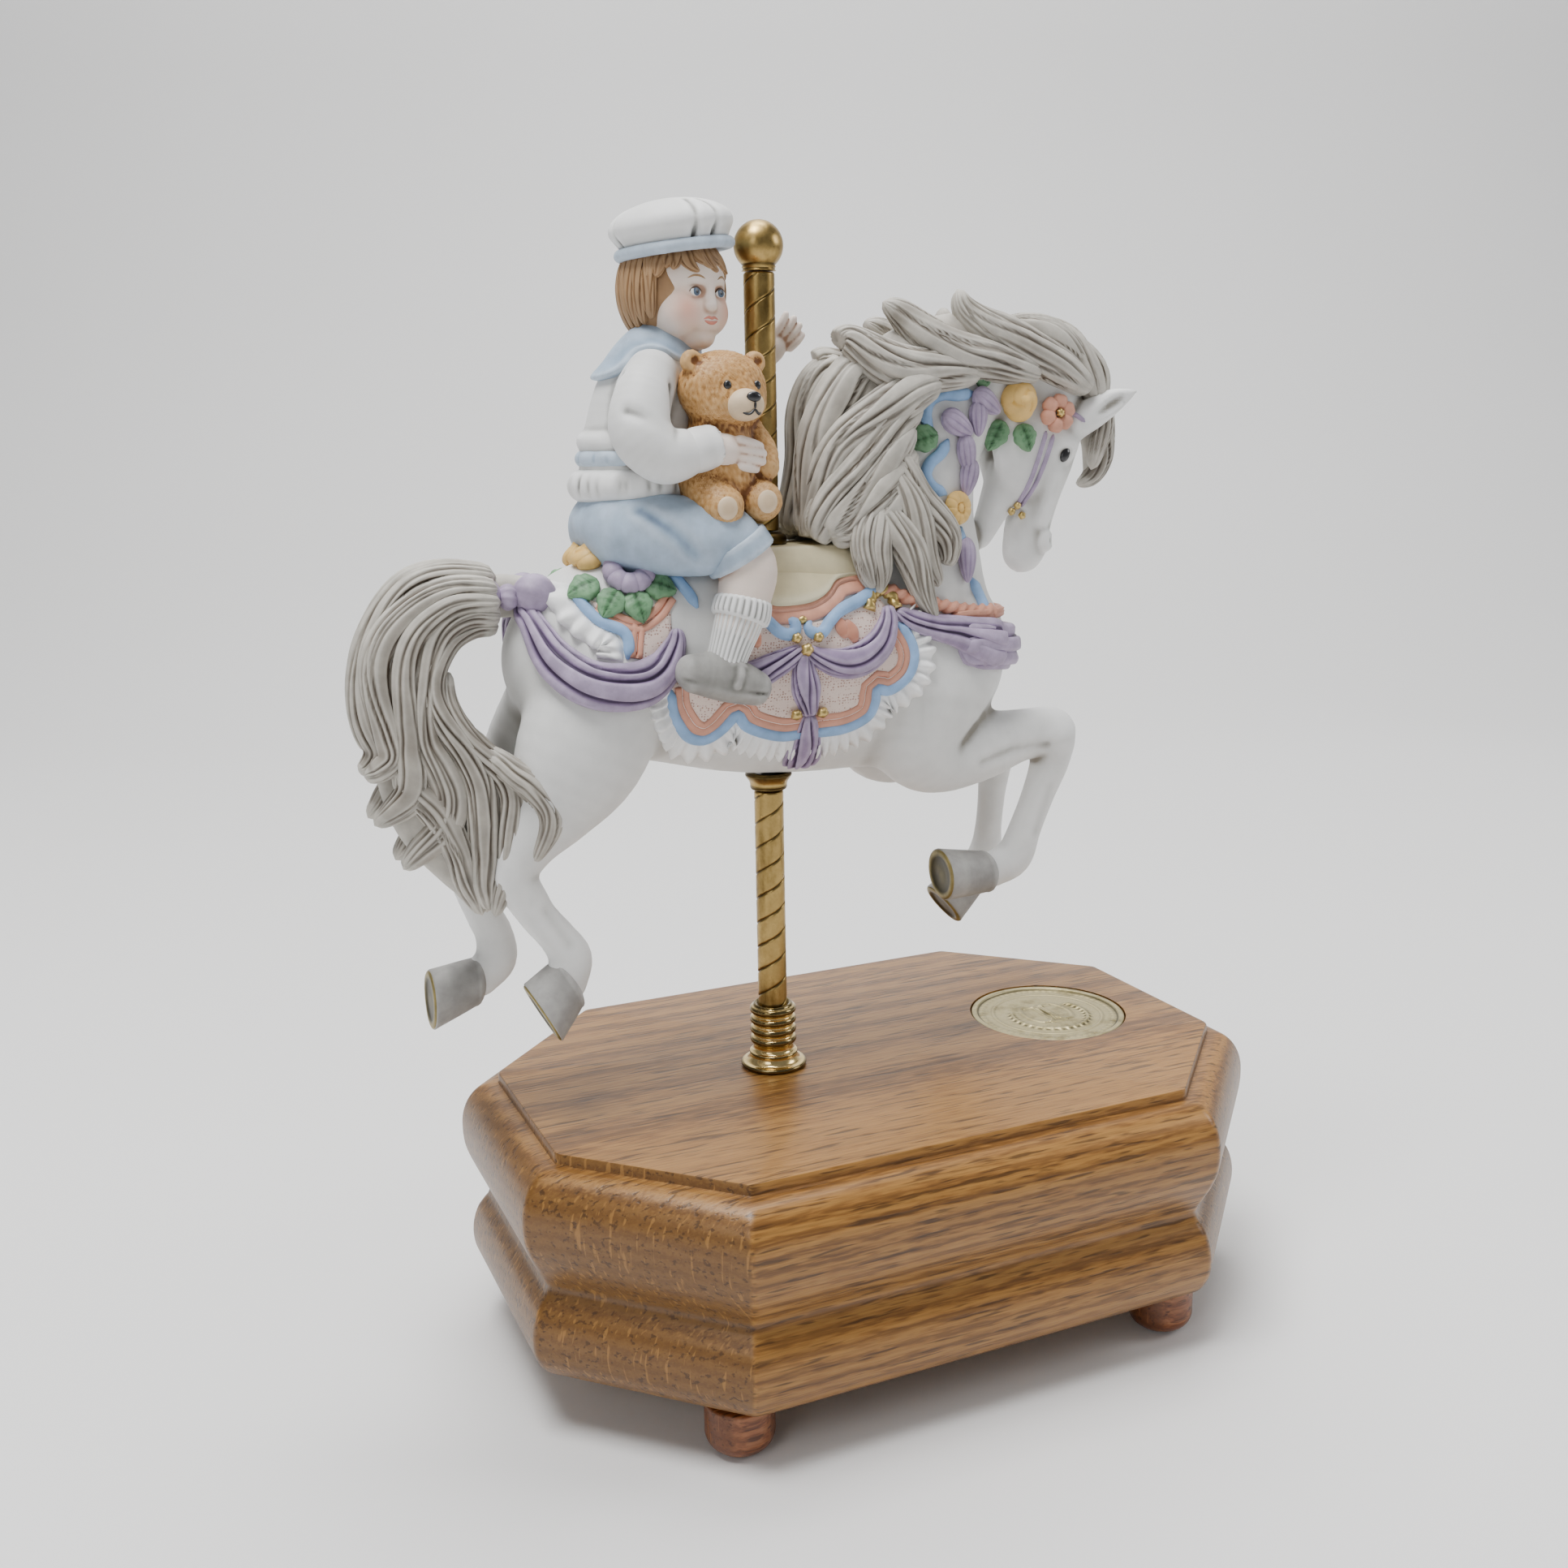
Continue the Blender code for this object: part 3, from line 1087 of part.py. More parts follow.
def add_axes():
    """Gives each moving group an empty on its axis."""
    bpy.context.view_layer.update()
    for name, (place_at, nodes) in MOVING.items():
        axis = bpy.data.objects.new(name, None)
        axis.location = place_at
        axis.empty_display_size = 0.01
        OBJECT.objects.link(axis)
        for node in nodes:
            obj = bpy.data.objects[node]
            obj.parent = axis
            obj.matrix_parent_inverse = Matrix.Translation(place_at).inverted()


def build():
    clear_scene()
    oak_base()
    bottom_cover()
    medallion()
    for i, (x, y) in enumerate(foot_places(), 1):
        foot(i, x, y)
    for i, (x, y) in enumerate(cover_screw_places(), 1):
        pan_screw(f"cover_screw_{i}", x, y, COVER_SCREW_TOP, steel(f"cover_screw_{i}"))
    for i, (x, y) in enumerate(movement_screw_places(), 1):
        pan_screw(f"movement_screw_{i}", x, y, PLATE_TOP, steel(f"movement_screw_{i}"))
    ferrule()
    pole()
    follower_shoe()
    bedplate()
    heart_cam()
    cylinder_group()
    bearing("front_bearing", POLE_X + 7 * MM, brass("front_bearing"))
    bearing("rear_bearing", POLE_X + 39.5 * MM, brass("rear_bearing"))
    comb()
    spring_barrel()
    winding_parts()
    barrel_bridge()
    winding_key()
    governor()
    figures()
    add_axes()


build()
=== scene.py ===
import math

import bpy
import numpy as np
from mathutils import Matrix, Vector, noise
from mathutils.bvhtree import BVHTree


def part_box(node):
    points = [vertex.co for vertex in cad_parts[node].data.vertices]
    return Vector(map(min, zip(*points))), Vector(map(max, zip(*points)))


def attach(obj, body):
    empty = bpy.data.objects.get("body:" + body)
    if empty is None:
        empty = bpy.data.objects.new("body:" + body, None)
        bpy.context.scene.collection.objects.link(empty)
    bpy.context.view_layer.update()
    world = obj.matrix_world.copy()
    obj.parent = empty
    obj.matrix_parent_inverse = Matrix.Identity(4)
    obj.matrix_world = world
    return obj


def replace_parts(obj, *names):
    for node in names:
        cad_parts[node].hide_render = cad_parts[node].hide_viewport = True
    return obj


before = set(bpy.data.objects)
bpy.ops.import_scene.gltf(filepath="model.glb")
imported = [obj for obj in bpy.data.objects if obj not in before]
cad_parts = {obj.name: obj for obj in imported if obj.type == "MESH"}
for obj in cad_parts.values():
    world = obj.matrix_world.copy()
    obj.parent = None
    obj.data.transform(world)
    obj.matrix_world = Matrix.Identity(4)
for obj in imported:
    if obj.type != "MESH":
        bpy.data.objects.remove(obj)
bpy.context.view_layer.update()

# ---- Places, all from the frame -----------------------------------------------------------
# The figures are modelled in millimetres from the pole's foot, on the base's top face.

MM = 0.001
NEAR, FAR = -1, 1
SIDES = (NEAR, FAR)


def middle(node):
    low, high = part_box(node)
    return (low + high) / 2


POLE = middle("pole_rod")
BASE_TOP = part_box("oak_base")[1].z
FIGURE = Matrix.Translation((POLE.x, POLE.y, BASE_TOP)) @ Matrix.Scale(MM, 4)


# ---- Sculpting ----------------------------------------------------------------------------

class Clay:
    """A grid of distances to a surface, in mm: shapes are joined to it softly or carved out."""

    EMPTY = 8.0

    def __init__(self, low, high, step):
        self.step = step
        self.low = np.array(low, float)
        size = np.ceil((np.array(high) - self.low) / step).astype(int) + 1
        self.field = np.full(size, self.EMPTY, np.float32)

    def window(self, low, high):
        """The cells in a box, and their places along each axis."""
        first = np.floor((np.array(low) - self.low) / self.step).astype(int)
        last = np.ceil((np.array(high) - self.low) / self.step).astype(int) + 1
        first = np.clip(first, 0, self.field.shape)
        last = np.clip(last, first, self.field.shape)
        cells = tuple(slice(a, b) for a, b in zip(first, last))
        axes = [np.arange(a, b) * self.step + base for a, b, base in zip(first, last, self.low)]
        x, y, z = (axis.astype(np.float32) for axis in axes)
        return cells, x[:, None, None], y[None, :, None], z[None, None, :]

    def everywhere(self):
        """Every cell's place along each axis."""
        return self.window(self.low, self.low + self.step * np.array(self.field.shape))[1:]

    def blend(self, cells, distance, soft, carve):
        """Joins a shape's distances to the field, or carves it out, over a width of soft."""
        old = self.field[cells]
        if carve:
            overlap = np.maximum(soft - np.abs(old + distance), 0) / soft
            self.field[cells] = np.maximum(old, -distance) + overlap * overlap * soft / 4
        else:
            overlap = np.maximum(soft - np.abs(old - distance), 0) / soft
            self.field[cells] = np.minimum(old, distance) - overlap * overlap * soft / 4

    def limb(self, points, flat=1.0, soft=3.0, carve=False):
        """A smooth tube through (x, y, z, radius) points, flattened along Y."""
        path = spline(points, 5)
        reach = path[:, 3:].max() * max(flat, 1) + soft + 2 * self.step
        low, high = path[:, :3].min(0) - reach, path[:, :3].max(0) + reach
        cells = self.window(low, high)[0]
        lump = Clay(self.low + self.step * np.array([c.start for c in cells]), high, self.step)
        lump.field = np.full([c.stop - c.start for c in cells], self.EMPTY, np.float32)
        for a, b in zip(path, path[1:]):
            near = max(a[3], b[3]) * max(flat, 1) + soft + 2 * self.step
            low, high = np.minimum(a, b)[:3] - near, np.maximum(a, b)[:3] + near
            part, x, y, z = lump.window(low, high)
            along = b[:3] - a[:3]
            length = max(float(along @ along), 1e-6)
            x, y, z = x - a[0], y - a[1], z - a[2]
            t = np.clip((x * along[0] + y * along[1] + z * along[2]) / length, 0, 1)
            x, y, z = x - t * along[0], (y - t * along[1]) / flat, z - t * along[2]
            distance = np.sqrt(x * x + y * y + z * z) - (a[3] + t * (b[3] - a[3]))
            lump.field[part] = np.minimum(lump.field[part], distance)
        self.blend(cells, lump.field, soft, carve)

    def egg(self, centre, radii, soft=2.0, carve=False, turn=(0, 0, 0)):
        """An ellipsoid, turned by degrees about X, Y and Z."""
        reach = max(radii) + soft + self.step
        centre = np.array(centre, float)
        cells, x, y, z = self.window(centre - reach, centre + reach)
        spin = np.array(euler(turn).to_3x3().transposed())
        x, y, z = x - centre[0], y - centre[1], z - centre[2]
        scaled = [(row[0] * x + row[1] * y + row[2] * z) / r for row, r in zip(spin, radii)]
        size = np.sqrt(sum(axis * axis for axis in scaled))
        slope = np.sqrt(sum((axis / r) ** 2 for axis, r in zip(scaled, radii)))
        distance = (size * (size - 1) / np.maximum(slope, 1e-4)).astype(np.float32)
        self.blend(cells, distance, soft, carve)

    def slice(self, point, normal):
        """Cuts off what lies beyond a plane, the same on both sides of the figure."""
        x, y, z = self.everywhere()
        normal = unit(normal)
        beyond = (normal[0] * (x - point[0]) + normal[1] * (np.abs(y) - point[1])
                  + normal[2] * (z - point[2]))
        self.field = np.maximum(self.field, beyond)

    def skin(self):
        """The surface as vertices and quads, one vertex to each grid cell that it crosses."""
        inside = self.field < 0
        steps = [np.array([i, j, k]) for i in (0, 1) for j in (0, 1) for k in (0, 1)]
        counts = np.zeros(np.array(inside.shape) - 1, np.int8)
        for d in steps:
            counts += inside[tuple(slice(s, n - 1 + s) for s, n in zip(d, inside.shape))]
        cells = np.argwhere((counts > 0) & (counts < 8))
        corner = np.stack([self.field[tuple((cells + d).T)] for d in steps], 1)
        total = np.zeros((len(cells), 3))
        crossings = np.zeros(len(cells))
        for i, a in enumerate(steps):
            for k, b in enumerate(steps):
                if k > i and np.abs(a - b).sum() == 1:
                    va, vb = corner[:, i], corner[:, k]
                    cross = (va < 0) != (vb < 0)
                    t = np.where(cross, va / np.where(cross, va - vb, 1), 0)
                    total += np.where(cross[:, None], a + t[:, None] * (b - a), 0)
                    crossings += cross
        verts = self.low + self.step * (cells + total / crossings[:, None])
        index = np.full(counts.shape, -1, np.int64)
        index[tuple(cells.T)] = np.arange(len(cells))
        quads = []
        for axis in range(3):
            along = np.eye(3, dtype=int)[axis]
            u, v = np.eye(3, dtype=int)[(axis + 1) % 3], np.eye(3, dtype=int)[(axis + 2) % 3]
            first = inside[tuple(slice(1 - s, n - 1) for s, n in zip(along, inside.shape))]
            second = inside[tuple(slice(1, n - 1 + s) for s, n in zip(along, inside.shape))]
            for start, flip in ((first & ~second, False), (~first & second, True)):
                at = np.argwhere(start) + (1 - along)
                ring = [at, at - u, at - u - v, at - v]
                ring = [index[tuple(cell.T)] for cell in (reversed(ring) if flip else ring)]
                quads.append(np.stack(ring, 1))
        return verts, np.concatenate(quads)


# The grid's step in mm: coarse for what is covered, fine for faces and fingers.
STEP = {"core": 1.0, "horse": 0.8, "pommel": 0.7, "hair": 0.6, "knit": 0.55, "cloth": 0.5,
        "skin": 0.42, "bear": 0.4, "pads": 0.35}


def euler(turn):
    return Matrix.Rotation(math.radians(turn[2]), 4, "Z") @ Matrix.Rotation(
        math.radians(turn[1]), 4, "Y") @ Matrix.Rotation(math.radians(turn[0]), 4, "X")


def spline(points, cuts):
    """A smooth path through points of any number of columns."""
    p = np.array(points, float)
    if len(p) < 3:
        t = np.linspace(0, 1, cuts + 1)[:, None]
        return p[0] * (1 - t) + p[-1] * t
    p = np.vstack([2 * p[0] - p[1], p, 2 * p[-1] - p[-2]])
    out = []
    for a, b, c, d in zip(p, p[1:], p[2:], p[3:]):
        for t in np.arange(cuts) / cuts:
            out.append(0.5 * (2 * b + (c - a) * t + (2 * a - 5 * b + 4 * c - d) * t ** 2
                              + (3 * b - a - 3 * c + d) * t ** 3))
    return np.array(out + [p[-2]])


def circle(count):
    """Even turns round a circle, in radians."""
    return np.linspace(0, 2 * np.pi, count, endpoint=False)


def ridge(distance, width):
    """1 on a line, and falling off smoothly beside it."""
    return np.exp(-(distance / width) ** 2)


def neighbours(mesh):
    edges = np.zeros(len(mesh.edges) * 2, np.int64)
    mesh.edges.foreach_get("vertices", edges)
    return edges.reshape(-1, 2)


def spread(values, edges, rounds):
    """Averages values over a mesh's edges."""
    count = np.bincount(edges.ravel(), minlength=len(values)).astype(float)
    count = np.maximum(count, 1)
    for _ in range(rounds):
        total = np.zeros_like(values)
        np.add.at(total, edges[:, 0], values[edges[:, 1]])
        np.add.at(total, edges[:, 1], values[edges[:, 0]])
        values = total / (count if values.ndim == 1 else count[:, None])
    return values


def places(mesh):
    co = np.zeros(len(mesh.vertices) * 3)
    mesh.vertices.foreach_get("co", co)
    return co.reshape(-1, 3)


def in_scene(name, data):
    obj = bpy.data.objects.new(name, data)
    bpy.context.scene.collection.objects.link(obj)
    return obj


def new_mesh(name, verts, faces):
    mesh = bpy.data.meshes.new(name)
    faces = [tuple(int(i) for i in face) for face in faces]
    mesh.from_pydata([tuple(v) for v in verts], [], faces)
    return mesh


def piece(name, verts, faces, material, body="pole_and_horse", slot="bisque"):
    """A finished piece of the object: its mesh, moved to the frame, rides on a body."""
    mesh = new_mesh(name, verts, faces)
    mesh.transform(FIGURE)
    mesh.shade_smooth()
    mesh.update()
    obj = in_scene(name, mesh)
    mesh.materials.append(material)
    # The hollows and ridges that the paints darken and lighten: pooled paint, painted shade and
    # painted highlight.
    pooling_shade_and_highlight(mesh)
    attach(obj, body)
    return obj


def pooling_shade_and_highlight(mesh, rounds=3, reach=2.2):
    """Marks hollows from 0.5 down to 0 and ridges up to 1, as paint settles in the hollows and as
    painted shade and painted highlight.
    """
    edges = neighbours(mesh)
    co = places(mesh)
    normals = np.zeros(len(co) * 3)
    mesh.vertices.foreach_get("normal", normals)
    normals = normals.reshape(-1, 3)
    length = np.linalg.norm(co[edges[:, 0]] - co[edges[:, 1]], axis=1).mean()
    bend = np.einsum("ij,ij->i", spread(co, edges, rounds) - co, normals) / length
    value = np.clip(0.5 - reach * spread(bend, edges, 1), 0, 1)
    mark(mesh, "pooling_shade_and_highlight", value)


def mark(mesh, name, values):
    attribute = mesh.attributes.get(name) or mesh.attributes.new(name, "FLOAT", "POINT")
    attribute.data.foreach_set("value", np.asarray(values, np.float32))


def relax(verts, faces, rounds):
    edges = np.vstack([faces[:, [i, (i + 1) % 4]] for i in range(4)])
    edges = np.unique(np.sort(edges, 1), axis=0)
    for _ in range(rounds):
        verts = 0.5 * verts + 0.5 * spread(verts, edges, 1)
    return verts


# ---- Materials ----------------------------------------------------------------------------

class Look:
    """A procedural material, built node by node."""

    def __init__(self, name, **values):
        self.material = bpy.data.materials.new(name)
        self.material.use_nodes = True
        self.tree = self.material.node_tree
        self.shader = self.tree.nodes["Principled BSDF"]
        self.give(self.shader, values)

    def give(self, node, values):
        for socket, value in values.items():
            key = int(socket[1:]) if socket[0] == "i" and socket[1:].isdigit() else socket
            if isinstance(value, bpy.types.NodeSocket):
                self.tree.links.new(value, node.inputs[key])
            else:
                node.inputs[key].default_value = value

    def node(self, kind, output=0, settings=(), **values):
        made = self.tree.nodes.new(kind)
        for setting, value in dict(settings).items():
            setattr(made, setting, value)
        self.give(made, values)
        return made.outputs[output]

    def attribute(self, name):
        return self.node("ShaderNodeAttribute", "Fac", {"attribute_name": name})

    def noise(self, scale, detail=3.0, rough=0.55, vector=None, **values):
        vector = vector or self.place()
        return self.node("ShaderNodeTexNoise", "Fac", Vector=vector, Scale=scale, Detail=detail,
                         Roughness=rough, **values)

    def place(self, scale=(1, 1, 1), location=(0, 0, 0), rotation=(0, 0, 0)):
        at = self.node("ShaderNodeTexCoord", "Object")
        return self.node("ShaderNodeMapping", Vector=at, Scale=scale, Location=location,
                         Rotation=rotation)

    def ramp(self, value, *stops):
        """Colours or greys at positions along a value."""
        made = self.tree.nodes.new("ShaderNodeValToRGB")
        ramp = made.color_ramp
        for i, (position, colour) in enumerate(stops):
            stop = ramp.elements[i] if i < 2 else ramp.elements.new(position)
            stop.position = position
            stop.color = (*colour, 1) if hasattr(colour, "__len__") else (colour,) * 3 + (1,)
        self.tree.links.new(value, made.inputs[0])
        return made.outputs[0]

    def mix(self, factor, a, b, how="MIX"):
        a, b = (c if isinstance(c, bpy.types.NodeSocket) else (*c, 1) for c in (a, b))
        return self.node("ShaderNodeMix", 2, {"data_type": "RGBA", "blend_type": how},
                         Factor=factor, i6=a, i7=b)

    def bump(self, height, strength, distance):
        normal = self.node("ShaderNodeBump", Height=height, Strength=strength, Distance=distance)
        self.give(self.shader, {"Normal": normal})


def tint(colour, factor):
    return tuple(min(1.0, c * factor) for c in colour)


def painted(name, colour, deep=None, light=None, roughness=0.52, grain=0.06, metallic=0.0):
    """Painted bisque: the colour pools in hollows and thins on ridges, with painted shade in the
    hollows and a painted highlight on the ridges, and mottles a little.
    """
    deep = deep or tint(colour, 0.45)
    light = light or tint(colour, 1.25)
    look = Look(name, Roughness=roughness, Metallic=metallic)
    look.shader.inputs["Specular IOR Level"].default_value = 0.35
    # Painted shade in the hollows and a painted highlight on the ridges, along with the pooled and
    # thinned paint.
    tone = look.ramp(look.attribute("pooling_shade_and_highlight"), (0.18, deep), (0.5, colour), (0.8, light))
    cloud = look.ramp(look.noise(230, 4), (0.3, 1 - 2.5 * grain), (0.7, 1.0))
    look.give(look.shader, {"Base Color": look.mix(1.0, tone, cloud, "MULTIPLY")})
    look.bump(look.noise(2600, 2), 0.12, 0.0002)
    return look.material


# Each paint: its colour, its tone in the hollows (pooled paint and painted shade), and its tone on
# the ridges (thinned paint and painted highlight).
# On the white bisque and the white ruffle, these two tones are only painted shade and painted
# highlight.
WHITE = painted("white_bisque", (0.68, 0.68, 0.66), (0.25, 0.23, 0.195), (0.82, 0.82, 0.805),
                grain=0.025)
HAIR = painted("washed_hair", (0.32, 0.29, 0.245), (0.085, 0.062, 0.041), (0.55, 0.52, 0.46),
               grain=0.1)
LAVENDER = painted("lavender", (0.285, 0.205, 0.35), (0.06, 0.033, 0.085), (0.44, 0.355, 0.505),
                   grain=0.14)
CORAL = painted("coral", (0.58, 0.225, 0.14), (0.24, 0.05, 0.028), (0.68, 0.33, 0.23), grain=0.08)
BLUE = painted("blue_border", (0.17, 0.33, 0.60), (0.04, 0.09, 0.21), (0.29, 0.47, 0.75), grain=0.1)
CREAM = painted("cream_saddle", (0.63, 0.55, 0.34), (0.34, 0.26, 0.12), (0.70, 0.64, 0.45),
                grain=0.05)
RUFFLE = painted("white_ruffle", (0.78, 0.78, 0.76), (0.20, 0.185, 0.165), (0.92, 0.92, 0.91),
                 grain=0.03)
YELLOW = painted("yellow_petals", (0.68, 0.37, 0.07), (0.28, 0.11, 0.012), (0.80, 0.52, 0.17),
                 grain=0.08)
GREEN = painted("green_leaves", (0.095, 0.235, 0.105), (0.010, 0.036, 0.014), (0.19, 0.38, 0.20),
                grain=0.14)
HOOF = painted("grey_hoof", (0.27, 0.26, 0.245), (0.10, 0.09, 0.08), (0.42, 0.41, 0.39), grain=0.12)
GOLD = painted("antique_gold", (0.40, 0.28, 0.08), (0.07, 0.045, 0.01), (0.62, 0.46, 0.17), 0.36,
               0.1, 0.85)
SOLE = painted("olive_gold_sole", (0.135, 0.11, 0.042), (0.04, 0.032, 0.012), (0.34, 0.27, 0.10),
               0.42, 0.2, 0.45)


def dotted():
    """The saddle cloth's field: pale pink with rows of small pits."""
    look = Look("dotted_field", Roughness=0.6)
    spots = look.node("ShaderNodeTexVoronoi", "Distance", Vector=look.place(), Scale=1350.0,
                      Randomness=0.5)
    pits = look.ramp(spots, (0.16, (0.40, 0.20, 0.15)), (0.36, (0.74, 0.60, 0.53)))
    # Painted shade in the cloth's hollows.
    shade = look.ramp(look.attribute("pooling_shade_and_highlight"), (0.2, 0.55), (0.5, 1.0))
    look.give(look.shader, {"Base Color": look.mix(1.0, pits, shade, "MULTIPLY")})
    look.bump(look.ramp(spots, (0.1, 0.0), (0.34, 1.0)), 0.5, 0.0003)
    return look.material


def glazed_eye():
    look = Look("eye_black", Roughness=0.28)
    tone = look.ramp(look.noise(900, 2), (0.3, (0.006, 0.006, 0.007)), (0.7, (0.02, 0.02, 0.022)))
    look.give(look.shader, {"Base Color": tone})
    look.shader.inputs["Coat Weight"].default_value = 0.25
    return look.material


DOTTED = dotted()
EYE = glazed_eye()
# These paints also darken in the hollows (pooled paint and painted shade) and lighten on the ridges
# (thinned paint and painted highlight). On the warm white bisque this is only painted shade and
# painted highlight.
BOY_BLUE = painted("boy_blue", (0.36, 0.47, 0.60), (0.13, 0.20, 0.32), (0.52, 0.62, 0.73),
                   grain=0.09)
WARM_WHITE = painted("warm_white", (0.70, 0.70, 0.68), (0.25, 0.245, 0.23), (0.83, 0.83, 0.82),
                     grain=0.02)
SHOE_GREY = painted("shoe_grey", (0.25, 0.245, 0.225), (0.07, 0.065, 0.055), (0.42, 0.41, 0.39),
                    grain=0.1)
TAN = painted("bear_tan", (0.50, 0.26, 0.085), (0.17, 0.06, 0.012), (0.66, 0.40, 0.17), grain=0.1)
BEAR_CREAM = painted("bear_cream", (0.62, 0.45, 0.28), (0.25, 0.13, 0.05), (0.72, 0.56, 0.38),
                     grain=0.05)
HAIR_BROWN = painted("rider_hair_brown", (0.27, 0.145, 0.062), (0.065, 0.028, 0.010),
                     (0.40, 0.245, 0.125), grain=0.08)
BROWN = painted("lash_brown", (0.07, 0.04, 0.025), grain=0.05)
LIPS = painted("lip_red", (0.52, 0.19, 0.14), (0.22, 0.05, 0.03), grain=0.05)
IRIS = painted("iris_blue", (0.055, 0.085, 0.13), (0.02, 0.03, 0.05), (0.09, 0.13, 0.19), 0.3)


def skin_paint():
    """Pale bisque, darker in its hollows as pooled paint and painted shade and lighter on its
    ridges as a painted highlight, with a blush where the cheeks are marked.
    """
    look = Look("skin_bisque", Roughness=0.5)
    look.shader.inputs["Specular IOR Level"].default_value = 0.35
    look.shader.inputs["Subsurface Weight"].default_value = 0.05
    look.shader.inputs["Subsurface Scale"].default_value = 0.002
    tone = look.ramp(look.attribute("pooling_shade_and_highlight"), (0.2, (0.42, 0.25, 0.17)), (0.48, (0.76, 0.63, 0.54)),
                     (0.8, (0.82, 0.72, 0.65)))
    cloud = look.ramp(look.noise(300, 3), (0.3, 0.97), (0.7, 1.0))
    tone = look.mix(look.attribute("blush"), tone, (0.74, 0.38, 0.27))
    look.give(look.shader, {"Base Color": look.mix(1.0, tone, cloud, "MULTIPLY")})
    look.bump(look.noise(2600, 2), 0.08, 0.0002)
    return look.material


def metal(name, colour, dark, roughness, spots=0.5):
    """Worn metal with soft stains, darker where it is hollow as painted shade."""
    look = Look(name, Metallic=1.0)
    stain = look.ramp(look.noise(130, 5, 0.6, look.place((1, 1, 0.35))), (0.32, dark),
                      (spots, colour))
    fine = look.ramp(look.noise(1300, 3), (0.3, 0.86), (0.7, 1.0))
    tone = look.mix(1.0, stain, fine, "MULTIPLY")
    shade = look.ramp(look.attribute("pooling_shade_and_highlight"), (0.2, 0.28), (0.5, 1.0))
    rough = look.ramp(look.noise(420, 3), (0.3, roughness - 0.07), (0.7, roughness + 0.09))
    look.give(look.shader, {"Base Color": look.mix(1.0, tone, shade, "MULTIPLY"),
                            "Roughness": rough})
    look.bump(look.noise(1700, 2), 0.06, 0.0001)
    return look.material


def oak(name, light, middle, dark, gloss):
    """Solid oak, its grain along X: growth rings, open pores, and ray flecks on the end grain."""
    look = Look(name, Roughness=gloss)
    rings = look.node("ShaderNodeTexWave", "Fac", {"wave_type": "RINGS", "rings_direction": "X"},
                      Vector=look.place((0.1, 1, 1), (0, 0.05, 0.16)), Scale=88.0, Distortion=4.0,
                      Detail=3.0, i4=14.0)
    streak = look.noise(1.0, 4, 0.6, look.place((6, 430, 430)))
    fibre = look.noise(1.0, 3, 0.6, look.place((45, 1900, 1900)))
    pores = look.ramp(look.noise(1.0, 2, 0.5, look.place((70, 900, 900))), (0.34, 1.0), (0.43, 0.0))
    tone = look.ramp(look.mix(0.6, rings, streak), (0.20, dark), (0.46, middle), (0.74, light))
    tone = look.mix(1.0, tone, look.ramp(fibre, (0.3, 0.74), (0.7, 1.1)), "MULTIPLY")
    facing = look.node("ShaderNodeTexCoord", "Normal")
    end = look.node("ShaderNodeSeparateXYZ", 0, Vector=facing)
    end = look.node("ShaderNodeMath", 0, {"operation": "ABSOLUTE"}, i0=end)
    end = look.ramp(end, (0.4, 0.0), (0.62, 1.0))
    tone = look.mix(end, tone, look.mix(0.75, tone, tint(middle, 0.50)))
    flecks = look.noise(1.0, 1, 0.4, look.place((620, 1300, 85), rotation=(0.6, 0, 0)))
    flecks = look.mix(1.0, look.ramp(flecks, (0.62, 0.0), (0.68, 1.0)), end, "MULTIPLY")
    tone = look.mix(look.ramp(flecks, (0.0, 0.0), (1.0, 0.55)), tone, tint(light, 1.05))
    tone = look.mix(look.ramp(pores, (0.0, 0.0), (1.0, 0.72)), tone, tint(dark, 0.35))
    look.give(look.shader, {"Base Color": tone, "Coat Weight": 0.10, "Coat Roughness": 0.2,
                            "Specular IOR Level": 0.38})
    look.bump(look.mix(0.6, look.ramp(pores, (0, 1.0), (1, 0.0)), fibre), 0.22, 0.0004)
    return look.material


SKIN = skin_paint()
BRASS = metal("aged_brass", (0.43, 0.295, 0.105), (0.2, 0.13, 0.04), 0.34)
BRIGHT_BRASS = metal("bright_brass", (0.86, 0.64, 0.28), (0.58, 0.40, 0.14), 0.17)
PALE_BRASS = metal("pale_brass", (0.52, 0.45, 0.25), (0.28, 0.23, 0.10), 0.42)
STEEL = metal("steel", (0.60, 0.60, 0.61), (0.42, 0.42, 0.43), 0.33)
OAK = oak("oak", (0.34, 0.168, 0.042), (0.255, 0.115, 0.026), (0.118, 0.048, 0.010), 0.38)
FOOT_OAK = oak("foot_oak", (0.34, 0.13, 0.05), (0.25, 0.085, 0.03), (0.13, 0.04, 0.015), 0.35)
BOARD = oak("cover_board", (0.50, 0.38, 0.24), (0.42, 0.30, 0.18), (0.30, 0.20, 0.11), 0.75)


# ---- The horse ----------------------------------------------------------------------------

# The trunk and the neck: how flat, how softly joined, and the (x, y, z, radius) points.
TRUNK = [
    (0.74, 6, [(-57, 0, 118, 10), (-51, 0, 118, 20), (-43, 0, 118.5, 25), (-25, 0, 117, 28),
               (-5, 0, 114.5, 30), (18, 0, 113, 30), (37, 0, 112, 28), (51, 0, 110, 20.5),
               (58.5, 0, 110, 10)]),
    (0.60, 9, [(38, 0, 112, 25), (42, 0, 130, 23), (43, 0, 150, 19), (47, 0, 168, 17),
               (60, 0, 183, 13.5), (76, 0, 187, 11), (86, 0, 184, 9)]),
]


def beside(side, points):
    """Points given for the far side, taken to the side that's asked for."""
    return [(x, side * y, *rest) for x, y, *rest in points]


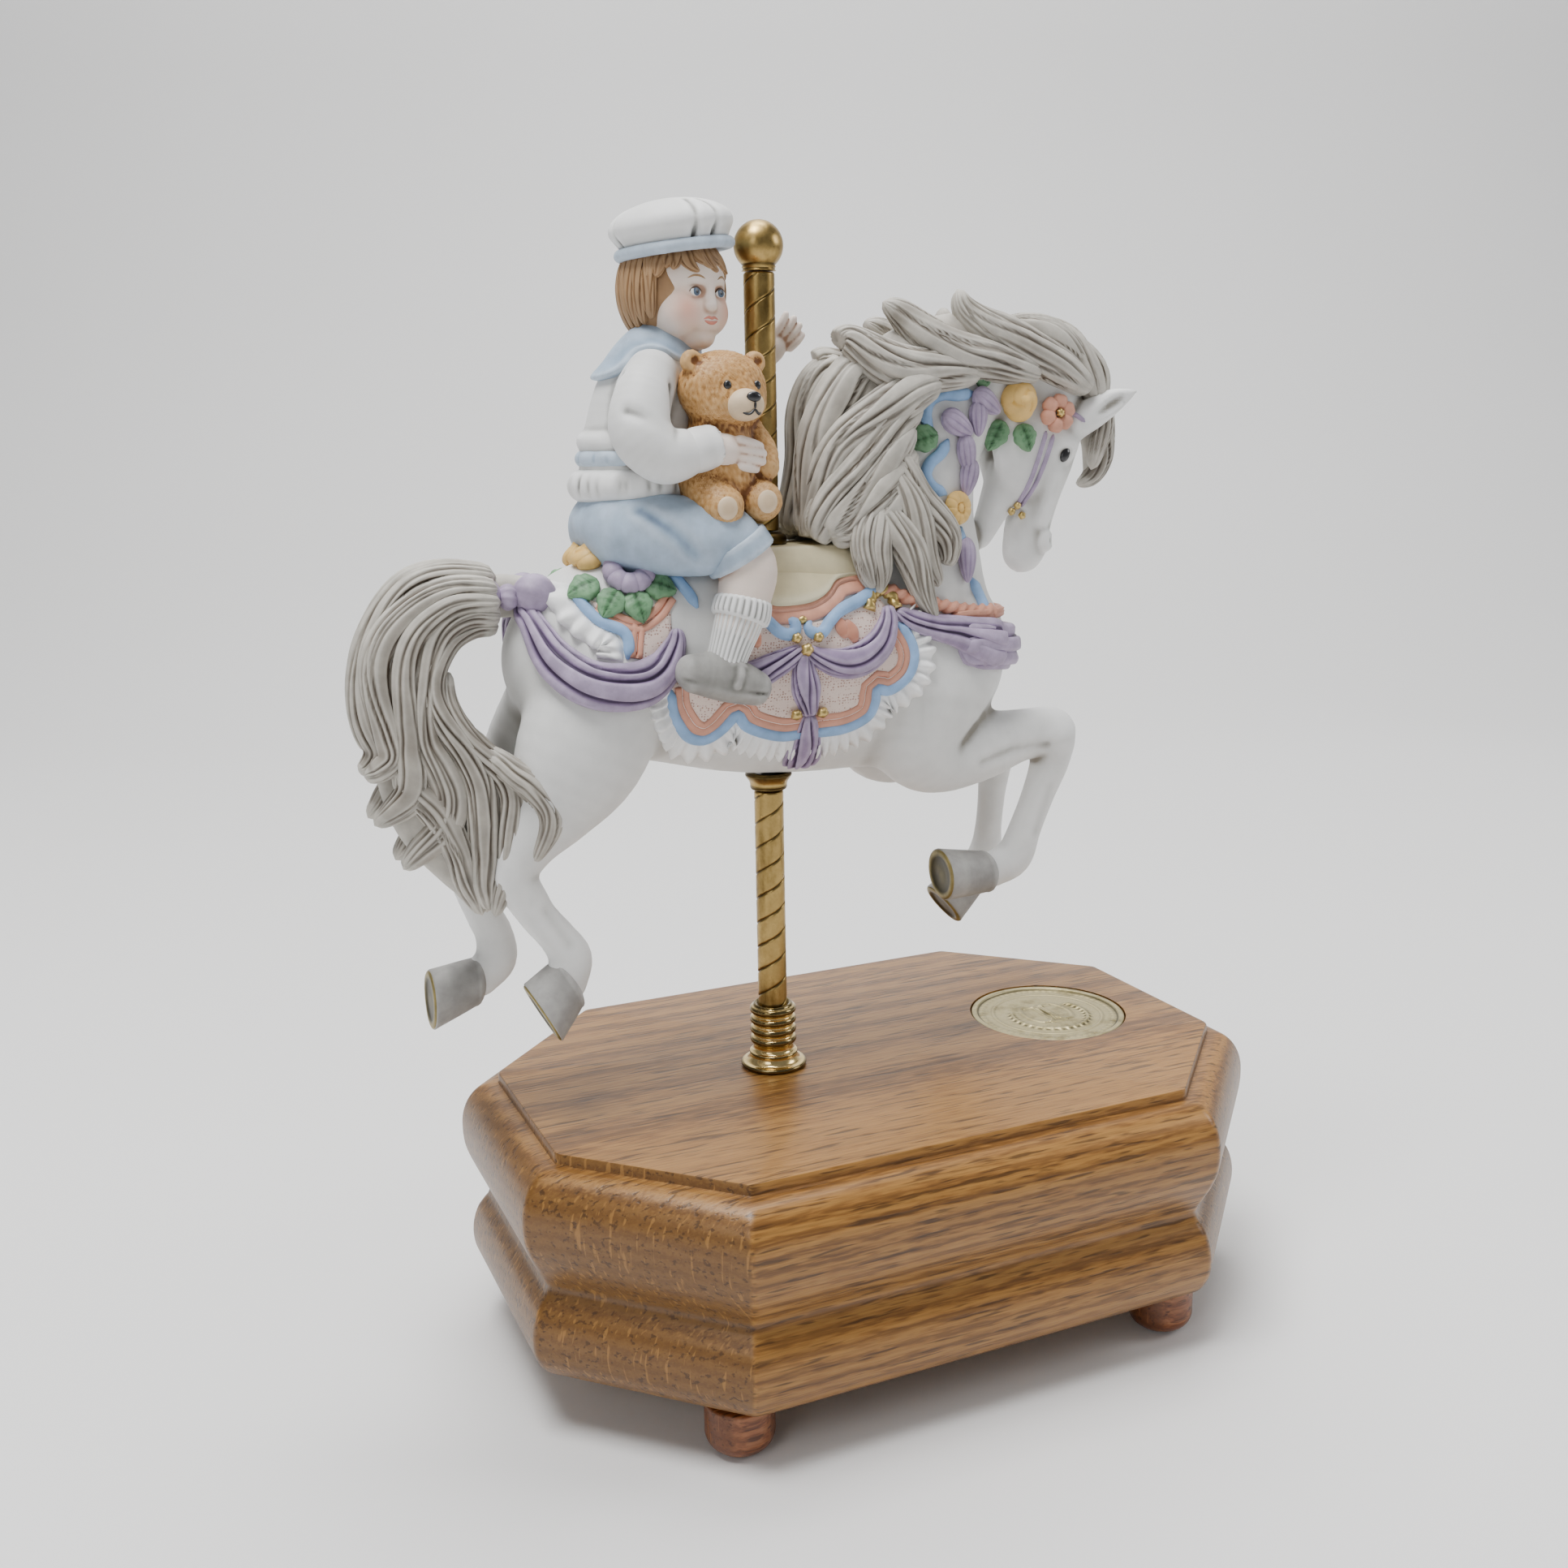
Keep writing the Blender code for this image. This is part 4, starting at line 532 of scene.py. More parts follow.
def leg_clay(clay, side):
    """One side's legs. The near pair is carried higher than the far pair."""
    y = 11 * side
    if side == NEAR:
        hind = [(-48, y * 0.85, 111, 17), (-55, y, 97, 16.5), (-62, y, 85, 11.5),
                (-69.5, y, 75.5, 7.6), (-73.3, y, 67, 5.6), (-69, y, 57, 4.8),
                (-63.5, y, 49.5, 4.8), (-60.5, y, 43.5, 5.6), (-62, y, 37.5, 5.6)]
        hock = (-74.5, y, 66.5, 3.4)
        fore = [(42, y * 0.9, 104, 16), (40, y, 91, 13), (47, y, 85.5, 10.2), (60, y, 86.8, 9.3),
                (73, y, 89, 7.4), (81.6, y, 88.2, 7.0), (82.8, y, 81.5, 6.0), (79.2, y, 72, 5.0),
                (74.8, y, 62, 4.9), (71, y, 54, 5.6), (64, y, 51, 5.2)]
        knee = (82.6, y, 88.6, 7.2)
    else:
        hind = [(-48, y * 0.85, 111, 17), (-58, y, 95, 15.5), (-68, y, 82, 10.5), (-76.5, y, 72, 7),
                (-79.5, y, 62, 5.4), (-77, y, 52, 4.8), (-74.5, y, 45.5, 5), (-74.5, y, 39, 5.6),
                (-79, y, 34.5, 5.2)]
        hock = (-81, y, 63, 3.2)
        fore = [(44, y * 0.9, 103, 15), (37, y, 90, 11.5), (43, y, 83, 8.8), (56, y, 83, 7),
                (72, y, 83.5, 5.8), (77.5, y, 78, 5.4), (77, y, 67, 4.3), (76, y, 57, 4.2),
                (75, y, 50, 5), (71, y, 44.5, 4.8)]
        knee = (77, y, 82, 5)
    clay.limb(hind, 0.78, 5)
    clay.limb([hock, (hock[0] + 4, y, hock[2] - 6, 3.4)], 0.8, 3)
    clay.limb(fore, 0.8, 5)
    clay.limb([knee, (knee[0] + 0.5, y, knee[2] - 5, 4.2)], 0.9, 3)


def head_clay(clay):
    clay.limb([(86, 0, 187, 8.5), (86, 0, 178, 11.8), (84.5, 0, 168, 11.4), (82.5, 0, 156, 8.6),
               (81, 0, 147, 7.2), (80, 0, 140.5, 6.8), (78.5, 0, 139, 5.2)], 0.62, 3)
    for side in SIDES:
        clay.egg((76.5, side * 4.4, 168), (9.8, 3.6, 12.5), 3, turn=(0, -12, 0))
        clay.egg((89, side * 5.6, 168.5), (4.4, 2.6, 4.4), 2.5)
        clay.egg((88.6, side * 8.1, 165.8), (3.0, 1.5, 2.3), 1.2, carve=True)
        clay.limb(beside(side, [(86, 3.8, 160, 2.4), (83, 4.2, 148, 1.8)]), 1, 3)
        clay.egg((84.4, side * 4.0, 142.2), (2.8, 2.2, 3.2), 1.6)
        clay.egg((85.8, side * 5.6, 142.4), (1.0, 1.5, 1.7), 0.8, carve=True)
    clay.limb([(75, 0, 160, 7), (71, 0, 153, 5.4), (67.6, 0, 146.8, 3.9), (66.2, 0, 143.6, 2.8)],
              0.85, 3)
    clay.limb([(68.6, 0, 139, 1.2), (72.2, 0, 146, 1.4), (75.4, 0, 151.4, 0.9)], 6, 1, carve=True)


def ear_clay(clay, side):
    if side == NEAR:
        line = [(93, -5, 174, 4.4), (98.5, -6.3, 177.4, 4.4), (104.5, -6.8, 180.4, 3.3),
                (111.2, -7, 182.8, 0.9)]
        hollow = [(97, -10.2, 176.6, 1.0), (102.5, -9.9, 179.4, 2.0), (108.5, -8.8, 182, 0.8)]
    else:
        line = [(88, 5, 177, 4.4), (92.5, 6.6, 181, 4.2), (97.5, 7.6, 184.4, 3.2),
                (103.5, 8, 187.2, 0.9)]
        hollow = [(92, 10.6, 180.6, 1.0), (96.5, 10.6, 183.6, 2.0), (101, 10, 186.4, 0.8)]
    clay.limb(line, 0.85, 1.5)
    clay.limb(hollow, 0.8, 0.7, carve=True)


def muscle_clay(clay, side):
    """Shoulder and breast, and the hollows between the muscles."""
    y = 11 * side
    clay.limb([(58, side * 7, 118, 9), (52, side * 9, 104, 9), (44, side * 10, 96, 6)], 1, 6)
    if side == NEAR:
        clay.limb([(56, y + side * 8.2, 84, 0.8), (66, y + side * 7.4, 86.5, 1.0),
                   (78, y + side * 6, 86.5, 0.5)], 1, 2, carve=True)
        clay.limb([(80.5, y + side * 4.4, 74, 0.5), (76, y + side * 4, 61, 0.6)], 1, 1.6,
                  carve=True)
        clay.limb([(-67, y + side * 4, 58, 0.7), (-61.5, y + side * 4.4, 48.5, 0.8)], 1, 1.8,
                  carve=True)
        clay.limb([(-52, y + side * 10.5, 78.5, 0.8), (-40, y + side * 11, 84, 0.6)], 1, 2.5,
                  carve=True)


def horse_clay():
    clay = Clay((-100, -27, 28), (118, 27, 204), STEP["horse"])
    for flat, soft, points in TRUNK:
        clay.limb(points, flat, soft)
    head_clay(clay)
    for side in SIDES:
        leg_clay(clay, side)
        ear_clay(clay, side)
        muscle_clay(clay, side)
    return clay


def clay_piece(name, clay, material, rounds=3, **kind):
    verts, faces = clay.skin()
    return piece(name, relax(verts, faces, rounds), faces, material, **kind)


BODY = clay_piece("horse_body", horse_clay(), WHITE)
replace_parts(BODY, "horse")
TO_FIGURE = FIGURE.inverted()


def surface_of(obj):
    """A piece's surface, in the figures' millimetres."""
    return BVHTree.FromPolygons([tuple(TO_FIGURE @ v.co) for v in obj.data.vertices],
                                [tuple(p.vertices) for p in obj.data.polygons])


SURFACE = surface_of(BODY)


def flank(x, z, side):
    """The horse's surface beside a place, and the way it faces."""
    hit, normal = SURFACE.ray_cast(Vector((x, side * 60, z)), Vector((0, -side, 0)))[:2]
    if hit is None or abs(hit.y) > 30 or hit.y * side < -4:
        hit, normal = SURFACE.find_nearest(Vector((x, side * 8, z)))[:2]
    return np.array(hit), np.array(normal)


def unit(vectors):
    vectors = np.asarray(vectors, float)
    return vectors / np.maximum(np.linalg.norm(vectors, axis=-1, keepdims=True), 1e-9)


class Mould:
    """Collects closed shapes for one piece."""

    def __init__(self):
        self.verts, self.faces, self.count = [], [], 0

    def add(self, verts, faces):
        self.verts.append(np.asarray(verts))
        self.faces += [tuple(i + self.count for i in f) for f in faces]
        self.count += len(verts)

    def tube(self, rings):
        """Joins rings of points, closed at both ends."""
        rings = np.asarray(rings)
        count, around = rings.shape[:2]
        verts = np.vstack([rings.reshape(-1, 3), rings[0].mean(0), rings[-1].mean(0)])
        faces = []
        for i in range(count - 1):
            for k in range(around):
                j = (k + 1) % around
                faces.append((i * around + k, i * around + j,
                              (i + 1) * around + j, (i + 1) * around + k))
        first, last = count * around, count * around + 1
        for k in range(around):
            j = (k + 1) % around
            faces.append((first, j, k))
            faces.append((last, (count - 1) * around + k, (count - 1) * around + j))
        local = verts - rings[0, 0]
        volume = sum(float(np.dot(np.cross(local[f[0]], local[f[1]]), local[f[2]]))
                     for f in faces[:: max(1, len(faces) // 400)])
        if volume < 0:
            faces = [tuple(reversed(f)) for f in faces]
        self.add(verts, faces)

    def lock(self, points, seed, ridges=9, outward=(0, -1, 0), depth=0.24, around=48, cuts=6,
             wave=0.0):
        """A carved lock, grooved along (x, y, z, half width, half thickness) points."""
        random = np.random.default_rng(seed)
        path = spline(points, cuts)
        centre = path[:, :3]
        along = unit(np.gradient(centre, axis=0))
        out = np.broadcast_to(np.asarray(outward, float), centre.shape)
        out = unit(out - np.sum(out * along, 1)[:, None] * along)
        across = np.cross(along, out)
        u = np.linspace(0, 1, len(path))[:, None]
        turn = circle(around)[None, :]
        groove = np.zeros((len(path), around))
        for start in circle(ridges) + random.uniform(-0.2, 0.2, ridges):
            drift = 0.3 * np.sin(random.uniform(2, 6) * u + random.uniform(0, 6))
            width = random.uniform(0.09, 0.15) * 9 / ridges
            gap = np.angle(np.exp(1j * (turn - start - drift)))
            groove = np.maximum(groove, random.uniform(0.55, 1.0) * ridge(gap, width))
        ends = np.clip(np.minimum(u, 1 - u) * len(path) / 2.5, 0, 1)
        ends = np.sqrt(1 - (1 - ends) ** 2) * 0.97 + 0.03
        scale = (1 - depth * groove) * ends
        sway = np.sin(np.linspace(0, len(path) / 4.2, len(path)) + random.uniform(0, 6))
        centre = centre + across * (wave * sway * np.sin(math.pi * u[:, 0]))[:, None]
        wide = path[:, 3:4] * np.cos(turn) * scale
        thick = path[:, 4:5] * np.sin(turn) * scale
        self.tube(centre[:, None] + across[:, None] * wide[..., None]
                  + out[:, None] * thick[..., None])

    def laid_lock(self, points, seed, side, ridges=4, lift=0.35, **style):
        """A lock that lies on the flank, through (x, z, half width, half thickness) points."""
        path = spline(points, 3)
        hits = [flank(p[0], p[1], side) for p in path]
        normal = unit(spread_along([n for _, n in hits], 3))
        centre = np.array([h + n * p[3] * lift for (h, _), n, p in zip(hits, normal, path)])
        self.lock(np.hstack([centre, path[:, 2:4]]), seed, ridges, spline(normal, 3), cuts=3,
                  **style)

    def band(self, line, side, section, gap=0.9, ease=0):
        """A strip on the flank, along (x, z) points. section gives its (across, height) outline."""
        path = even(spread_along(even(spline(line, 8), 0.6), ease), gap)
        step = np.gradient(path, axis=0)
        away = unit(np.stack([step[:, 1], -step[:, 0]], 1))
        rings = []
        travelled = np.concatenate([[0], np.cumsum(np.linalg.norm(np.diff(path, axis=0), axis=1))])
        for at, out, s in zip(path, away, travelled):
            ring = []
            for offset, height in section(s, travelled[-1]):
                hit, normal = flank(*(at + out * offset), side)
                ring.append(hit + normal * height)
            rings.append(ring)
        self.tube(rings)

    def pebble(self, centre, axes, radii, grooves=0, depth=0.12, swirl=0.0, pinch=0.0,
               steps=(16, 28)):
        """A lump: grooves run from pole to pole, swirl winds them, pinch narrows its foot."""
        rows, around = steps
        polar = np.linspace(0.06, np.pi - 0.06, rows)[:, None]
        turn = circle(around)[None, :]
        lobes = np.abs(np.cos(grooves / 2 * turn + swirl * polar))
        ripple = 1 - depth * lobes ** 6 if grooves else 1
        narrow = 1 - pinch * (1 - np.cos(polar)) / 2
        side = np.sin(polar) * ripple * narrow
        local = np.stack([radii[0] * side * np.cos(turn), radii[1] * side * np.sin(turn),
                          np.broadcast_to(radii[2] * np.cos(polar), (rows, around))], -1)
        self.tube(np.asarray(centre) + local @ np.asarray(axes))

    def done(self, name, material, **kind):
        return piece(name, np.vstack(self.verts), self.faces, material, **kind)


def spread_along(values, rounds):
    values = np.array(values, float)
    for _ in range(rounds):
        values[1:-1] = (values[:-2] + values[1:-1] + values[2:]) / 3
    return values


def even(path, gap):
    """The same path, with points at an even gap."""
    travelled = np.concatenate([[0], np.cumsum(np.linalg.norm(np.diff(path, axis=0), axis=1))])
    marks = np.linspace(0, travelled[-1], max(3, int(travelled[-1] / gap)))
    return np.stack([np.interp(marks, travelled, column) for column in path.T], 1)


def frame_at(x, z, side, heading):
    """Axes on the flank: heading in degrees from +X towards +Z, then across, then outward."""
    hit, normal = flank(x, z, side)
    turn = math.radians(heading)
    ahead = np.array([math.cos(turn), 0, math.sin(turn)])
    ahead = unit(ahead - normal * (ahead @ normal))
    return hit, np.array([ahead, np.cross(normal, ahead), normal])


# Locks of the mane and tail: (x, y, z, half width, half thickness). These hang on the near side,
# and mane() and tail() mirror most of them for the far side.
CREST_LOCKS = [
    [(97, -6, 183, 3, 4), (86, -7, 189.5, 5.2, 5), (74, -7, 193.8, 5.8, 5), (63, -7, 199, 5.2, 4.5),
     (57.5, -5, 204.5, 3.6, 3.5), (55.4, -4, 209.4, 1.4, 1.6)],
    [(80, -7, 187.5, 3.6, 4), (66, -8, 189.6, 5.2, 5), (54, -9, 192.6, 6, 5.5),
     (44, -8, 198, 5.5, 5), (37.5, -6, 202.5, 4, 3.5), (32.5, -5, 205.6, 1.6, 2)],
    [(60, -8, 187.5, 3.4, 4), (47, -10, 188, 5.4, 5), (35, -11, 189.4, 6.5, 5.5),
     (26, -9, 192.8, 5.4, 5), (20.5, -7, 195.8, 3.6, 3.8), (18.6, -7, 195.4, 2.6, 2.8)],
    [(99, -2, 182, 3, 3.5), (93, -4, 191, 4.5, 4.5), (84, -5, 196.5, 5, 5), (74, -4, 200, 3.5, 3.5),
     (70, -3, 202, 1.5, 2)],
    [(101, -4, 180, 3, 3), (97, -5, 188, 4.5, 4), (91, -4, 195, 4.5, 4), (84, -2, 200, 3, 3),
     (81, -2, 203, 1.2, 1.5)],
    [(103, -1, 180, 3, 3.5), (101.5, -1, 187, 4, 4), (95, 0, 194, 4, 4), (90, 1, 198, 2, 2)],
    [(98, 0, 186, 4, 5), (103, 0, 180, 4.5, 5), (105, -1, 173, 4, 5), (104.5, -1, 166, 3.5, 4.5),
     (101, -1, 160, 2.6, 3.6), (97, -1, 157, 1.2, 2)],
    [(97, -4, 184, 3, 3), (101.5, -5, 177, 3, 3), (101.5, -5, 169, 2.6, 3),
     (98.5, -5, 161.5, 1.6, 2)],
]
NECK_LOCKS = [
    [(27, -5, 190, 5, 5), (21, -6, 186, 6, 5.5), (16, -6, 177, 6, 5.5), (13.5, -5, 166, 5.5, 5.5),
     (11.5, -5, 155, 5, 5), (10.5, -5, 146.5, 4, 4.5)],
    [(46, -10, 185.5, 4, 4), (36, -13, 183, 6, 5), (26, -12, 176, 6.5, 5), (18, -10, 168, 6, 5),
     (14, -8, 158, 5.5, 5), (11, -7, 149, 4.5, 4.5), (10.5, -7, 146, 3, 3.5)],
    [(39.5, -12, 180, 3.5, 3.5), (32, -13, 175.5, 6, 4.5), (23, -13, 166, 6.5, 5),
     (16, -12, 157, 6, 5), (11.5, -11, 149, 5, 4.5), (9.5, -10, 146, 3, 3.5)],
    [(37, -12.5, 174.5, 3, 3.5), (30, -14, 168, 6, 4.5), (22, -14, 159, 6, 4.5),
     (15.5, -13, 151, 5.5, 4.5), (11.5, -12, 147, 3.5, 3.5)],
    [(38, -12.5, 168, 3, 3), (30, -14.5, 161, 5.5, 4.5), (23, -15, 153, 5.5, 4.5),
     (17.5, -14, 148.5, 4.5, 4), (12.5, -13, 147, 3, 3)],
    [(36, -13, 163, 3, 3), (29, -15.5, 156, 5, 4), (23, -15.5, 149.5, 4.5, 4),
     (18, -14.5, 147, 3, 3)],
]
HANGING_LOCKS = [
    [(30, -13, 169, 3, 3), (32.5, -14.5, 163.5, 4.4, 4), (36.5, -15, 157.5, 5, 4.5),
     (41.5, -15, 151.5, 5.2, 4.5), (45, -15, 145.5, 4.6, 4), (46, -15.5, 140, 3, 2.8),
     (45.5, -15.5, 138, 1.5, 1.6)],
    [(29, -14, 165, 3, 3), (32, -16, 158, 4.5, 4), (35.5, -17, 150, 5, 4), (39, -17, 142.5, 4, 3.6),
     (41.5, -17, 136, 2.6, 2.6), (42.5, -17, 132.5, 1, 1.2)],
    [(25.5, -14, 157, 2.5, 2.5), (28, -17, 150, 4.5, 4), (32, -18.5, 142.5, 5, 4),
     (36, -19, 135, 4, 3.4), (39, -19.5, 128, 2.4, 2.4), (40, -20, 123, 0.9, 1)],
    [(26, -14.5, 156, 2.5, 2.5), (22.5, -16.5, 149.5, 4, 3.6), (20.3, -17.5, 143, 4, 3.4),
     (21, -17.5, 137, 3, 2.8), (23.5, -17.5, 133, 1.2, 1.4)],
    [(26, -15, 156, 2.5, 2.5), (25.2, -18, 148, 3.6, 3.2), (24.4, -18.6, 141, 3.4, 3),
     (24, -18.8, 135, 2, 2), (24.3, -19, 132, 0.8, 1)],
]
TAIL_LOCKS = [
    [(-72, -2, 140, 3, 4), (-83, -2, 140.5, 4, 5), (-92, -2, 138.5, 4.5, 6),
     (-99, -2, 133.5, 4.5, 6), (-103.5, -2, 126, 4.5, 6), (-104.5, -2, 117, 4.5, 6),
     (-104, -2, 107, 4.5, 5.5), (-103.5, -3, 100, 4, 5), (-106, -3, 96.5, 2.6, 3.4),
     (-108, -3, 95.2, 1.6, 2)],
    [(-72, -5, 137, 3, 3.5), (-84, -6, 137.5, 4, 4), (-92, -6, 135, 4.5, 4.5),
     (-98, -6.5, 129.5, 4.5, 4.5), (-101.5, -7, 122, 4.5, 4.5), (-102.5, -7, 113, 4.5, 4.5),
     (-102, -7, 105, 4.5, 4.5), (-101, -7.5, 99, 4, 4), (-104, -7, 95.5, 3, 3.2),
     (-107.4, -6, 94.4, 1.4, 1.6)],
    [(-72, -6, 134, 3, 3.5), (-83, -7, 134.5, 4, 4), (-89.5, -7.5, 131, 4.2, 4.2),
     (-94.5, -8, 125, 4.2, 4.2), (-97.5, -8.5, 117, 4.2, 4.2), (-98, -8.5, 109, 4.2, 4.2),
     (-96.5, -8.5, 102, 4.2, 4.2), (-95.5, -9, 95.5, 4.5, 4.2), (-97, -8.5, 90, 4.5, 4.2),
     (-101.5, -7.5, 86, 3.4, 3.4), (-106, -6.5, 82.5, 1.6, 1.8)],
    [(-72, -5, 130.8, 3, 3.5), (-80.5, -6.5, 131.3, 3.6, 4), (-87.5, -7.5, 127.5, 4, 4),
     (-92, -8.5, 120, 4, 4), (-93.8, -9, 111.5, 4, 4), (-92.5, -9, 103.5, 4, 4),
     (-89.5, -9.5, 96, 4.5, 4.2), (-88.5, -9.5, 88.5, 4.8, 4.2), (-90.8, -9, 81, 4.6, 4),
     (-96, -8, 75, 3.4, 3.2), (-100, -7, 71, 1.6, 1.8)],
    [(-72.5, -4, 128, 2.5, 3), (-79.5, -5, 128.5, 3, 3.4), (-85.5, -6.5, 126.2, 3.2, 3.6),
     (-89, -8, 120.5, 3.4, 4), (-90, -9, 113.5, 3.6, 4), (-88, -9.5, 105.5, 4, 4),
     (-84.5, -10, 98, 4.2, 4), (-81, -10.5, 90.5, 4.4, 4), (-79.8, -10.5, 82.5, 4.4, 4),
     (-80.5, -10, 74, 4.2, 3.8), (-81.5, -9.5, 66, 3.6, 3.4), (-80, -9, 58.5, 1.8, 2)],
    [(-87.5, -6, 119, 2.5, 3), (-87.5, -8, 112, 3, 3.4), (-84.5, -9.5, 105, 3.4, 3.6),
     (-80, -10.5, 98, 3.8, 3.8), (-75.5, -11.5, 92, 4, 3.8), (-73, -12, 86, 4.2, 3.8),
     (-72.8, -12, 79, 4, 3.6), (-74.5, -11.5, 71, 3.6, 3.4), (-77.5, -11, 63, 2.6, 2.6),
     (-79, -10.5, 57, 1.2, 1.4)],
    [(-96, -6, 100, 3, 3.5), (-97, -8, 93, 4, 4), (-93, -9, 86, 4.5, 4), (-90, -9.5, 80, 4.5, 4),
     (-86, -9, 73, 4, 3.8), (-84, -8, 65, 3.4, 3.4), (-81.5, -7.5, 57, 1.6, 2)],
]
THIGH_LOCK = [(-80, -10, 99, 2.4, 2.6), (-74.5, -13.5, 95, 3.4, 3.4), (-69.5, -16, 91.5, 3.8, 3.4),
              (-66.8, -17, 86, 3.8, 3.2), (-66.5, -17, 80.5, 3.4, 3), (-68, -16, 74.5, 2.2, 2.4),
              (-69.5, -15, 71, 1, 1.2)]
MANE_CORE = [(102, 0, 160, 2.5), (102.5, 0, 172, 4.5), (98, 0, 187, 6), (88, -1, 193, 6.6),
             (72, -1, 195.4, 7.6), (54, -2, 194.4, 9), (38, -3, 186, 12), (27, -3, 170, 13),
             (23, -3, 154, 11), (21, -3, 148, 7)]
TAIL_CORE = [(-60, 0, 134, 5), (-72, 0, 135, 5.5), (-84, 0, 133.5, 6), (-93, 0, 127.5, 7.5),
             (-97, 0, 116, 8.5), (-96.5, 0, 105, 9), (-94, -1, 94, 10), (-91, -3, 83, 10),
             (-85, -5, 71, 7.5), (-80, -6, 60, 3)]


COMBED = {"depth": 0.2, "around": 84, "wave": 1.1}


def mirrored(lock, y=0.0, drop=0.0):
    """The same lock across the plane at y, let down a little."""
    return [(p[0], 2 * y - p[1], p[2] - drop, *p[3:]) for p in lock]


def mane():
    core = Clay((0, -16, 138), (112, 14, 208), STEP["core"])
    core.limb(MANE_CORE, 0.72, 2)
    clay_piece("mane_core", core, HAIR)
    near = CREST_LOCKS + NECK_LOCKS + HANGING_LOCKS
    far = [mirrored(lock, 0.0, 4) for lock in CREST_LOCKS[:3]]
    far += [mirrored(lock) for lock in NECK_LOCKS] + [mirrored(lock, 0.5, 2)
                                                      for lock in HANGING_LOCKS]
    for name, locks, seed, side in (("mane_near", near, 0, NEAR), ("mane_far", far, 40, FAR)):
        hair = Mould()
        for i, lock in enumerate(locks):
            hair.lock(lock, seed + i, 17, (0, side, 0), **COMBED)
        hair.done(name, HAIR)


def tail():
    core = Clay((-112, -14, 50), (-50, 12, 146), STEP["core"])
    core.limb(TAIL_CORE, 0.75, 2)
    core.limb([(-90, -3, 106, 5), (-81, -5, 95, 7), (-76, -7, 85, 6), (-77, -8, 72, 4)], 0.75, 2)
    clay_piece("tail_core", core, HAIR)
    far = [mirrored(lock, -2) for lock in TAIL_LOCKS[1:]]
    for name, locks, seed, side in (("tail_near", TAIL_LOCKS + [THIGH_LOCK], 70, NEAR),
                                    ("tail_far", far, 90, FAR)):
        hair = Mould()
        for i, lock in enumerate(locks):
            hair.lock(lock, seed + i, 16, (0, side, 0), **COMBED)
        hair.done(name, HAIR)


# Hooves: middle of the top edge and of the sole, the way the sole faces, half length, half width.
HOOVES = {
    "near_hind": ((-61, -11, 37.5), (-68.3, -11, 30.2), (-0.88, 0, -0.47), 9.0, 7.4),
    "far_hind": ((-79.5, 11, 33.8), (-92, 11, 30.4), (-1, 0, 0.02), 8.0, 7.0),
    "near_fore": ((62.3, -11, 50.6), (47.5, -11, 51.6), (-1, 0, -0.06), 7.4, 7.2),
    "far_fore": ((70.5, 11, 43.2), (61.0, 11, 35.3), (-0.8, 0, -0.6), 7.2, 6.8),
}


def hooves():
    for name, (top, sole, facing, long, wide) in HOOVES.items():
        facing = unit(np.array(facing))
        ahead = np.array([facing[2], 0, -facing[0]])
        across = np.array([0.0, 1.0, 0.0])
        top, sole = np.array(top, float), np.array(sole, float)
        turn = circle(40)

        def ring(centre, share, flare=1.0):
            bulge = 1 + 0.05 * np.cos(turn)
            return (centre + np.outer(np.cos(turn) * long * share * flare, ahead)
                    + np.outer(np.sin(turn) * wide * share * bulge, across))

        steps = [(-0.12, 0.50), (-0.05, 0.70), (0.0, 0.79), (0.05, 0.82), (0.10, 0.81), (0.3, 0.86),
                 (0.6, 0.92), (0.9, 0.98), (0.975, 1.0), (1.0, 0.985)]
        wall = Mould()
        wall.tube([ring(top + (sole - top) * t, share) for t, share in steps])
        wall.done(f"{name}_hoof", HOOF)
        plate = Mould()
        plate.tube([ring(sole + facing * lift, share) for lift, share in
                    ((-0.6, 0.95), (0.25, 0.96), (0.5, 0.9), (0.5, 0.74), (0.2, 0.68), (0.2, 0.3))])
        plate.done(f"{name}_sole", SOLE)


mane()
tail()
hooves()

# ---- The trappings ------------------------------------------------------------------------
# Lines on the flank are (x, z) points, and are laid on the horse on both sides.

BORDER = [(28.5, 124.5), (31.5, 120), (32.6, 115.5), (31.2, 111), (28, 108.2), (24.6, 107),
          (21.4, 107.8), (21.2, 104.6), (20, 101), (16.5, 98.8), (12.5, 97.7), (9, 97.5),
          (0.8, 97.4), (-4.3, 97.3), (-9.8, 98.8), (-14.4, 101), (-16.9, 104.2), (-18.6, 102.6),
          (-21, 99.8), (-24.5, 97.8), (-28.6, 99), (-31.7, 102.6), (-34, 107), (-34.6, 112)]
SADDLE_EDGE = [(21.8, 137.2), (20.2, 136.2), (17, 136.2), (12.8, 135.2), (9.6, 132.6), (6.2, 131),
               (2.4, 130.2), (-3, 130), (-6.4, 130.4), (-9, 132.4), (-12, 133.4)]
SCROLLS = [
    [(3.6, 126.4), (2.4, 124.8), (3.6, 123.2), (6.2, 123.2), (8.6, 125.6), (12.2, 128.2),
     (17.4, 130), (21.4, 131.6), (23.6, 133.2), (23.2, 135), (21.4, 134.6)],
    [(-3.4, 126.8), (-1.4, 126.2), (-1.2, 124.2), (-3, 123.2), (-5.8, 124.2), (-8.6, 127),
     (-11.6, 129.6), (-16, 131.6)],
]
RUMP_BORDER = [(-54.2, 138), (-54.6, 136), (-54, 133.4), (-50.6, 129), (-45.6, 126.6),
               (-44.6, 123.6), (-45.6, 120)]
CHEST_ROPE = [(26.5, 132.8), (29.2, 131.6), (33.5, 129.8), (40.8, 128), (48.8, 126.2), (56, 125),
              (61, 124.6)]


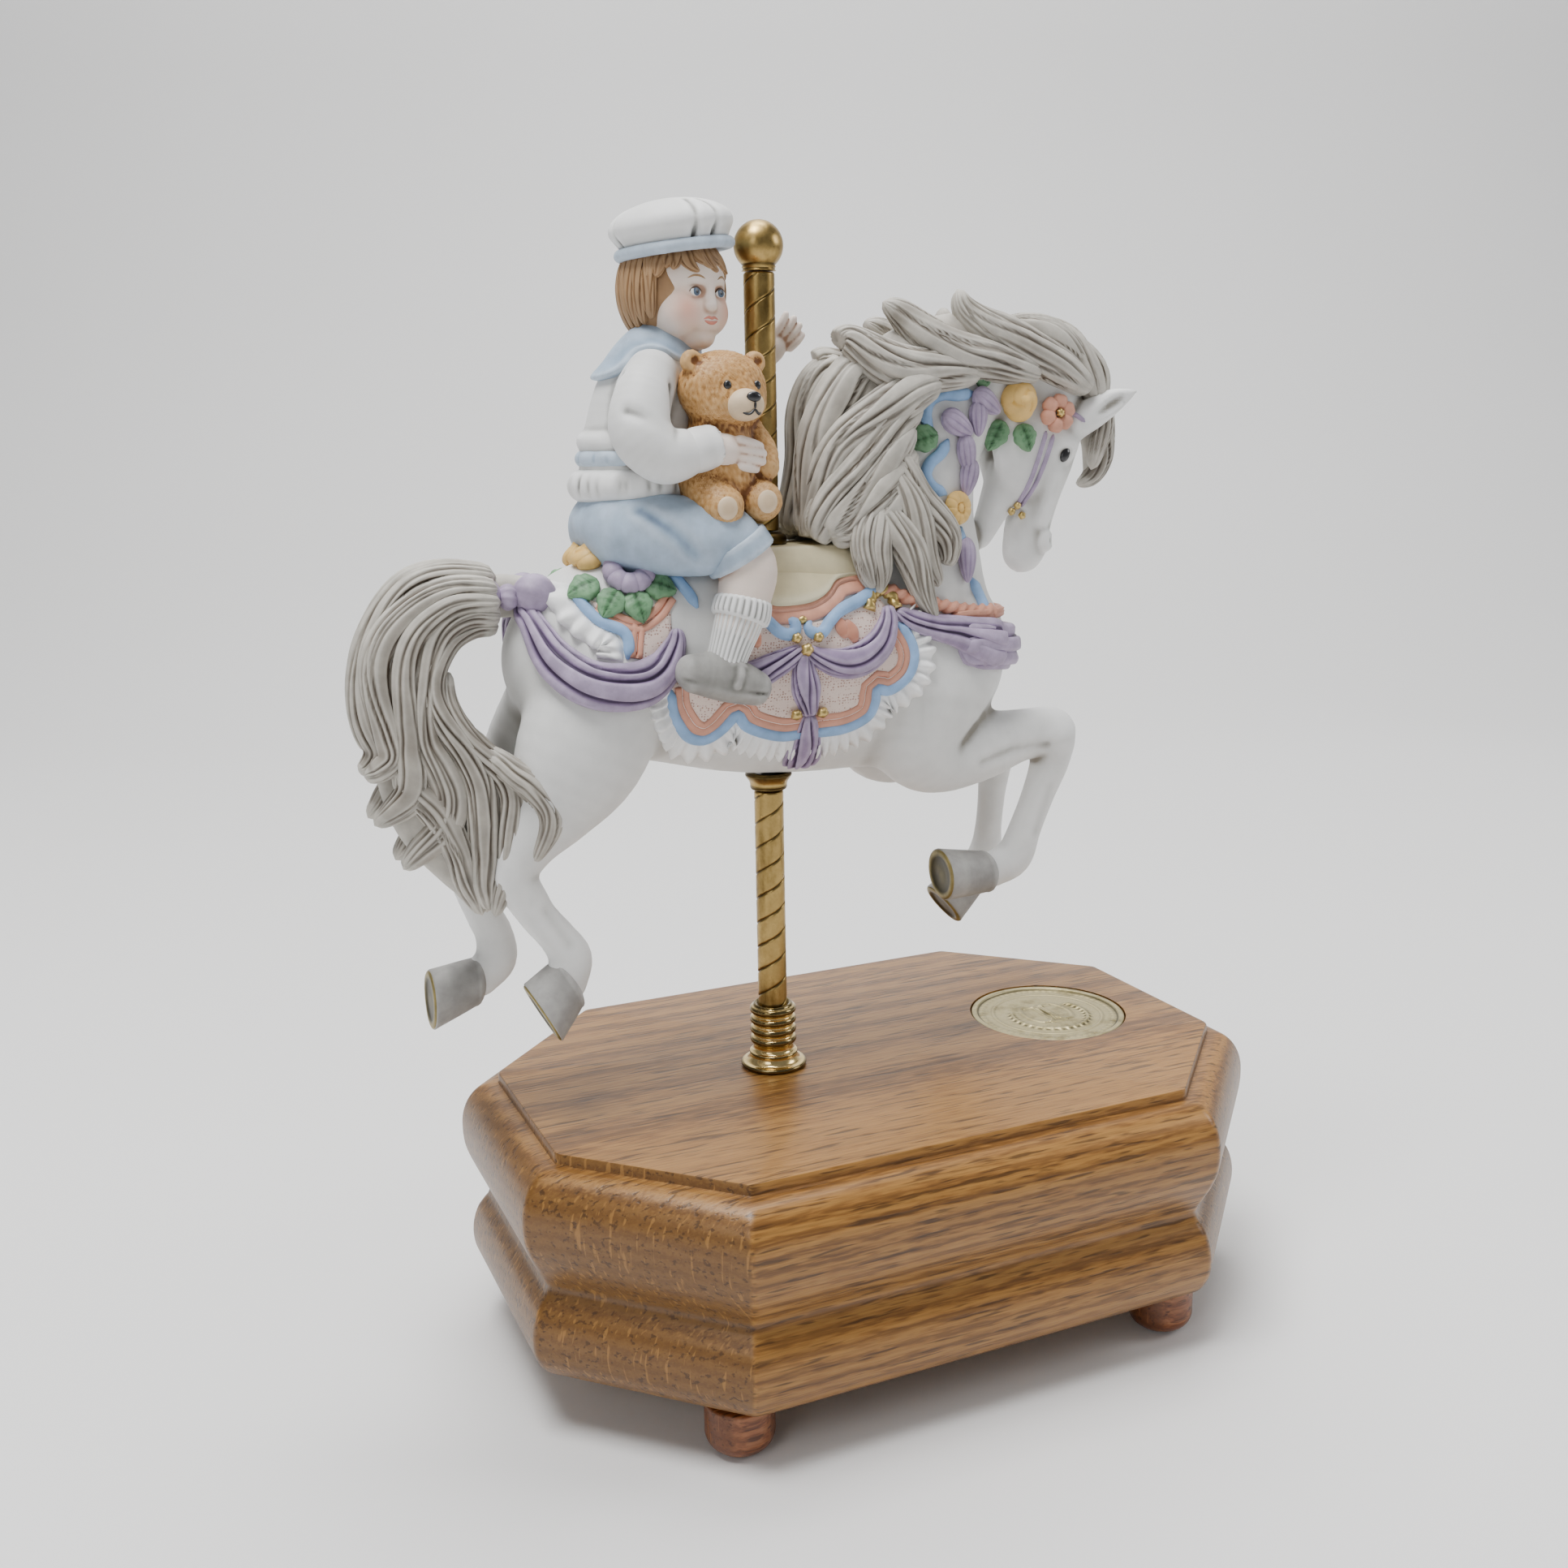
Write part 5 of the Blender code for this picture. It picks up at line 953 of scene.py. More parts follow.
def rib(height, width):
    """A rounded raised line."""
    turns = np.radians(np.arange(0, 181, 30))
    top = [(width / 2 * math.cos(t), height * (0.25 + 0.75 * math.sin(t))) for t in turns]
    outline = top + [(-width / 2, -0.6), (width / 2, -0.6)]

    def section(s, length):
        share = min(1.0, 0.25 + min(s, length - s) / width)
        return [(a * share, h * (share if h > 0 else 1)) for a, h in outline]
    return section


def grooved(inner, outer, height, line):
    """A flat raised band between two offsets, with a carved line along it."""
    cut_at = inner + (outer - inner) * line
    outline = [(outer, -0.5), (outer, height * 0.7), (outer + (inner - outer) * 0.12, height),
               (cut_at + 0.45, height), (cut_at, height * 0.35), (cut_at - 0.45, height),
               (inner - (inner - outer) * 0.12, height), (inner, height * 0.7), (inner, -0.5)]
    return lambda s, length: outline


def pleats(start, width, pitch=2.3, height=2.1):
    """A gathered frill: folds that open out towards its edge."""
    def section(s, length):
        fold = 0.5 + 0.5 * math.cos(2 * math.pi * s / pitch + 0.5 * math.sin(s * 0.9))
        wide = width * (0.93 + 0.07 * fold)
        lift = [0.2, 0.6 + 0.3 * fold, 0.35 + 1.0 * fold * height, 0.15 + 0.85 * fold * height]
        top = [(start + wide * t, h) for t, h in zip((0, 0.33, 0.7, 0.97), lift)]
        return top + [(start + wide * 0.96, -0.3), (start + wide * 0.6, -0.6), (start, -0.6)]
    return section


def twisted(radius, pitch=3.2):
    """A rope of two strands, half sunk in the surface."""
    turns = np.radians(np.arange(0, 360, 20))

    def section(s, length):
        wave = 1 + 0.2 * np.cos(2 * turns - 2 * np.pi * s / pitch)
        return [(radius * w * math.cos(t), radius * (0.35 + w * math.sin(t)))
                for w, t in zip(wave, turns)]
    return section


def field(mould, upper, lower, side, height, rows=14, columns=44):
    """A thin slab that fills the flank between two lines."""
    top, bottom = even(spline(upper, 6), 0.5), even(spline(lower, 6), 0.5)
    marks = np.linspace(0, 1, columns)
    top = np.stack([np.interp(marks, np.linspace(0, 1, len(top)), c) for c in top.T], 1)
    bottom = np.stack([np.interp(marks, np.linspace(0, 1, len(bottom)), c) for c in bottom.T], 1)
    rings = []
    for a, b in zip(top, bottom):
        line = [flank(*(a + (b - a) * t), side) for t in np.linspace(0, 1, rows)]
        outer = [hit + normal * height for hit, normal in line]
        inner = [hit - normal * 0.7 for hit, normal in reversed(line)]
        rings.append(outer + inner)
    mould.tube(rings)


SEAT_TOP, SEAT_BORE = 144.6, 4.6


def saddle_block():
    """The cream pommel that the pole comes out of."""
    clay = Clay((-22, -22, 122), (34, 22, 149), STEP["pommel"])
    clay.limb([(-17, 0, 131, 10), (-8, 0, 132.5, 11), (4, 0, 133.5, 11), (14, 0, 133.5, 11),
               (21, 0, 131, 9.5)],
              1.45, 3)
    for y in (-8.5, 8.5):
        clay.limb([(-6, y, 140.5, 4), (4, y, 141, 4), (16, y, 140.6, 4), (21, y, 137.5, 4)], 1, 5)
    clay.limb([(-6, 0, 141, 4), (18, 0, 141, 4)], 2.6, 5)
    x, y, z = clay.everywhere()
    clay.field = np.maximum(clay.field, z - SEAT_TOP)
    clay.field = np.maximum(clay.field, SEAT_BORE - np.sqrt(x * x + y * y))
    clay_piece("saddle_pommel", clay, CREAM, 2)


def saddle_cloth():
    names = ("saddle_field", "coral_scallops", "blue_scallops", "frill", "coral_saddle_edge",
             "blue_scrolls", "saddle_skirt")
    moulds = {name: Mould() for name in names}
    for side in SIDES:
        upper = [(24, 131), (14, 128.5), (6, 126), (-2, 126), (-10, 127), (-20, 124), (-30, 116)]
        field(moulds["saddle_field"], upper, BORDER, side, 0.45)
        moulds["coral_scallops"].band(BORDER, side, grooved(1.0, 4.8, 0.85, 0.55))
        moulds["blue_scallops"].band(BORDER, side, rib(1.7, 2.9))
        moulds["frill"].band(BORDER, side, pleats(1.2, -8.2), 0.3, 45)
        moulds["coral_saddle_edge"].band(SADDLE_EDGE, side, grooved(0.3, -4.2, 0.9, 0.3))
        field(moulds["saddle_skirt"], [(x, 141.2) for x in (22.5, 16, 9, 2, -5, -11)],
              SADDLE_EDGE[:-1], side, 1.5)
        for line in SCROLLS:
            moulds["blue_scrolls"].band(line, side, rib(2.2, 3.1), 0.7)
        for line in (RUMP_BORDER, [(-33, 141.5), (-30.5, 139), (-27.6, 134.5), (-26, 131)]):
            moulds["blue_scallops"].band(line, side, rib(1.6, 2.8))
        moulds["frill"].band([(x - 1.8, z - 0.4) for x, z in RUMP_BORDER], side,
                             pleats(-0.6, 6.6, 3.0), 0.35, 30)
        field(moulds["saddle_field"], [(-52, 134), (-46, 131), (-40, 129), (-33, 131)],
              [(-50, 130), (-44, 126), (-42, 119), (-34, 121)], side, 0.4, 8, 20)
        rump_arch = [(-51, 132), (-46.5, 129.2), (-41.5, 127.6), (-36.5, 130), (-32.5, 134)]
        moulds["coral_scallops"].band(rump_arch, side, grooved(-1.8, 1.8, 0.9, 0.5))
        moulds["coral_scallops"].band([(-41.5, 127.6), (-42.6, 123.6), (-43.4, 120)], side,
                                      grooved(-1.6, 1.6, 0.9, 0.5))
        for x, z in ((-12.5, 123.5), (11.8, 124.2), (14.6, 123)):
            drop = [(x - 1.2, z + 3, 0.8, 0.7), (x, z, 2.2, 1.1), (x + 1, z - 3, 0.8, 0.7)]
            moulds["coral_scallops"].laid_lock(drop, 7, side, 2)
    finish = {"saddle_field": DOTTED, "coral_scallops": CORAL, "blue_scallops": BLUE,
              "frill": RUFFLE, "coral_saddle_edge": CORAL, "blue_scrolls": BLUE,
              "saddle_skirt": CREAM}
    for name, mould in moulds.items():
        mould.done(name, finish[name])


# Draped cloth: (x, z, half width, half thickness).
SWAGS = [
    [(0.8, 119.5, 1.6, 1.6), (5, 117, 2.8, 2.2), (11, 115.2, 4.0, 2.6), (17, 116, 4.4, 2.8),
     (22.5, 119.5, 4.0, 2.6), (25.6, 124.5, 2.8, 2.2), (26.4, 128.5, 1.6, 1.6)],
    [(0.4, 119.6, 1.6, 1.6), (-3.6, 117.6, 2.8, 2.2), (-8.5, 115.6, 3.6, 2.4),
     (-14, 113.6, 4.0, 2.5), (-20, 114, 3.6, 2.4), (-26, 117, 2.6, 2)],
    [(0.6, 119, 1.5, 1.6), (0.2, 114.5, 3.2, 2.2), (1, 109.5, 4.0, 2.4), (2, 105, 2.8, 2),
     (2.6, 102.6, 2.0, 1.8)],
    [(2.6, 102.8, 1.8, 1.6), (2.6, 98.5, 3.2, 2), (3.0, 94, 4.4, 2), (3.4, 90.2, 5.2, 1.9),
     (3.8, 87.6, 4.6, 1.5)],
    [(28.4, 127, 1.6, 1.6), (33, 124.4, 3.0, 2.2), (39.5, 122.2, 3.6, 2.6), (46, 120.6, 4.6, 3.0),
     (52, 118.4, 6.0, 3.6), (57.5, 116.8, 7.0, 3.8), (61.5, 116.6, 6.2, 3.2)],
    [(-66.5, 133.5, 2.2, 1.6), (-64.5, 127, 3.8, 2.6), (-61.5, 120, 5.2, 3.2), (-56, 115, 5.8, 3.6),
     (-49, 113.6, 6.0, 3.8), (-42, 114.2, 5.8, 3.6), (-36.5, 117.4, 4.8, 3), (-33, 122.6, 3, 2.2),
     (-32, 126.5, 1.4, 1.4)],
]


FOLDS = 7
FOLDED = {"depth": 0.42, "around": 56}
CHEST_BACK, CHEST_LONG, CHEST_WIDE = 45, 22, 17


def round_chest(mould, height, sag, half_wide, half_thick, seed, **style):
    """A lock laid round the front of the chest, from flank to flank."""
    turns = np.radians(np.linspace(-88, 88, 13))
    hits, normals = [], []
    for a in turns:
        guess = Vector((CHEST_BACK + CHEST_LONG * math.cos(a), CHEST_WIDE * math.sin(a),
                        height - sag * math.cos(a) ** 2))
        hit, normal = SURFACE.find_nearest(guess)[:2]
        hits.append((hit.x, hit.y, guess.z))
        normals.append((normal.x, normal.y, 0))
    normals = unit(spread_along(unit(normals), 3))
    centre = np.array(hits) + normals * half_thick * 0.35
    size = np.tile([half_wide, half_thick], (len(turns), 1))
    mould.lock(np.hstack([centre, size]), seed, FOLDS, spline(normals, 3), cuts=3, **style)


def drapery():
    cloth = Mould()
    for side in SIDES:
        for i, line in enumerate(SWAGS):
            cloth.laid_lock(line, 120 + i, side, FOLDS, **FOLDED)
    round_chest(cloth, 116.8, 3.0, 6.4, 3.4, 140, **FOLDED)
    cloth.done("lavender_drapes", LAVENDER)
    bow = Mould()
    near_lobe, far_lobe = (np.array(euler((lean, 70, 10)).to_3x3()) for lean in (20, -20))
    for place, radius in (((-76.4, -3.2, 135.6), 5.0), ((-63.4, -5.2, 135.4), 5.2)):
        bow.pebble(place, near_lobe, (radius, radius, radius * 1.05), 7, 0.10, 0.6)
    knot = np.array(euler((0, 90, 0)).to_3x3()).T
    bow.pebble((-69.9, -4.4, 135), knot, (3.3, 3.6, 2.6), 8, 0.18, 1.0)
    for place, radius in (((-76.4, 3.2, 135.6), 4.6), ((-63.4, 5.2, 135.4), 4.8)):
        bow.pebble(place, far_lobe, (radius, radius, radius), 7, 0.10, 0.6)
    bow.done("tail_bow", LAVENDER)


def ornaments():
    """Gold beads, the knot and the crescent that the drapes hang from."""
    gold, ropes = Mould(), Mould()
    for side in SIDES:
        for x, z, radius in ((-1.6, 122.2, 1.5), (4.4, 122, 1.5), (0.9, 119.2, 1.9),
                             (-1.6, 103.4, 1.6), (5.6, 103.4, 1.6)):
            hit, axes = frame_at(x, z, side, 30)
            radii = (radius, radius * 0.9, radius * 0.85)
            gold.pebble(hit + axes[2] * 1.9, axes, radii, 5, 0.2, 0, 0, (10, 20))
        gold.band([(-0.6, 127), (1.2, 126.6), (3, 127)], side, rib(1.6, 2.2), 0.6)
        gold.band([(20.6, 127.8), (22, 131), (25, 132.6), (28, 131), (28.8, 127.6)], side,
                  twisted(1.5, 2.4), 0.5)
        ropes.band(CHEST_ROPE, side, twisted(1.6), 0.4)
    round_chest(ropes, 124.8, 0.8, 1.7, 1.9, 141, depth=0.3, around=24)
    gold.done("gold_ornaments", GOLD)
    ropes.done("chest_rope", CORAL)


def petal_flower(mould, x, z, side, size, petals, lift=1.0):
    """Rounded petals round a middle, each with a crease."""
    hit, axes = frame_at(x, z, side, 0)
    centre = hit + axes[2] * lift
    for i in range(petals):
        turn = 2 * math.pi * i / petals + 0.3
        ahead = axes[0] * math.cos(turn) + axes[1] * math.sin(turn)
        across = np.cross(axes[2], ahead)
        petal = np.array([ahead, across, axes[2]])
        radii = (size * 0.48, size * 0.40, size * 0.36)
        mould.pebble(centre + ahead * size * 0.56, petal, radii, 2, 0.22, 0, 0, (10, 18))
    return centre, axes


def tassel(mould, x, z, side, heading, long, wide):
    """A ribbed shell of gathered ribbon, its point at the back."""
    hit, axes = frame_at(x, z, side, heading)
    shell = np.array([axes[1], axes[2], axes[0]])
    radii = (wide, wide * 0.72, long)
    mould.pebble(hit + axes[2] * wide * 0.35, shell, radii, 9, 0.2, 0.15, 0.45, (18, 36))


def leaf(mould, x, z, side, heading, long, wide, lift=1.0):
    """A pointed, toothed leaf with a midrib and side veins."""
    hit, axes = frame_at(x, z, side, heading)
    rings = []
    for t in np.linspace(0.02, 1, 22):
        teeth = 1 + 0.14 * abs(math.sin(9 * t))
        half = wide / 2 * math.sin(math.pi * t ** 0.8) ** 0.75 * teeth + 0.12
        top = []
        for v in np.linspace(-1, 1, 13):
            side_vein = max(0.0, math.cos(26 * (t - abs(v) * 0.14))) ** 4
            vein = 0.32 * math.exp(-(v / 0.12) ** 2) + 0.2 * side_vein
            height = lift + 1.0 * math.sin(math.pi * t) - 0.5 * v * v - vein
            top.append(hit + axes[0] * (t - 0.4) * long + axes[1] * v * half + axes[2] * height)
        bottom = [p - axes[2] * (1.2 + height) for p in (top[-1], top[0])]
        rings.append(top + bottom)
    mould.tube(rings)


def rose(mould, x, z, side, size, lift=1.6):
    """Petals wrapped round each other."""
    hit, axes = frame_at(x, z, side, 20)
    centre = hit + axes[2] * lift
    mould.pebble(centre, axes, (size, size * 0.92, size * 0.7), 3, 0.16, 2.4, 0, (24, 40))
    for i, turn in enumerate((0.4, 2.3, 4.4)):
        ahead = axes[0] * math.cos(turn) + axes[1] * math.sin(turn)
        petal = np.array([ahead, np.cross(axes[2], ahead), axes[2]])
        outer = (size * 0.62, size * 0.8, size * 0.5)
        mould.pebble(centre + ahead * size * 0.42, petal, outer, 2, 0.08, 0.8, 0, (12, 24))
        inner = (size * 0.5 - 0.25 * i, size * 0.44 - 0.22 * i, size * 0.34 + 0.25 * i)
        mould.pebble(centre + axes[2] * size * 0.42, petal, inner, 3, 0.22, 1.6, 0, (10, 24))


# Tassels and leaves: (x, z, heading in degrees, length, width).
TASSELS = [(61.4, 180.2, 150, 5.4, 4.0), (58.6, 176, 95, 4.8, 3.6), (51.6, 174.4, 150, 5.4, 4.2),
           (54.6, 166.6, 105, 5.6, 3.8), (55.4, 160.6, 75, 5.2, 4.0), (53.4, 138.6, 80, 6.2, 3.8)]
NECK_LEAVES = [(67.2, 172.2, -120, 9, 6), (74.2, 171.4, -70, 8, 5.6), (42.6, 171, 195, 9, 6.4),
               (61, 186.4, 120, 6.5, 4.6)]
RUMP_LEAVES = [(-52, 136.6, 200), (-47, 133.4, 240), (-41, 132.6, 280), (-35.4, 136.4, 330)]
RIBBONS = [
    [(58, 182.6), (53, 182), (48.4, 182.2), (44.6, 180.2), (43.2, 176), (44.8, 173)],
    [(49.4, 170.6), (46.8, 167), (43.6, 164.6), (42.2, 161.4), (44.2, 158.2), (48.6, 156.4)],
    [(53.4, 147.6), (52.6, 144.4), (53, 142)],
    [(55.6, 134), (57.4, 130), (58.4, 126.4), (58.6, 123.4)],
]


def garland():
    """Flowers, tassels and ribbon from the brow down the neck, and on the rump."""
    coral, yellow, green, lavender, blue, gold = (Mould() for _ in range(6))
    for side in SIDES:
        centre, axes = petal_flower(coral, 84.8, 177, side, 5.6, 6)
        gold.pebble(centre + axes[2] * 1.4, axes, (1.3, 1.3, 1.1), 6, 0.3, 0, 0, (8, 18))
        rose(yellow, 72.6, 180.4, side, 5.4)
        for x, z, heading, long, wide in NECK_LEAVES:
            leaf(green, x, z, side, heading, long, wide)
        for x, z, heading, long, wide in TASSELS:
            tassel(lavender, x, z, side, heading, long, wide)
        centre, axes = petal_flower(yellow, 51.8, 152.6, side, 4.8, 10, 0.8)
        yellow.pebble(centre + axes[2] * 0.9, axes, (1.5, 1.5, 0.9), 8, 0.25, 0, 0, (8, 18))
        for line in RIBBONS:
            blue.band(line, side, rib(1.7, 3.2), 0.8)
        rose(yellow, -48.6, 142.4, side, 4.6, 1.2)
        for x, z, heading in RUMP_LEAVES:
            leaf(green, x, z, side, heading, 8.6, 6.2, 1.5)
        petal_flower(lavender, -41.2, 139.4, side, 7.0, 9, 1.4)
    for name, mould, material in (("coral_flowers", coral, CORAL),
                                  ("yellow_flowers", yellow, YELLOW), ("leaves", green, GREEN),
                                  ("lavender_tassels", lavender, LAVENDER),
                                  ("blue_ribbons", blue, BLUE), ("flower_centres", gold, GOLD)):
        mould.done(name, material)


def bridle():
    straps, gold, eyes = Mould(), Mould(), Mould()
    for side in SIDES:
        for line in ([(81.6, 172.4), (79.4, 166), (76.9, 158.6), (74.7, 152)],
                     [(84, 171.4), (81.6, 164.6), (78.8, 157.6), (76, 151.6)],
                     [(88, 178.4), (91, 176.6), (93.4, 174.6)]):
            straps.band(line, side, rib(0.75, 1.3), 0.7)
        for x, z in ((73.6, 149.6), (75.2, 150.6), (76.8, 149.6)):
            hit, axes = frame_at(x, z, side, 0)
            gold.pebble(hit + axes[2] * 0.8, axes, (1.15, 1.15, 0.95), 5, 0.2, 0, 0, (8, 16))
        hit, axes = frame_at(88.4, 165.8, side, 62)
        eyes.pebble(hit + axes[2] * 0.15, axes, (2.1, 1.45, 1.0), 0)
    straps.done("bridle_straps", LAVENDER)
    gold.done("bit_rosettes", GOLD)
    eyes.done("horse_eyes", EYE)


saddle_block()
saddle_cloth()
drapery()
ornaments()
garland()
bridle()

# ---- The rider ----------------------------------------------------------------------------

HEAD_AT, HEAD_TURN = (-22.5, 0.0, 206.2), -66
SKULL_MIDDLE, SKULL_SIZE = (-1.0, 0, 1.5), (13.3, 12.9, 14.2)
HAT_MIDDLE, HAT_TILT = (-23.3, 0, 222.8), -7


RIDER = {"slot": "rider_bisque"}


def rider_piece(name, clay, material):
    return clay_piece(name, clay, material, 2, **RIDER)


def placed(origin, turn):
    """Maps a figure's own places (ahead, left, up) to the horse's frame."""
    c, s = math.cos(math.radians(turn)), math.sin(math.radians(turn))

    def at(point):
        x, y, z = point[:3]
        return (origin[0] + x * c - y * s, origin[1] + x * s + y * c, origin[2] + z, *point[3:])
    return at


head = placed(HEAD_AT, HEAD_TURN)


def skin_head():
    clay = Clay((-40, -18, 186), (-2, 17, 222), STEP["skin"])

    def egg(centre, radii, soft=2.0, carve=False, lean=0):
        clay.egg(head(centre), radii, soft, carve, (0, lean, HEAD_TURN))
    egg((-0.6, 0, 2.4), (12.0, 11.4, 11.6))
    egg((2.4, 0, -3.6), (9.6, 9.6, 9.0), 3)
    egg((5.4, 0, 4.2), (6.9, 8.6, 7.2), 3)
    for side in SIDES:
        egg((6.6, side * 5.0, -4.4), (4.5, 4.5, 4.4), 2.6)
        egg((12.3, side * 4.2, 0.5), (1.7, 2.6, 1.4), 1.8, True)
        egg((9.9, side * 4.2, 0.3), (1.5, 2.2, 1.5), 0.6)
        egg((11.5, side * 1.1, -2.9), (0.9, 0.7, 0.65), 0.7)
    egg((8.0, 0, -10.2), (3.4, 3.8, 2.8), 2.2)
    egg((10.0, 0, -6.4), (1.9, 3.2, 1.7), 1.8)
    bridge = ((10.9, 0, 2.4, 0.6), (11.6, 0, -0.4, 0.75), (12.3, 0, -2.5, 1.05))
    clay.limb([head(p) for p in bridge], 1, 1.8)
    clay.limb([(-25.5, 0, 186, 7.6), (-24.5, 0, 192, 6.4), (-22.8, 0, 199, 6.6)], 1, 3)
    face = rider_piece("rider_face", clay, SKIN)
    co = places(face.data)
    home = np.array([tuple(FIGURE @ Vector(head((9.6, side * 6.2, -3.6)))) for side in SIDES])
    near = np.min([np.linalg.norm(co - h, axis=1) for h in home], 0) / MM
    mark(face.data, "blush", np.clip(1.15 - near / 5.2, 0, 1) ** 1.3)
    return face


def on_face(tree, y, z):
    """The face's surface ahead of a place, with axes to the left, up and outward."""
    away = Vector(head((40, y, z))) - Vector(head((0, y, z)))
    hit, normal = tree.ray_cast(Vector(head((40, y, z))), -away.normalized())[:2]
    out = np.array(normal)
    up = unit(np.array([0, 0, 1.0]) - out * out[2])
    return np.array(hit), np.array([np.cross(up, out), up, out])


# The lid's and the brow's line, as (left, up) places on the face.
LASH = [(2.3, 0.3), (3.2, 1.05), (4.2, 1.3), (5.2, 1.0), (6.1, 0.2)]
BROW = [(2.0, 3.2), (3.4, 3.9), (5.0, 4.0), (6.5, 3.3)]


def features(face):
    """Calm eyes, brows and a closed mouth, on the usual thirds of a face."""
    tree = surface_of(face)
    white, iris, pupil, line, brow, lips = (Mould() for _ in range(6))

    def stroke(mould, points, wide, high):
        hits = [on_face(tree, y, z) for y, z in points]
        taper = np.sin(np.linspace(0.35, np.pi - 0.35, len(hits)))
        path = [(*(h + a[2] * high * 0.3), wide * t, high * t) for (h, a), t in zip(hits, taper)]
        mould.lock(path, 3, 3, hits[len(hits) // 2][1][2], 0.04, 16, 4)
    for side in SIDES:
        hit, axes = on_face(tree, side * 4.2, 0.3)
        white.pebble(hit - axes[2] * 0.18, axes, (1.75, 1.0, 0.42))
        iris.pebble(hit + axes[2] * 0.08, axes, (1.15, 1.0, 0.26))
        pupil.pebble(hit + axes[2] * 0.2, axes, (0.54, 0.54, 0.18))
        stroke(line, [(side * y, z) for y, z in LASH], 0.3, 0.34)
        stroke(brow, [(side * y, z) for y, z in BROW], 0.28, 0.14)
    stroke(lips, [(-2.6, -6.1), (-1.1, -5.6), (0, -5.8), (1.1, -5.6), (2.6, -6.1)], 0.38, 0.2)
    stroke(lips, [(-2.3, -6.35), (-1.0, -6.8), (0, -6.9), (1.0, -6.8), (2.3, -6.35)], 0.46, 0.24)
    for name, mould, material in (("rider_eyes", white, WHITE), ("rider_irises", iris, IRIS),
                                  ("rider_pupils", pupil, EYE), ("rider_lashes", line, BROWN),
                                  ("rider_brows", brow, HAIR_BROWN), ("rider_lips", lips, LIPS)):
        mould.done(name, material, **RIDER)


def scalp(around, z, out=0.0):
    """A place on the hair: degrees from the face, and height."""
    x0, y0, z0 = SKULL_MIDDLE
    share = math.sqrt(max(0.0, 1 - ((z - z0) / SKULL_SIZE[2]) ** 2))
    turn = math.radians(around)
    long, wide = SKULL_SIZE[0] * share + out, SKULL_SIZE[1] * share + out
    return x0 + long * math.cos(turn), y0 + wide * math.sin(turn), z


def rider_hair():
    cap = Clay((-41, -19, 188), (-2, 19, 224), STEP["hair"])
    cap.egg(head(SKULL_MIDDLE), [s - 0.5 for s in SKULL_SIZE], turn=(0, 0, HEAD_TURN))
    cap.egg(head((13.0, 0, -8.5)), (12.4, 10.9, 12.6), 1, True, (0, 0, HEAD_TURN))
    cap.egg(head((2, 0, -17)), (14, 14, 7.5), 1, True, (0, 0, HEAD_TURN))
    rider_piece("rider_hair_cap", cap, HAIR_BROWN)
    hair = Mould()
    for i, around in enumerate(range(66, 295, 13)):
        low = -7.2 + 4.4 * math.cos(math.radians(around))
        line = [(*head(scalp(around + 1.5 * math.sin(3 * t), 11 + (low - 11) * t, 0.1)), w, 1.1)
                for t, w in zip(np.linspace(0, 1, 7), (1.8, 2.0, 2.2, 2.2, 2.0, 1.6, 0.7))]
        out = [c - o for c, o in zip(head(scalp(around, 0)), head(SKULL_MIDDLE))]
        hair.lock(line, 200 + i, 8, out, 0.3, 44, 5)
    for i, around in enumerate(range(-68, 67, 9)):
        drift = 17 if around > -40 else -4
        fall = 6.4 + 1.1 * math.sin(i * 2.1) + 2.6 * abs(around / 68) ** 3
        line = [(*head(scalp(around + drift * t ** 2.4, 11.5 - fall * (t - 0.12 * t ** 4), 0.25)),
                 w, 1.0)
                for t, w in zip(np.linspace(0, 1, 8), (1.7, 2.0, 2.1, 2.1, 1.9, 1.6, 1.1, 0.3))]
        out = [c - o for c, o in zip(head(scalp(around, 4)), head(SKULL_MIDDLE))]
        hair.lock(line, 230 + i, 7, out, 0.3, 40, 5)
    hair.done("rider_hair", HAIR_BROWN, **RIDER)


def hat():
    puff = Clay((-42, -19, 213), (-4, 19, 232), STEP["cloth"])
    puff.egg(HAT_MIDDLE, (15.5, 15.3, 6.4), turn=(0, HAT_TILT, 0))
    puff.egg((HAT_MIDDLE[0] + 0.6, 0, HAT_MIDDLE[2] - 3), (13.6, 13.4, 4.4), 1.5,
             turn=(0, HAT_TILT, 0))
    for around in (-86, -62, 40, 84, 128, 180):
        ahead, left = math.cos(math.radians(around)), math.sin(math.radians(around))
        line = []
        for rise, radius in ((-42, 0.35), (-20, 0.55), (5, 0.55), (32, 0.4), (55, 0.1)):
            r, z = 15.4 * math.cos(math.radians(rise)), 6.4 * math.sin(math.radians(rise))
            line.append((HAT_MIDDLE[0] + r * ahead, r * left,
                         HAT_MIDDLE[2] + z + r * ahead * 0.12, radius))
        puff.limb(line, 1, 1.6, True)
    rider_piece("rider_hat", puff, WARM_WHITE)
    band = Clay((-42, -19, 211), (-4, 19, 225), STEP["cloth"])
    ring = []
    for around in range(0, 375, 15):
        turn = math.radians(around)
        ahead, left = 13.5 * math.cos(turn), 13.3 * math.sin(turn)
        ring.append((HAT_MIDDLE[0] + 0.8 + ahead, left, HAT_MIDDLE[2] - 5.4 + ahead * 0.13, 1.55))
    band.limb(ring, 1, 0.5)
    rider_piece("hat_band", band, BOY_BLUE)


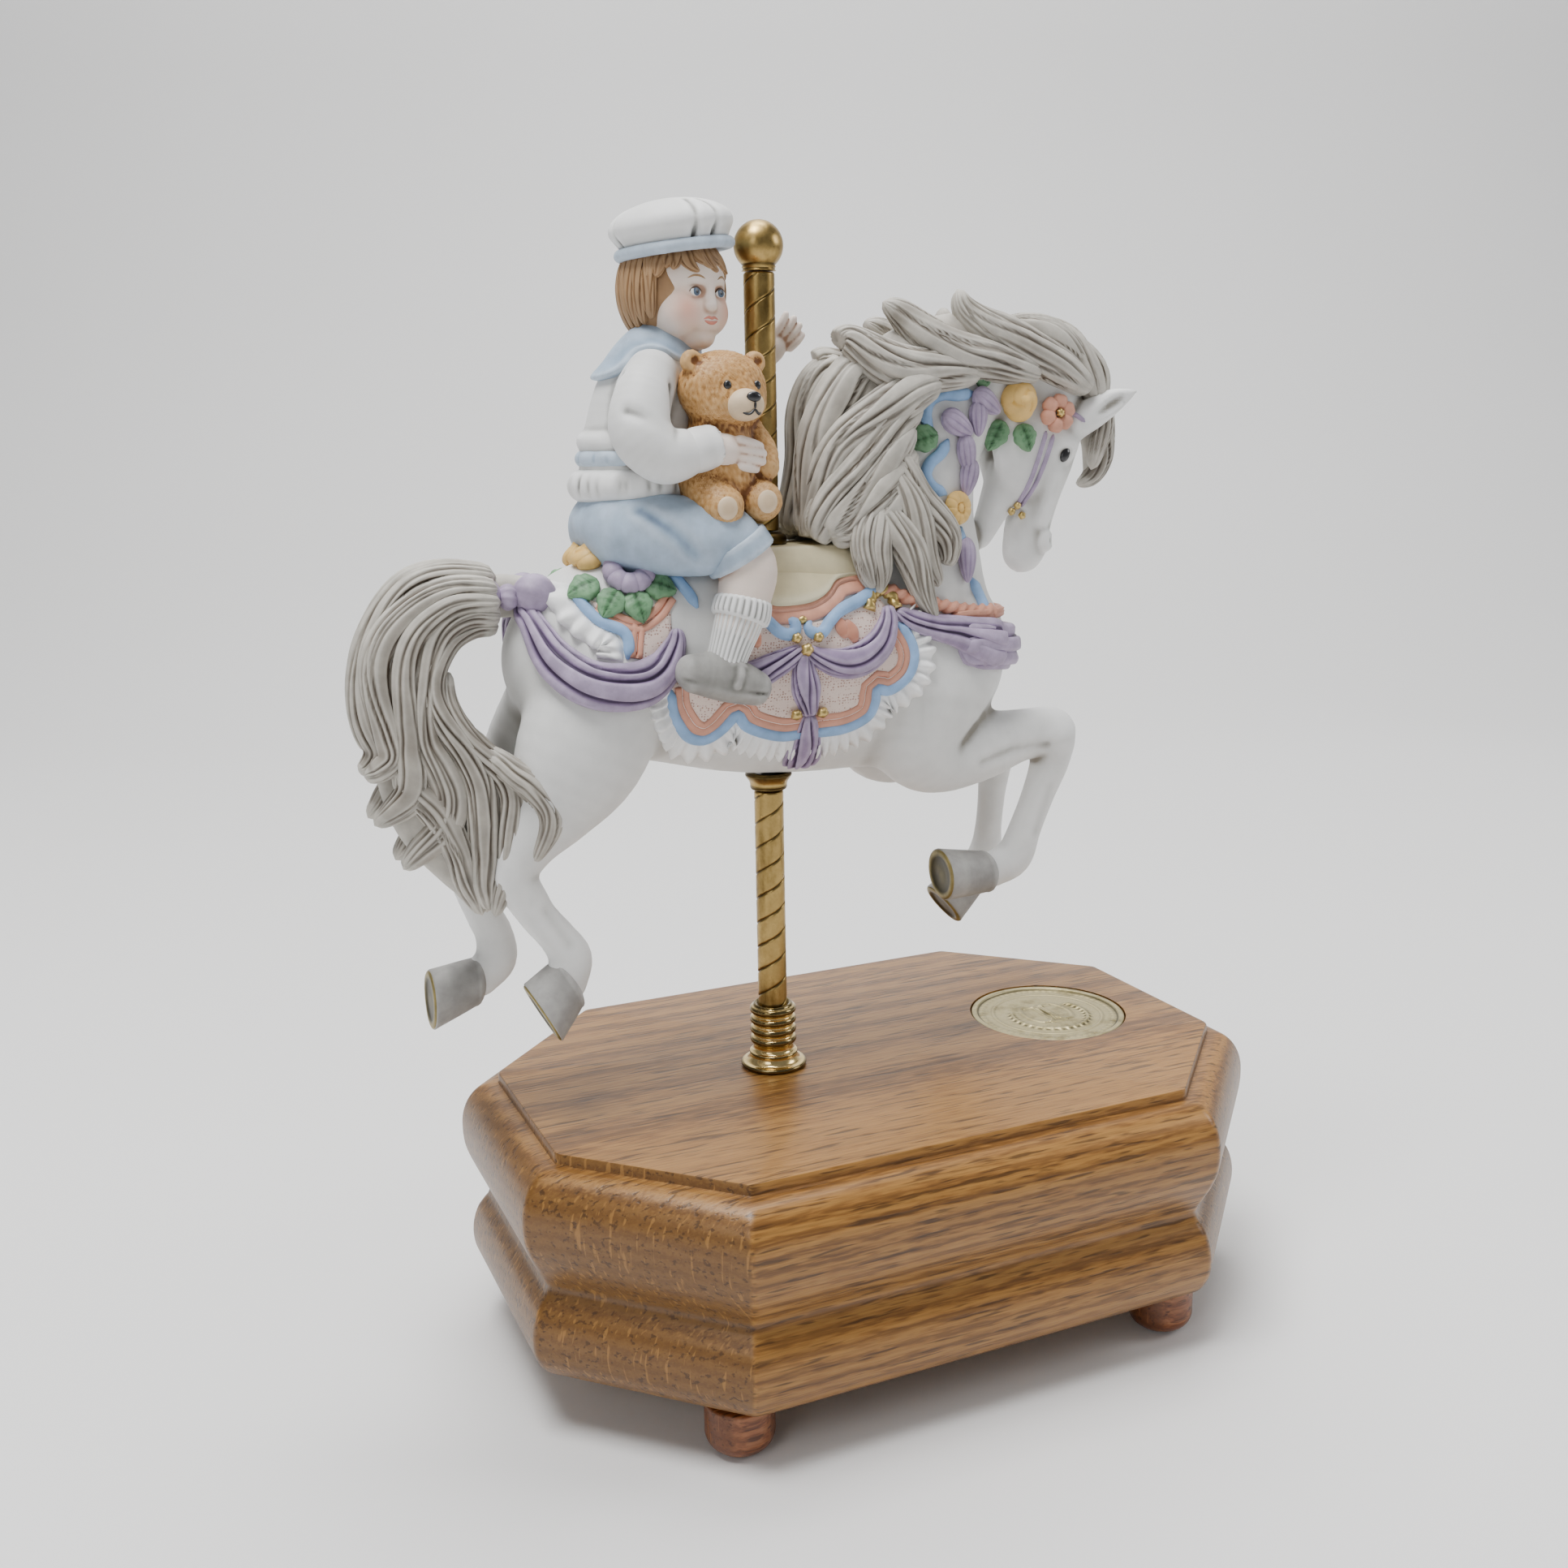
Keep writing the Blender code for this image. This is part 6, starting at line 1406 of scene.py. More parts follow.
def waist_ring(clay, middle, size, radius, folds=0, depth=0.5):
    """A soft roll around the waist, gathered into folds."""
    ring = []
    for around in range(0, 370, 10):
        turn = math.radians(around)
        ring.append((middle[0] + size[0] * math.cos(turn), size[1] * math.sin(turn),
                     middle[2], radius))
    clay.limb(ring, 1, 1.5)
    for i in range(folds):
        turn = 2 * math.pi * (i + 0.3 * math.sin(i * 2.7)) / folds
        x, y = middle[0] + (size[0] + radius) * math.cos(turn), (size[1] + radius) * math.sin(turn)
        lean = 0.6 * math.sin(i * 1.9)
        clay.limb([(x, y, middle[2] - radius * 0.7, depth * 0.8),
                   (x + lean, y, middle[2] + radius * 0.9, depth)],
                  1, 1.2, True)


NEAR_ARM = [(-33, -9.5, 187, 6.4), (-37, -13.5, 181, 7.4), (-38.6, -16.6, 173.6, 7.6),
            (-34.5, -18.6, 168.2, 6.8), (-30, -19, 168.2, 6.2), (-26.6, -19.2, 168.9, 4.5)]
FAR_ARM = [(-31, 9, 186.5, 6.4), (-23, 12.5, 184.6, 6.6), (-12, 14, 184, 6.0), (-2, 14, 186, 5.0),
           (2, 13.8, 188, 4.6)]


def torso(clay):
    clay.limb([(-24.5, 0, 193.5, 7), (-28, 0, 189, 10.4), (-31.2, 0, 181, 13.0),
               (-33.2, 0, 172, 14.0), (-34.4, 0, 164, 14.4), (-35, 0, 158, 13.4)], 0.9, 3)


def sweater():
    clay = Clay((-54, -30, 148), (14, 24, 202), STEP["knit"])
    torso(clay)
    clay.limb(NEAR_ARM, 1, 2.5)
    clay.limb(FAR_ARM, 1, 2.5)
    waist_ring(clay, (-34.6, 0, 171.6), (12.4, 11.0), 2.2)
    for line in ([(-43.5, -21, 178.6, 0.1), (-38, -25.3, 176.6, 0.2), (-32.5, -26, 174.4, 0.1)],
                 [(-31, -16, 184, 0.1), (-30.5, -17.4, 179, 0.3), (-31, -17.4, 174.4, 0.1)],
                 [(-41, -11.6, 186.6, 0.1), (-44.8, -11, 179, 0.3), (-46.4, -10, 173, 0.1)],
                 [(-16, 20.2, 186, 0.1), (-12, 20.6, 183, 0.3), (-7, 20.2, 181, 0.1)]):
        clay.limb(line, 1, 3.2, True)
    rider_piece("sweater", clay, WARM_WHITE)
    cuffs = Clay((-32, -28, 158), (12, 24, 200), STEP["knit"])
    cuffs.limb([(-27, -19.2, 168.9, 4.9), (-25.6, -19.25, 169.1, 5.5),
                (-22.6, -19.4, 169.8, 5.3)], 1, 1)
    cuffs.limb([(-0.6, 13.9, 186.8, 4.6), (0.6, 13.9, 187.3, 5.2), (3.6, 13.7, 188.9, 5.0)], 1, 1)
    cuffs.limb([(-21.6, -19.4, 170, 4.2), (-12, -19.4, 172, 4.2)], 1, 0.5, True)
    rider_piece("cuffs", cuffs, WARM_WHITE)
    hem = Clay((-56, -24, 148), (-14, 24, 173), STEP["knit"])
    waist_ring(hem, (-35.2, 0, 160.8), (12.8, 11.8), 4.0, 26, 0.9)
    hem.limb([(-35, 0, 164.5, 12.6), (-35.2, 0, 158.5, 11.6)], 0.9, 2)
    rider_piece("sweater_hem", hem, WARM_WHITE)
    band = Clay((-56, -24, 161), (-14, 24, 175), STEP["knit"])
    waist_ring(band, (-34.8, 0, 167.4), (12.9, 11.7), 2.1, 14, 0.4)
    rider_piece("waistband", band, BOY_BLUE)


def collar():
    """It lies a little proud of the shoulders, with a flap that stands out at the back."""
    low, high = (-52, -22, 178), (-8, 22, 202)
    cloth, edge = (Clay(low, high, STEP["cloth"]) for _ in range(2))
    torso(cloth)
    cloth.limb(NEAR_ARM[:3], 1, 2.5)
    cloth.limb(FAR_ARM[:3], 1, 2.5)
    edge.egg((-27.5, 0, 196), (14.5, 13.0, 8.6), turn=(0, -12, 0))
    edge.egg((-36, 0, 190), (9.5, 9.5, 5), 2)
    edge.egg((-14.5, 0, 186.4), (3.6, 2.4, 7.5), 1, True)
    cloth.field = np.maximum(cloth.field - 1.0, edge.field)
    cloth.egg((-38.6, 0, 189.6), (7.0, 9.0, 1.5), 1.5, turn=(0, -26, 0))
    rider_piece("sailor_collar", cloth, BOY_BLUE)


def fingers(clay, knuckles, tips, radius):
    for a, b in zip(knuckles, tips):
        middle = [(p + q) / 2 for p, q in zip(a, b)]
        middle[1] -= 0.6
        clay.limb([(*a, radius * 1.05), (*middle, radius), (*b, radius * 0.85)], 1, 0.5)


def hands():
    clay = Clay((-25, -27, 158), (22, 20, 208), STEP["skin"])
    clay.limb([(-24, -19.4, 169.4, 3.6), (-19.5, -19.6, 169.2, 3.7)], 1, 2)
    clay.egg((-17.2, -19.6, 168.4), (4.6, 2.9, 4.0), 2, turn=(0, 8, 0))
    fingers(clay, [(-15, -21.2, z) for z in (171.3, 169.2, 167.1, 165.2)],
            [(-9.4, -20.4, 169.8), (-8.6, -20.4, 168.0), (-8.8, -20.4, 166.1),
             (-10.6, -20.4, 164.3)], 1.25)
    clay.limb([(2, 13.8, 188, 3.4), (6, 13.4, 191.2, 3.1)], 1, 2)
    clay.egg((9.6, 13, 195), (3.3, 2.2, 4.4), 2, turn=(0, 28, 0))
    fingers(clay,
            [(9.6, 12.6, 198.4), (11.4, 12.6, 197.8), (12.9, 12.6, 196.6), (14.0, 12.6, 195.0)],
            [(12.2, 10.8, 203.4), (14.4, 10.6, 202.4), (16.0, 10.6, 200.6), (16.8, 10.8, 198.2)],
            1.15)
    clay.limb([(7.2, 12, 195.4, 1.2), (6.4, 10.4, 198.2, 1.0)], 1, 0.8)
    rider_piece("rider_hands", clay, SKIN)


def ribbed(mould, points, ribs, depth, around=120):
    """A closed tube with even ribs along it, through (x, y, z, radius) points."""
    path = spline(points, 8)
    along = unit(np.gradient(path[:, :3], axis=0))
    out = unit(np.cross(along, (0, 1.0, 0)))
    across = np.cross(along, out)
    turn = circle(around)
    share = np.clip(np.minimum(np.arange(len(path)), np.arange(len(path))[::-1]) / 3, 0, 1)
    share = 0.5 + 0.5 * np.sqrt(1 - (1 - share) ** 2)
    reach = path[:, 3:4] * share[:, None] * (1 - depth * np.abs(np.cos(ribs / 2 * turn)) ** 4)[None]
    mould.tube(path[:, None, :3] + out[:, None] * (reach * np.cos(turn))[..., None]
               + across[:, None] * (reach * np.sin(turn))[..., None])


# The rider's legs: limbs through (x, y, z, radius), given for the far side.
SHORTS_LEG = [(-40.5, 7, 149.6, 9.6), (-33, 12.5, 149, 10), (-25, 16.2, 148.2, 9.6),
              (-18.5, 18, 147.4, 8.6), (-14, 19, 142, 8.2)]
SHORTS_FOLD = [(-40, 17.6, 155.4, 0.1), (-34, 23.6, 150, 0.2), (-29, 25.2, 144, 0.1)]
SHORTS_CUFF = [(-18.4, 18, 149.6, 8.6), (-15, 18.8, 144, 9.1), (-11, 19.6, 137, 9.1)]
BARE_LEG = [(-18, 18, 146, 7.4), (-13.4, 20, 140.8, 7.4), (-14.8, 21.4, 133.6, 6.7),
            (-18, 22.6, 125, 5.6)]
SOCK = [(-15.4, 21.9, 131.6, 6.4), (-17.4, 22.5, 126.6, 6.0), (-20, 23.3, 120.6, 5.2),
        (-21.8, 23.8, 115.6, 4.8)]
SOCK_TOP = [(-15.0, 21.8, 133.6, 6.9), (-15.6, 22.0, 131.4, 7.4), (-16.3, 22.2, 129.2, 7.5),
            (-16.9, 22.4, 127.6, 7.0)]
SHOE = [(-30.2, 24.0, 116.2, 4.4), (-24.6, 24.2, 115.4, 5.4), (-18.6, 24.6, 113.2, 5.2),
        (-13.8, 24.8, 111.4, 4.1)]
SHOE_SOLE = [(-30.2, 24.2, 113.6, 2.6), (-22, 24.5, 111.6, 3.3), (-13.9, 24.8, 109.4, 2.7)]
SHOE_SEAM = [(-33.8, 26.8, 115, 0.3), (-29, 29.4, 113.6, 0.35), (-20, 30.2, 111.4, 0.35),
             (-12, 28.4, 109.8, 0.3)]
SHOE_STRAP = [(-22.6, 20, 119, 1.1), (-20, 25, 119.2, 1.3), (-19.4, 28.6, 116, 1.2),
              (-20.6, 29.6, 112.8, 0.9)]
CUFF_MOUTH = [(-13.5, 19.1, 141.5, 7.6), (-9, 20, 134, 7.6)]
# Where the shorts' legs are cut, the way the cut faces, and how far the cuff reaches up from it.
OPENING, FACING = (-14, 19, 142.4), (0.5, 0.1, -0.86)
SHORTS_INSET, CUFF_DEPTH, SOCK_RIBS = 1.5, 5.2, 26


def legs():
    shorts = Clay((-56, -34, 128), (-3, 34, 172), STEP["hair"])
    shorts.limb([(-35, 0, 156, 12.6), (-36, 0, 150, 13.6), (-35, 0, 144, 12)], 0.95, 3)
    shorts.egg((-41, 0, 151.6), (10.4, 12.5, 7), 3)
    cuffs = Clay((-30, -34, 130), (0, 34, 158), STEP["cloth"])
    skin = Clay((-34, -34, 112), (0, 34, 152), STEP["cloth"])
    shoes = Clay((-40, -34, 102), (-5, 34, 124), STEP["skin"])
    socks = Mould()
    for side in SIDES:
        shorts.limb(beside(side, SHORTS_LEG), 1, 3)
        shorts.limb(beside(side, SHORTS_FOLD), 1, 3.4, True)
        cuffs.limb(beside(side, SHORTS_CUFF), 1, 0.8)
        skin.limb(beside(side, BARE_LEG), 1, 2)
        ribbed(socks, beside(side, SOCK), SOCK_RIBS, 0.07)
        ribbed(socks, beside(side, SOCK_TOP), SOCK_RIBS, 0.07)
        shoes.limb(beside(side, SHOE), 1, 2)
        shoes.limb(beside(side, SHOE_SOLE), 1.5, 1)
        shoes.limb(beside(side, SHOE_SEAM), 1, 0.6, True)
        shoes.limb(beside(side, SHOE_STRAP), 1, 0.8)
        shoes.egg((-18.6, side * 27.6, 117.2), (1.6, 1.0, 1.0), 0.5, turn=(0, 20, 0))
        shoes.egg((-21.4, side * 27.8, 117.5), (1.5, 1.0, 1.0), 0.5, turn=(0, -20, 0))
    shorts.slice([p - SHORTS_INSET * n for p, n in zip(OPENING, FACING)], FACING)
    cuffs.slice(OPENING, FACING)
    cuffs.slice([p - CUFF_DEPTH * n for p, n in zip(OPENING, FACING)], [-n for n in FACING])
    for side in SIDES:
        cuffs.limb(beside(side, CUFF_MOUTH), 1, 0.3, True)
    rider_piece("shorts", shorts, BOY_BLUE)
    rider_piece("shorts_cuffs", cuffs, BOY_BLUE)
    rider_piece("rider_legs", skin, SKIN)
    rider_piece("shoes", shoes, SHOE_GREY)
    socks.done("socks", WARM_WHITE, **RIDER)


def rider():
    face = skin_head()
    features(face)
    rider_hair()
    hat()
    sweater()
    collar()
    hands()
    legs()
    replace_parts(bpy.data.objects["sweater"], "rider")


# ---- The teddy bear -----------------------------------------------------------------------

BEAR_AT = (-15.8, -13.0, 183.2)
BEAR_TURN = -78
bear_head = placed(BEAR_AT, BEAR_TURN)


def furred(name, clay, material):
    """Clay with short combed strokes pressed into it."""
    verts, faces = clay.skin()
    verts = relax(verts, faces, 2)
    strokes = np.array([noise.noise(Vector((x * 2.6, y * 2.6, z * 0.8 + 0.9 * x)))
                        for x, y, z in verts])
    obj = piece(name, verts, faces, material, slot="bear_bisque")
    normals = np.array([tuple(v.normal) for v in obj.data.vertices])
    co = places(obj.data) + normals * (strokes * 0.2 * MM)[:, None]
    obj.data.vertices.foreach_set("co", co.ravel())
    # Marks the hollows and ridges again, for pooled paint, painted shade and painted highlight.
    pooling_shade_and_highlight(obj.data)
    return obj


def teddy_bear():
    clay = Clay((-32, -31, 149), (4, 2, 199), STEP["bear"])

    def egg(centre, radii, soft=1.5, carve=False):
        clay.egg(bear_head(centre), radii, soft, carve, (0, 0, BEAR_TURN))
    egg((-0.5, 0, 0.4), (9.3, 11.6, 9.3))
    egg((3.6, 0, -3.2), (6.8, 8.8, 5.6), 2.5)
    for side in SIDES:
        egg((0.4, side * 9.2, 6.8), (2.2, 3.0, 2.8), 1.2)
        egg((2.7, side * 9.4, 7.2), (1.2, 1.6, 1.5), 0.8, True)
    clay.limb([(-16, -11, 178, 7), (-16.8, -12, 170, 8.6), (-17, -12.2, 162, 10),
               (-17, -12, 156, 8)], 1, 2)
    clay.limb([(-23, -13, 162, 5.6), (-21.6, -17.6, 157.8, 5.8),
               (-20.2, -21.4, 155.6, 5.4)], 1, 1.2)
    clay.limb([(-11, -12, 161, 5), (-9.6, -16.4, 157.6, 5.4), (-9.0, -20, 156.6, 5.0)], 1, 1.2)
    clay.limb([(-9, -12.5, 173.5, 3.8), (-6.4, -15.4, 168.6, 3.4), (-6.8, -18, 164.6, 3.2)], 1, 1.2)
    body = furred("teddy_bear_body", clay, TAN)
    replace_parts(body, "teddy_bear")
    pale = Clay((-28, -34, 150), (0, -12, 186), STEP["pads"])
    pale.egg(bear_head((9.2, 0, -3.6)), (4.3, 5.0, 3.9), turn=(0, 0, BEAR_TURN))
    pale.limb([(*bear_head((14.2, 0, -3.6)), 0.22), (*bear_head((13.5, 0, -6.4)), 0.22)], 1, 0.4,
              True)
    for x, y, z in ((-20.6, -26.1, 155.4), (-9.4, -24.4, 156.6)):
        pale.egg((x, y, z), (2.7, 1.0, 2.9), 0.5)
    clay_piece("teddy_bear_pale", pale, BEAR_CREAM, 2, slot="bear_bisque")
    dark = Mould()
    front = np.array([[1, 0, 0], [0, 0, 1.0], [0, -1, 0]])
    dark.pebble(bear_head((13.1, 0, -1.8)), front, (1.9, 1.3, 0.9))
    for side in SIDES:
        dark.pebble(bear_head((8.3, side * 4.3, 1.0)), front, (1.05, 1.2, 0.8))
        mouth = [(13.5, 0, -4.6), (13.1, side * 1.3, -5.8), (11.9, side * 2.7, -5.4)]
        dark.lock([(*bear_head(p), 0.32, 0.32) for p in mouth], 5, 2, (0, -1, 0), 0.02, 12, 5)
    dark.lock([(*bear_head(p), 0.32, 0.32) for p in ((13.7, 0, -2.8), (13.55, 0, -4.7))], 6, 2,
              (0, -1, 0), 0.02, 12, 5)
    dark.done("teddy_bear_nose_eyes_mouth", EYE, slot="bear_bisque")


rider()
teddy_bear()


# ---- The brass ----------------------------------------------------------------------------

BALL_RADIUS, FERRULE_BEADS, BEAD_PITCH = 6.3, 4, 2.9
POLE_RADIUS, BORE, SLEEVE_SIDES = 4.0, 2.3, 120
GROOVE_LEAD, GROOVE_STARTS, GROOVE_DEPTH, GROOVE_WIDTH = 14.0, 2, 0.3, 0.26


def level(node):
    """A node's bottom and top, in the figures' millimetres."""
    low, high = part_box(node)
    return (low.z - BASE_TOP) / MM, (high.z - BASE_TOP) / MM


def spot(node):
    """A node's middle in plan, in the figures' millimetres."""
    low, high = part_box(node)
    return ((low.x + high.x) / 2 - POLE.x) / MM, (low.y + high.y) / 2 / MM


def half_width(node):
    low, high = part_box(node)
    return (high.x - low.x) / 2 / MM


def lathe(profile, around=72, at=(0, 0), ring=False):
    """A turned shape from (radius, height) points: solid, or a ring where its ends meet."""
    turn = circle(around)
    rings = [np.stack([at[0] + r * np.cos(turn), at[1] + r * np.sin(turn), np.full(around, z)], 1)
             for r, z in profile]
    mould = Mould()
    if not ring:
        mould.tube(rings)
        return mould
    faces = []
    count = len(rings)
    for i in range(count):
        for k in range(around):
            j, n = (k + 1) % around, (i + 1) % count
            faces.append((i * around + k, i * around + j, n * around + j, n * around + k))
    mould.add(np.vstack(rings), faces)
    return mould


def arc(middle, radius, start, end, count):
    turns = np.radians(np.linspace(start, end, count))
    return [(middle[0] + radius * math.cos(t), middle[1] + radius * math.sin(t)) for t in turns]


def turned(node, name, edge, material=BRASS, around=72, ring=True, at=(0, 0), **kind):
    """The turned piece that stands for a node."""
    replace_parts(lathe(edge, around, at, ring).done(name, material, **kind), node)


def sleeve(node):
    """A brass sleeve with fine spiral grooves."""
    low, high = level(node)
    turn = circle(SLEEVE_SIDES)
    edge = [(POLE_RADIUS - GROOVE_DEPTH, low)]
    for z in np.arange(low + 0.4, high - 0.4, 0.22):
        phase = GROOVE_STARTS * (turn / (2 * np.pi) - z / GROOVE_LEAD)
        gap = np.abs((phase + 0.5) % 1 - 0.5) * GROOVE_LEAD / GROOVE_STARTS
        edge.append((POLE_RADIUS - 0.02 - GROOVE_DEPTH * ridge(gap, GROOVE_WIDTH), z))
    edge += [(POLE_RADIUS - GROOVE_DEPTH, high), (BORE, high), (BORE, low)]
    turned(node, f"{node}_spiral", edge, around=SLEEVE_SIDES, slot="brass")


def brasses():
    low, high = level("pole_ferrule")
    edge = [(4.6, high), (5.2, high), (5.45, high - 0.25)]
    for i in range(FERRULE_BEADS):
        edge += arc((5.35, high - 1.75 - BEAD_PITCH * i), 1.12, 78, -78, 11)
    edge += [(5.5, low + 4.5)] + arc((6.3, low + 3.7), 0.45, 80, -60, 6) + [(6.7, low + 2.7)]
    edge += arc((8.5, low + 2.9), 1.7, 200, 262, 5) + arc((8.55, low + 0.6), 0.6, 80, -80, 7)
    edge += [(4.6, low)]
    turned("pole_ferrule", "ferrule_turned", edge, BRIGHT_BRASS, 96, body="base", slot="brass")
    sleeve("lower_pole_sleeve")
    sleeve("upper_pole_sleeve")
    low, high = level("belly_collar")
    edge = [(BORE, high), (6.0, high)] + arc((5.9, high - 0.5), 0.45, 90, -40, 6)
    edge += arc((7.6, high - 3.4), 2.6, 140, 190, 6)
    edge += arc((4.5, low + 0.5), 0.4, 60, -90, 5) + [(BORE, low)]
    turned("belly_collar", "belly_collar_turned", edge, slot="brass")
    low, high = level("saddle_collar")
    edge = [(BORE, high), (4.3, high)] + arc((4.4, high - 1.9), 1.6, 80, 10, 7)
    edge += [(6.0, low + 0.35), (5.9, low), (BORE, low)]
    turned("saddle_collar", "saddle_collar_turned", edge, slot="brass")
    low, high = level("ball_finial")
    edge = arc((0, high - BALL_RADIUS), BALL_RADIUS, 90, -49, 40)
    edge += arc((4.6, low + 0.6), 0.5, 120, 250, 6)
    edge[0] = (0.01, high)
    edge += [(3.9, low), (0.01, low)]
    turned("ball_finial", "ball_finial_turned", edge, ring=False, slot="brass")


MEDALLION_BEADS, SPRIG_LEAVES = 60, 34


def medallion():
    """A struck disc: a rim, a ring of beads and a lyre between two sprigs."""
    middle_x, middle_y = spot("medallion")
    radius, (bottom, top) = half_width("medallion") - 0.02, level("medallion")
    around = 240
    turn = circle(around)
    rings = []
    for r in np.concatenate([np.linspace(0.02, radius - 0.3, 110), [radius]]):
        x, y = r * np.cos(turn), r * np.sin(turn)
        high_at = np.full(around, top - 0.55)
        beads = np.abs((turn * MEDALLION_BEADS / (2 * np.pi)) % 1 - 0.5) * 2
        high_at += 0.22 * ridge(r - radius + 3.2, 0.55) * (0.25 + 0.75 * beads)
        high_at += 0.16 * ridge(r - radius + 6.6, 0.3)
        for side in SIDES:
            bow = np.hypot((x - side * 3.6) / 1.0, (y - 1.0) / 1.9) - 3.6
            high_at += 0.26 * ridge(bow, 0.55) * (side * x > -0.4) * (np.abs(y - 1) < 7)
            sprig = np.hypot(x, y + 1.2) - 11.4
            leaves = np.cos(np.arctan2(y, x) * SPRIG_LEAVES)
            sprig = ridge(sprig, 0.5 + 0.7 * np.clip(leaves, 0, 1))
            high_at += 0.24 * sprig * (y < 5) * (r < radius - 6)
        for string in (-1.6, 0, 1.6):
            high_at += 0.18 * ridge(x - string, 0.24) * (np.abs(y - 0.6) < 5.4)
        high_at += 0.24 * ridge(y - 6.2, 0.45) * (np.abs(x) < 4.6)
        high_at += 0.22 * ridge(y + 6.4, 0.6) * (np.abs(x) < 3.0)
        edge = np.clip((r - radius + 1.9) / 0.3, 0, 1)
        high_at = high_at * (1 - edge) + top * edge
        if r > radius - 0.2:
            high_at = np.full(around, top - 0.25)
        rings.append(np.stack([middle_x + x, middle_y + y, np.minimum(high_at, top)], 1))
    x, y = radius * np.cos(turn), radius * np.sin(turn)
    rings.append(np.stack([middle_x + x, middle_y + y, np.full(around, bottom)], 1))
    disc = Mould()
    disc.tube(rings)
    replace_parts(disc.done("medallion_struck", PALE_BRASS, body="base", slot="medallion_brass"),
                "medallion")


# ---- The base -----------------------------------------------------------------------------

BASE_X, TOP_LONG, TOP_WIDE, TOP_CUT = 28.2, 100.0, 65.7, 36.9
CORNER_ROUND = 1.4
ROOM_LONG, ROOM_WIDE, ROOM_CUT, ROOM_ROOF = 78.0, 40.0, 22.0, -12.0
COVER_MARGIN, GAP, BELOW = 6.3, 0.3, -61
MEDALLION_BORE, DOWEL_BORE = 23.35, 3.3


def octagon(long, wide, cut):
    quarter = [(long, wide - cut), (long - cut, wide)]
    half = quarter + [(-x, y) for x, y in reversed(quarter)]
    return half + [(-x, -y) for x, y in half]


def rounded(points, radius):
    """The same outline with its corners eased."""
    out = []
    p = np.array(points)
    for a, b, c in zip(np.roll(p, 1, 0), p, np.roll(p, -1, 0)):
        start, end = b + unit(a - b) * radius, b + unit(c - b) * radius
        for t in np.linspace(0, 1, 6):
            out.append((1 - t) ** 2 * start + 2 * t * (1 - t) * b + t * t * end)
    return np.array(out)


def moulding():
    """The side's profile from the top down: how far it stands out, and its height under the top."""
    step = [(-0.9, 0.0), (-0.35, -0.12), (-0.08, -0.5), (0, -2.3), (0.2, -2.75), (1.0, -3.0)]
    turns = np.radians(np.linspace(88, 0, 16))
    shoulder = [(1.3 + 8.7 * math.cos(t), -15 + 12 * math.sin(t)) for t in turns]
    waist = spline([(10.0, -17.5), (9.5, -21.5), (7.9, -26), (5.9, -30), (4.4, -33), (4.0, -34.8),
                    (4.6, -36.6)], 4)
    bead = spline([(5.6, -37.8), (7.4, -40.6), (8.6, -44.6), (8.9, -48.6), (8.2, -52.6),
                   (6.2, -56.4), (3.2, -58.8), (0.6, -59.8)], 4)
    return step + shoulder + [tuple(p) for p in waist] + [tuple(p) for p in bead] + [(0, -60.0)]


def solid(name, rings):
    """A closed shape through rings of points, to cut or be cut."""
    shape = Mould()
    shape.tube(rings)
    mesh = new_mesh(name, np.vstack(shape.verts), shape.faces)
    mesh.transform(FIGURE)
    return in_scene(name, mesh)


def prism(name, outline, low, high):
    outline = np.array(outline)
    return solid(name, [np.column_stack([outline, np.full(len(outline), z)]) for z in (low, high)])


def round_hole(name, node, radius, low, high, around=48):
    """A bore about a node's axis."""
    x, y = spot(node)
    turn = circle(around)
    outline = np.stack([x + radius * np.cos(turn), y + radius * np.sin(turn)], 1)
    return prism(name, outline, low, high)


def base():
    """The moulded block, with the movement's room and every bore cut out of it."""
    rings = []
    for d, z in moulding():
        outline = octagon(TOP_LONG + d, TOP_WIDE + d, TOP_CUT + d * (2 - math.sqrt(2)))
        outline = rounded(outline, CORNER_ROUND) + (BASE_X, 0)
        rings.append(np.column_stack([outline, np.full(len(outline), z)]))
    body = solid("oak_base_moulded", rings)
    room = octagon(ROOM_LONG, ROOM_WIDE, ROOM_CUT)
    room = prism("room", np.array(room) + (BASE_X, 0), BELOW, ROOM_ROOF)
    cut = ROOM_CUT + COVER_MARGIN * (2 - math.sqrt(2))
    ledge = octagon(ROOM_LONG + COVER_MARGIN, ROOM_WIDE + COVER_MARGIN, cut)
    top = level("bottom_cover")[1] + GAP
    roof = ROOM_ROOF - 1
    cutters = [
        room,
        prism("ledge", np.array(ledge) + (BASE_X, 0), BELOW, top),
        round_hole("bush_bore", "guide_bush", half_width("guide_bush") + GAP, roof, 1),
        round_hole("medallion_bore", "medallion", MEDALLION_BORE,
                   level("medallion")[0] - GAP, 1, 96),
        round_hole("pin_bore", "guide_pin", half_width("guide_pin") + GAP, roof,
                   level("guide_pin")[1] + GAP, 20)]
    for i in range(1, 5):
        foot, screw = f"foot_{i}", f"cover_screw_{i}"
        cutters.append(round_hole(f"dowel_bore_{i}", foot, DOWEL_BORE, BELOW,
                                  level(foot)[1] + GAP, 24))
        cutters.append(round_hole(f"screw_bore_{i}", screw, half_width(screw) - 1.0, top - 1,
                                  level(screw)[1] + GAP, 20))
    for cutter in cutters:
        step = body.modifiers.new(cutter.name, "BOOLEAN")
        step.object = cutter
        step.solver = "EXACT"
    graph = bpy.context.evaluated_depsgraph_get()
    mesh = bpy.data.meshes.new_from_object(body.evaluated_get(graph))
    body.modifiers.clear()
    body.data = mesh
    for cutter in cutters:
        bpy.data.objects.remove(cutter)
    mesh.shade_smooth()
    mesh.set_sharp_from_angle(angle=math.radians(40))
    mesh.materials.append(OAK)
    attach(body, "base")
    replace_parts(body, "oak_base")


FOOT_HEIGHT = 14


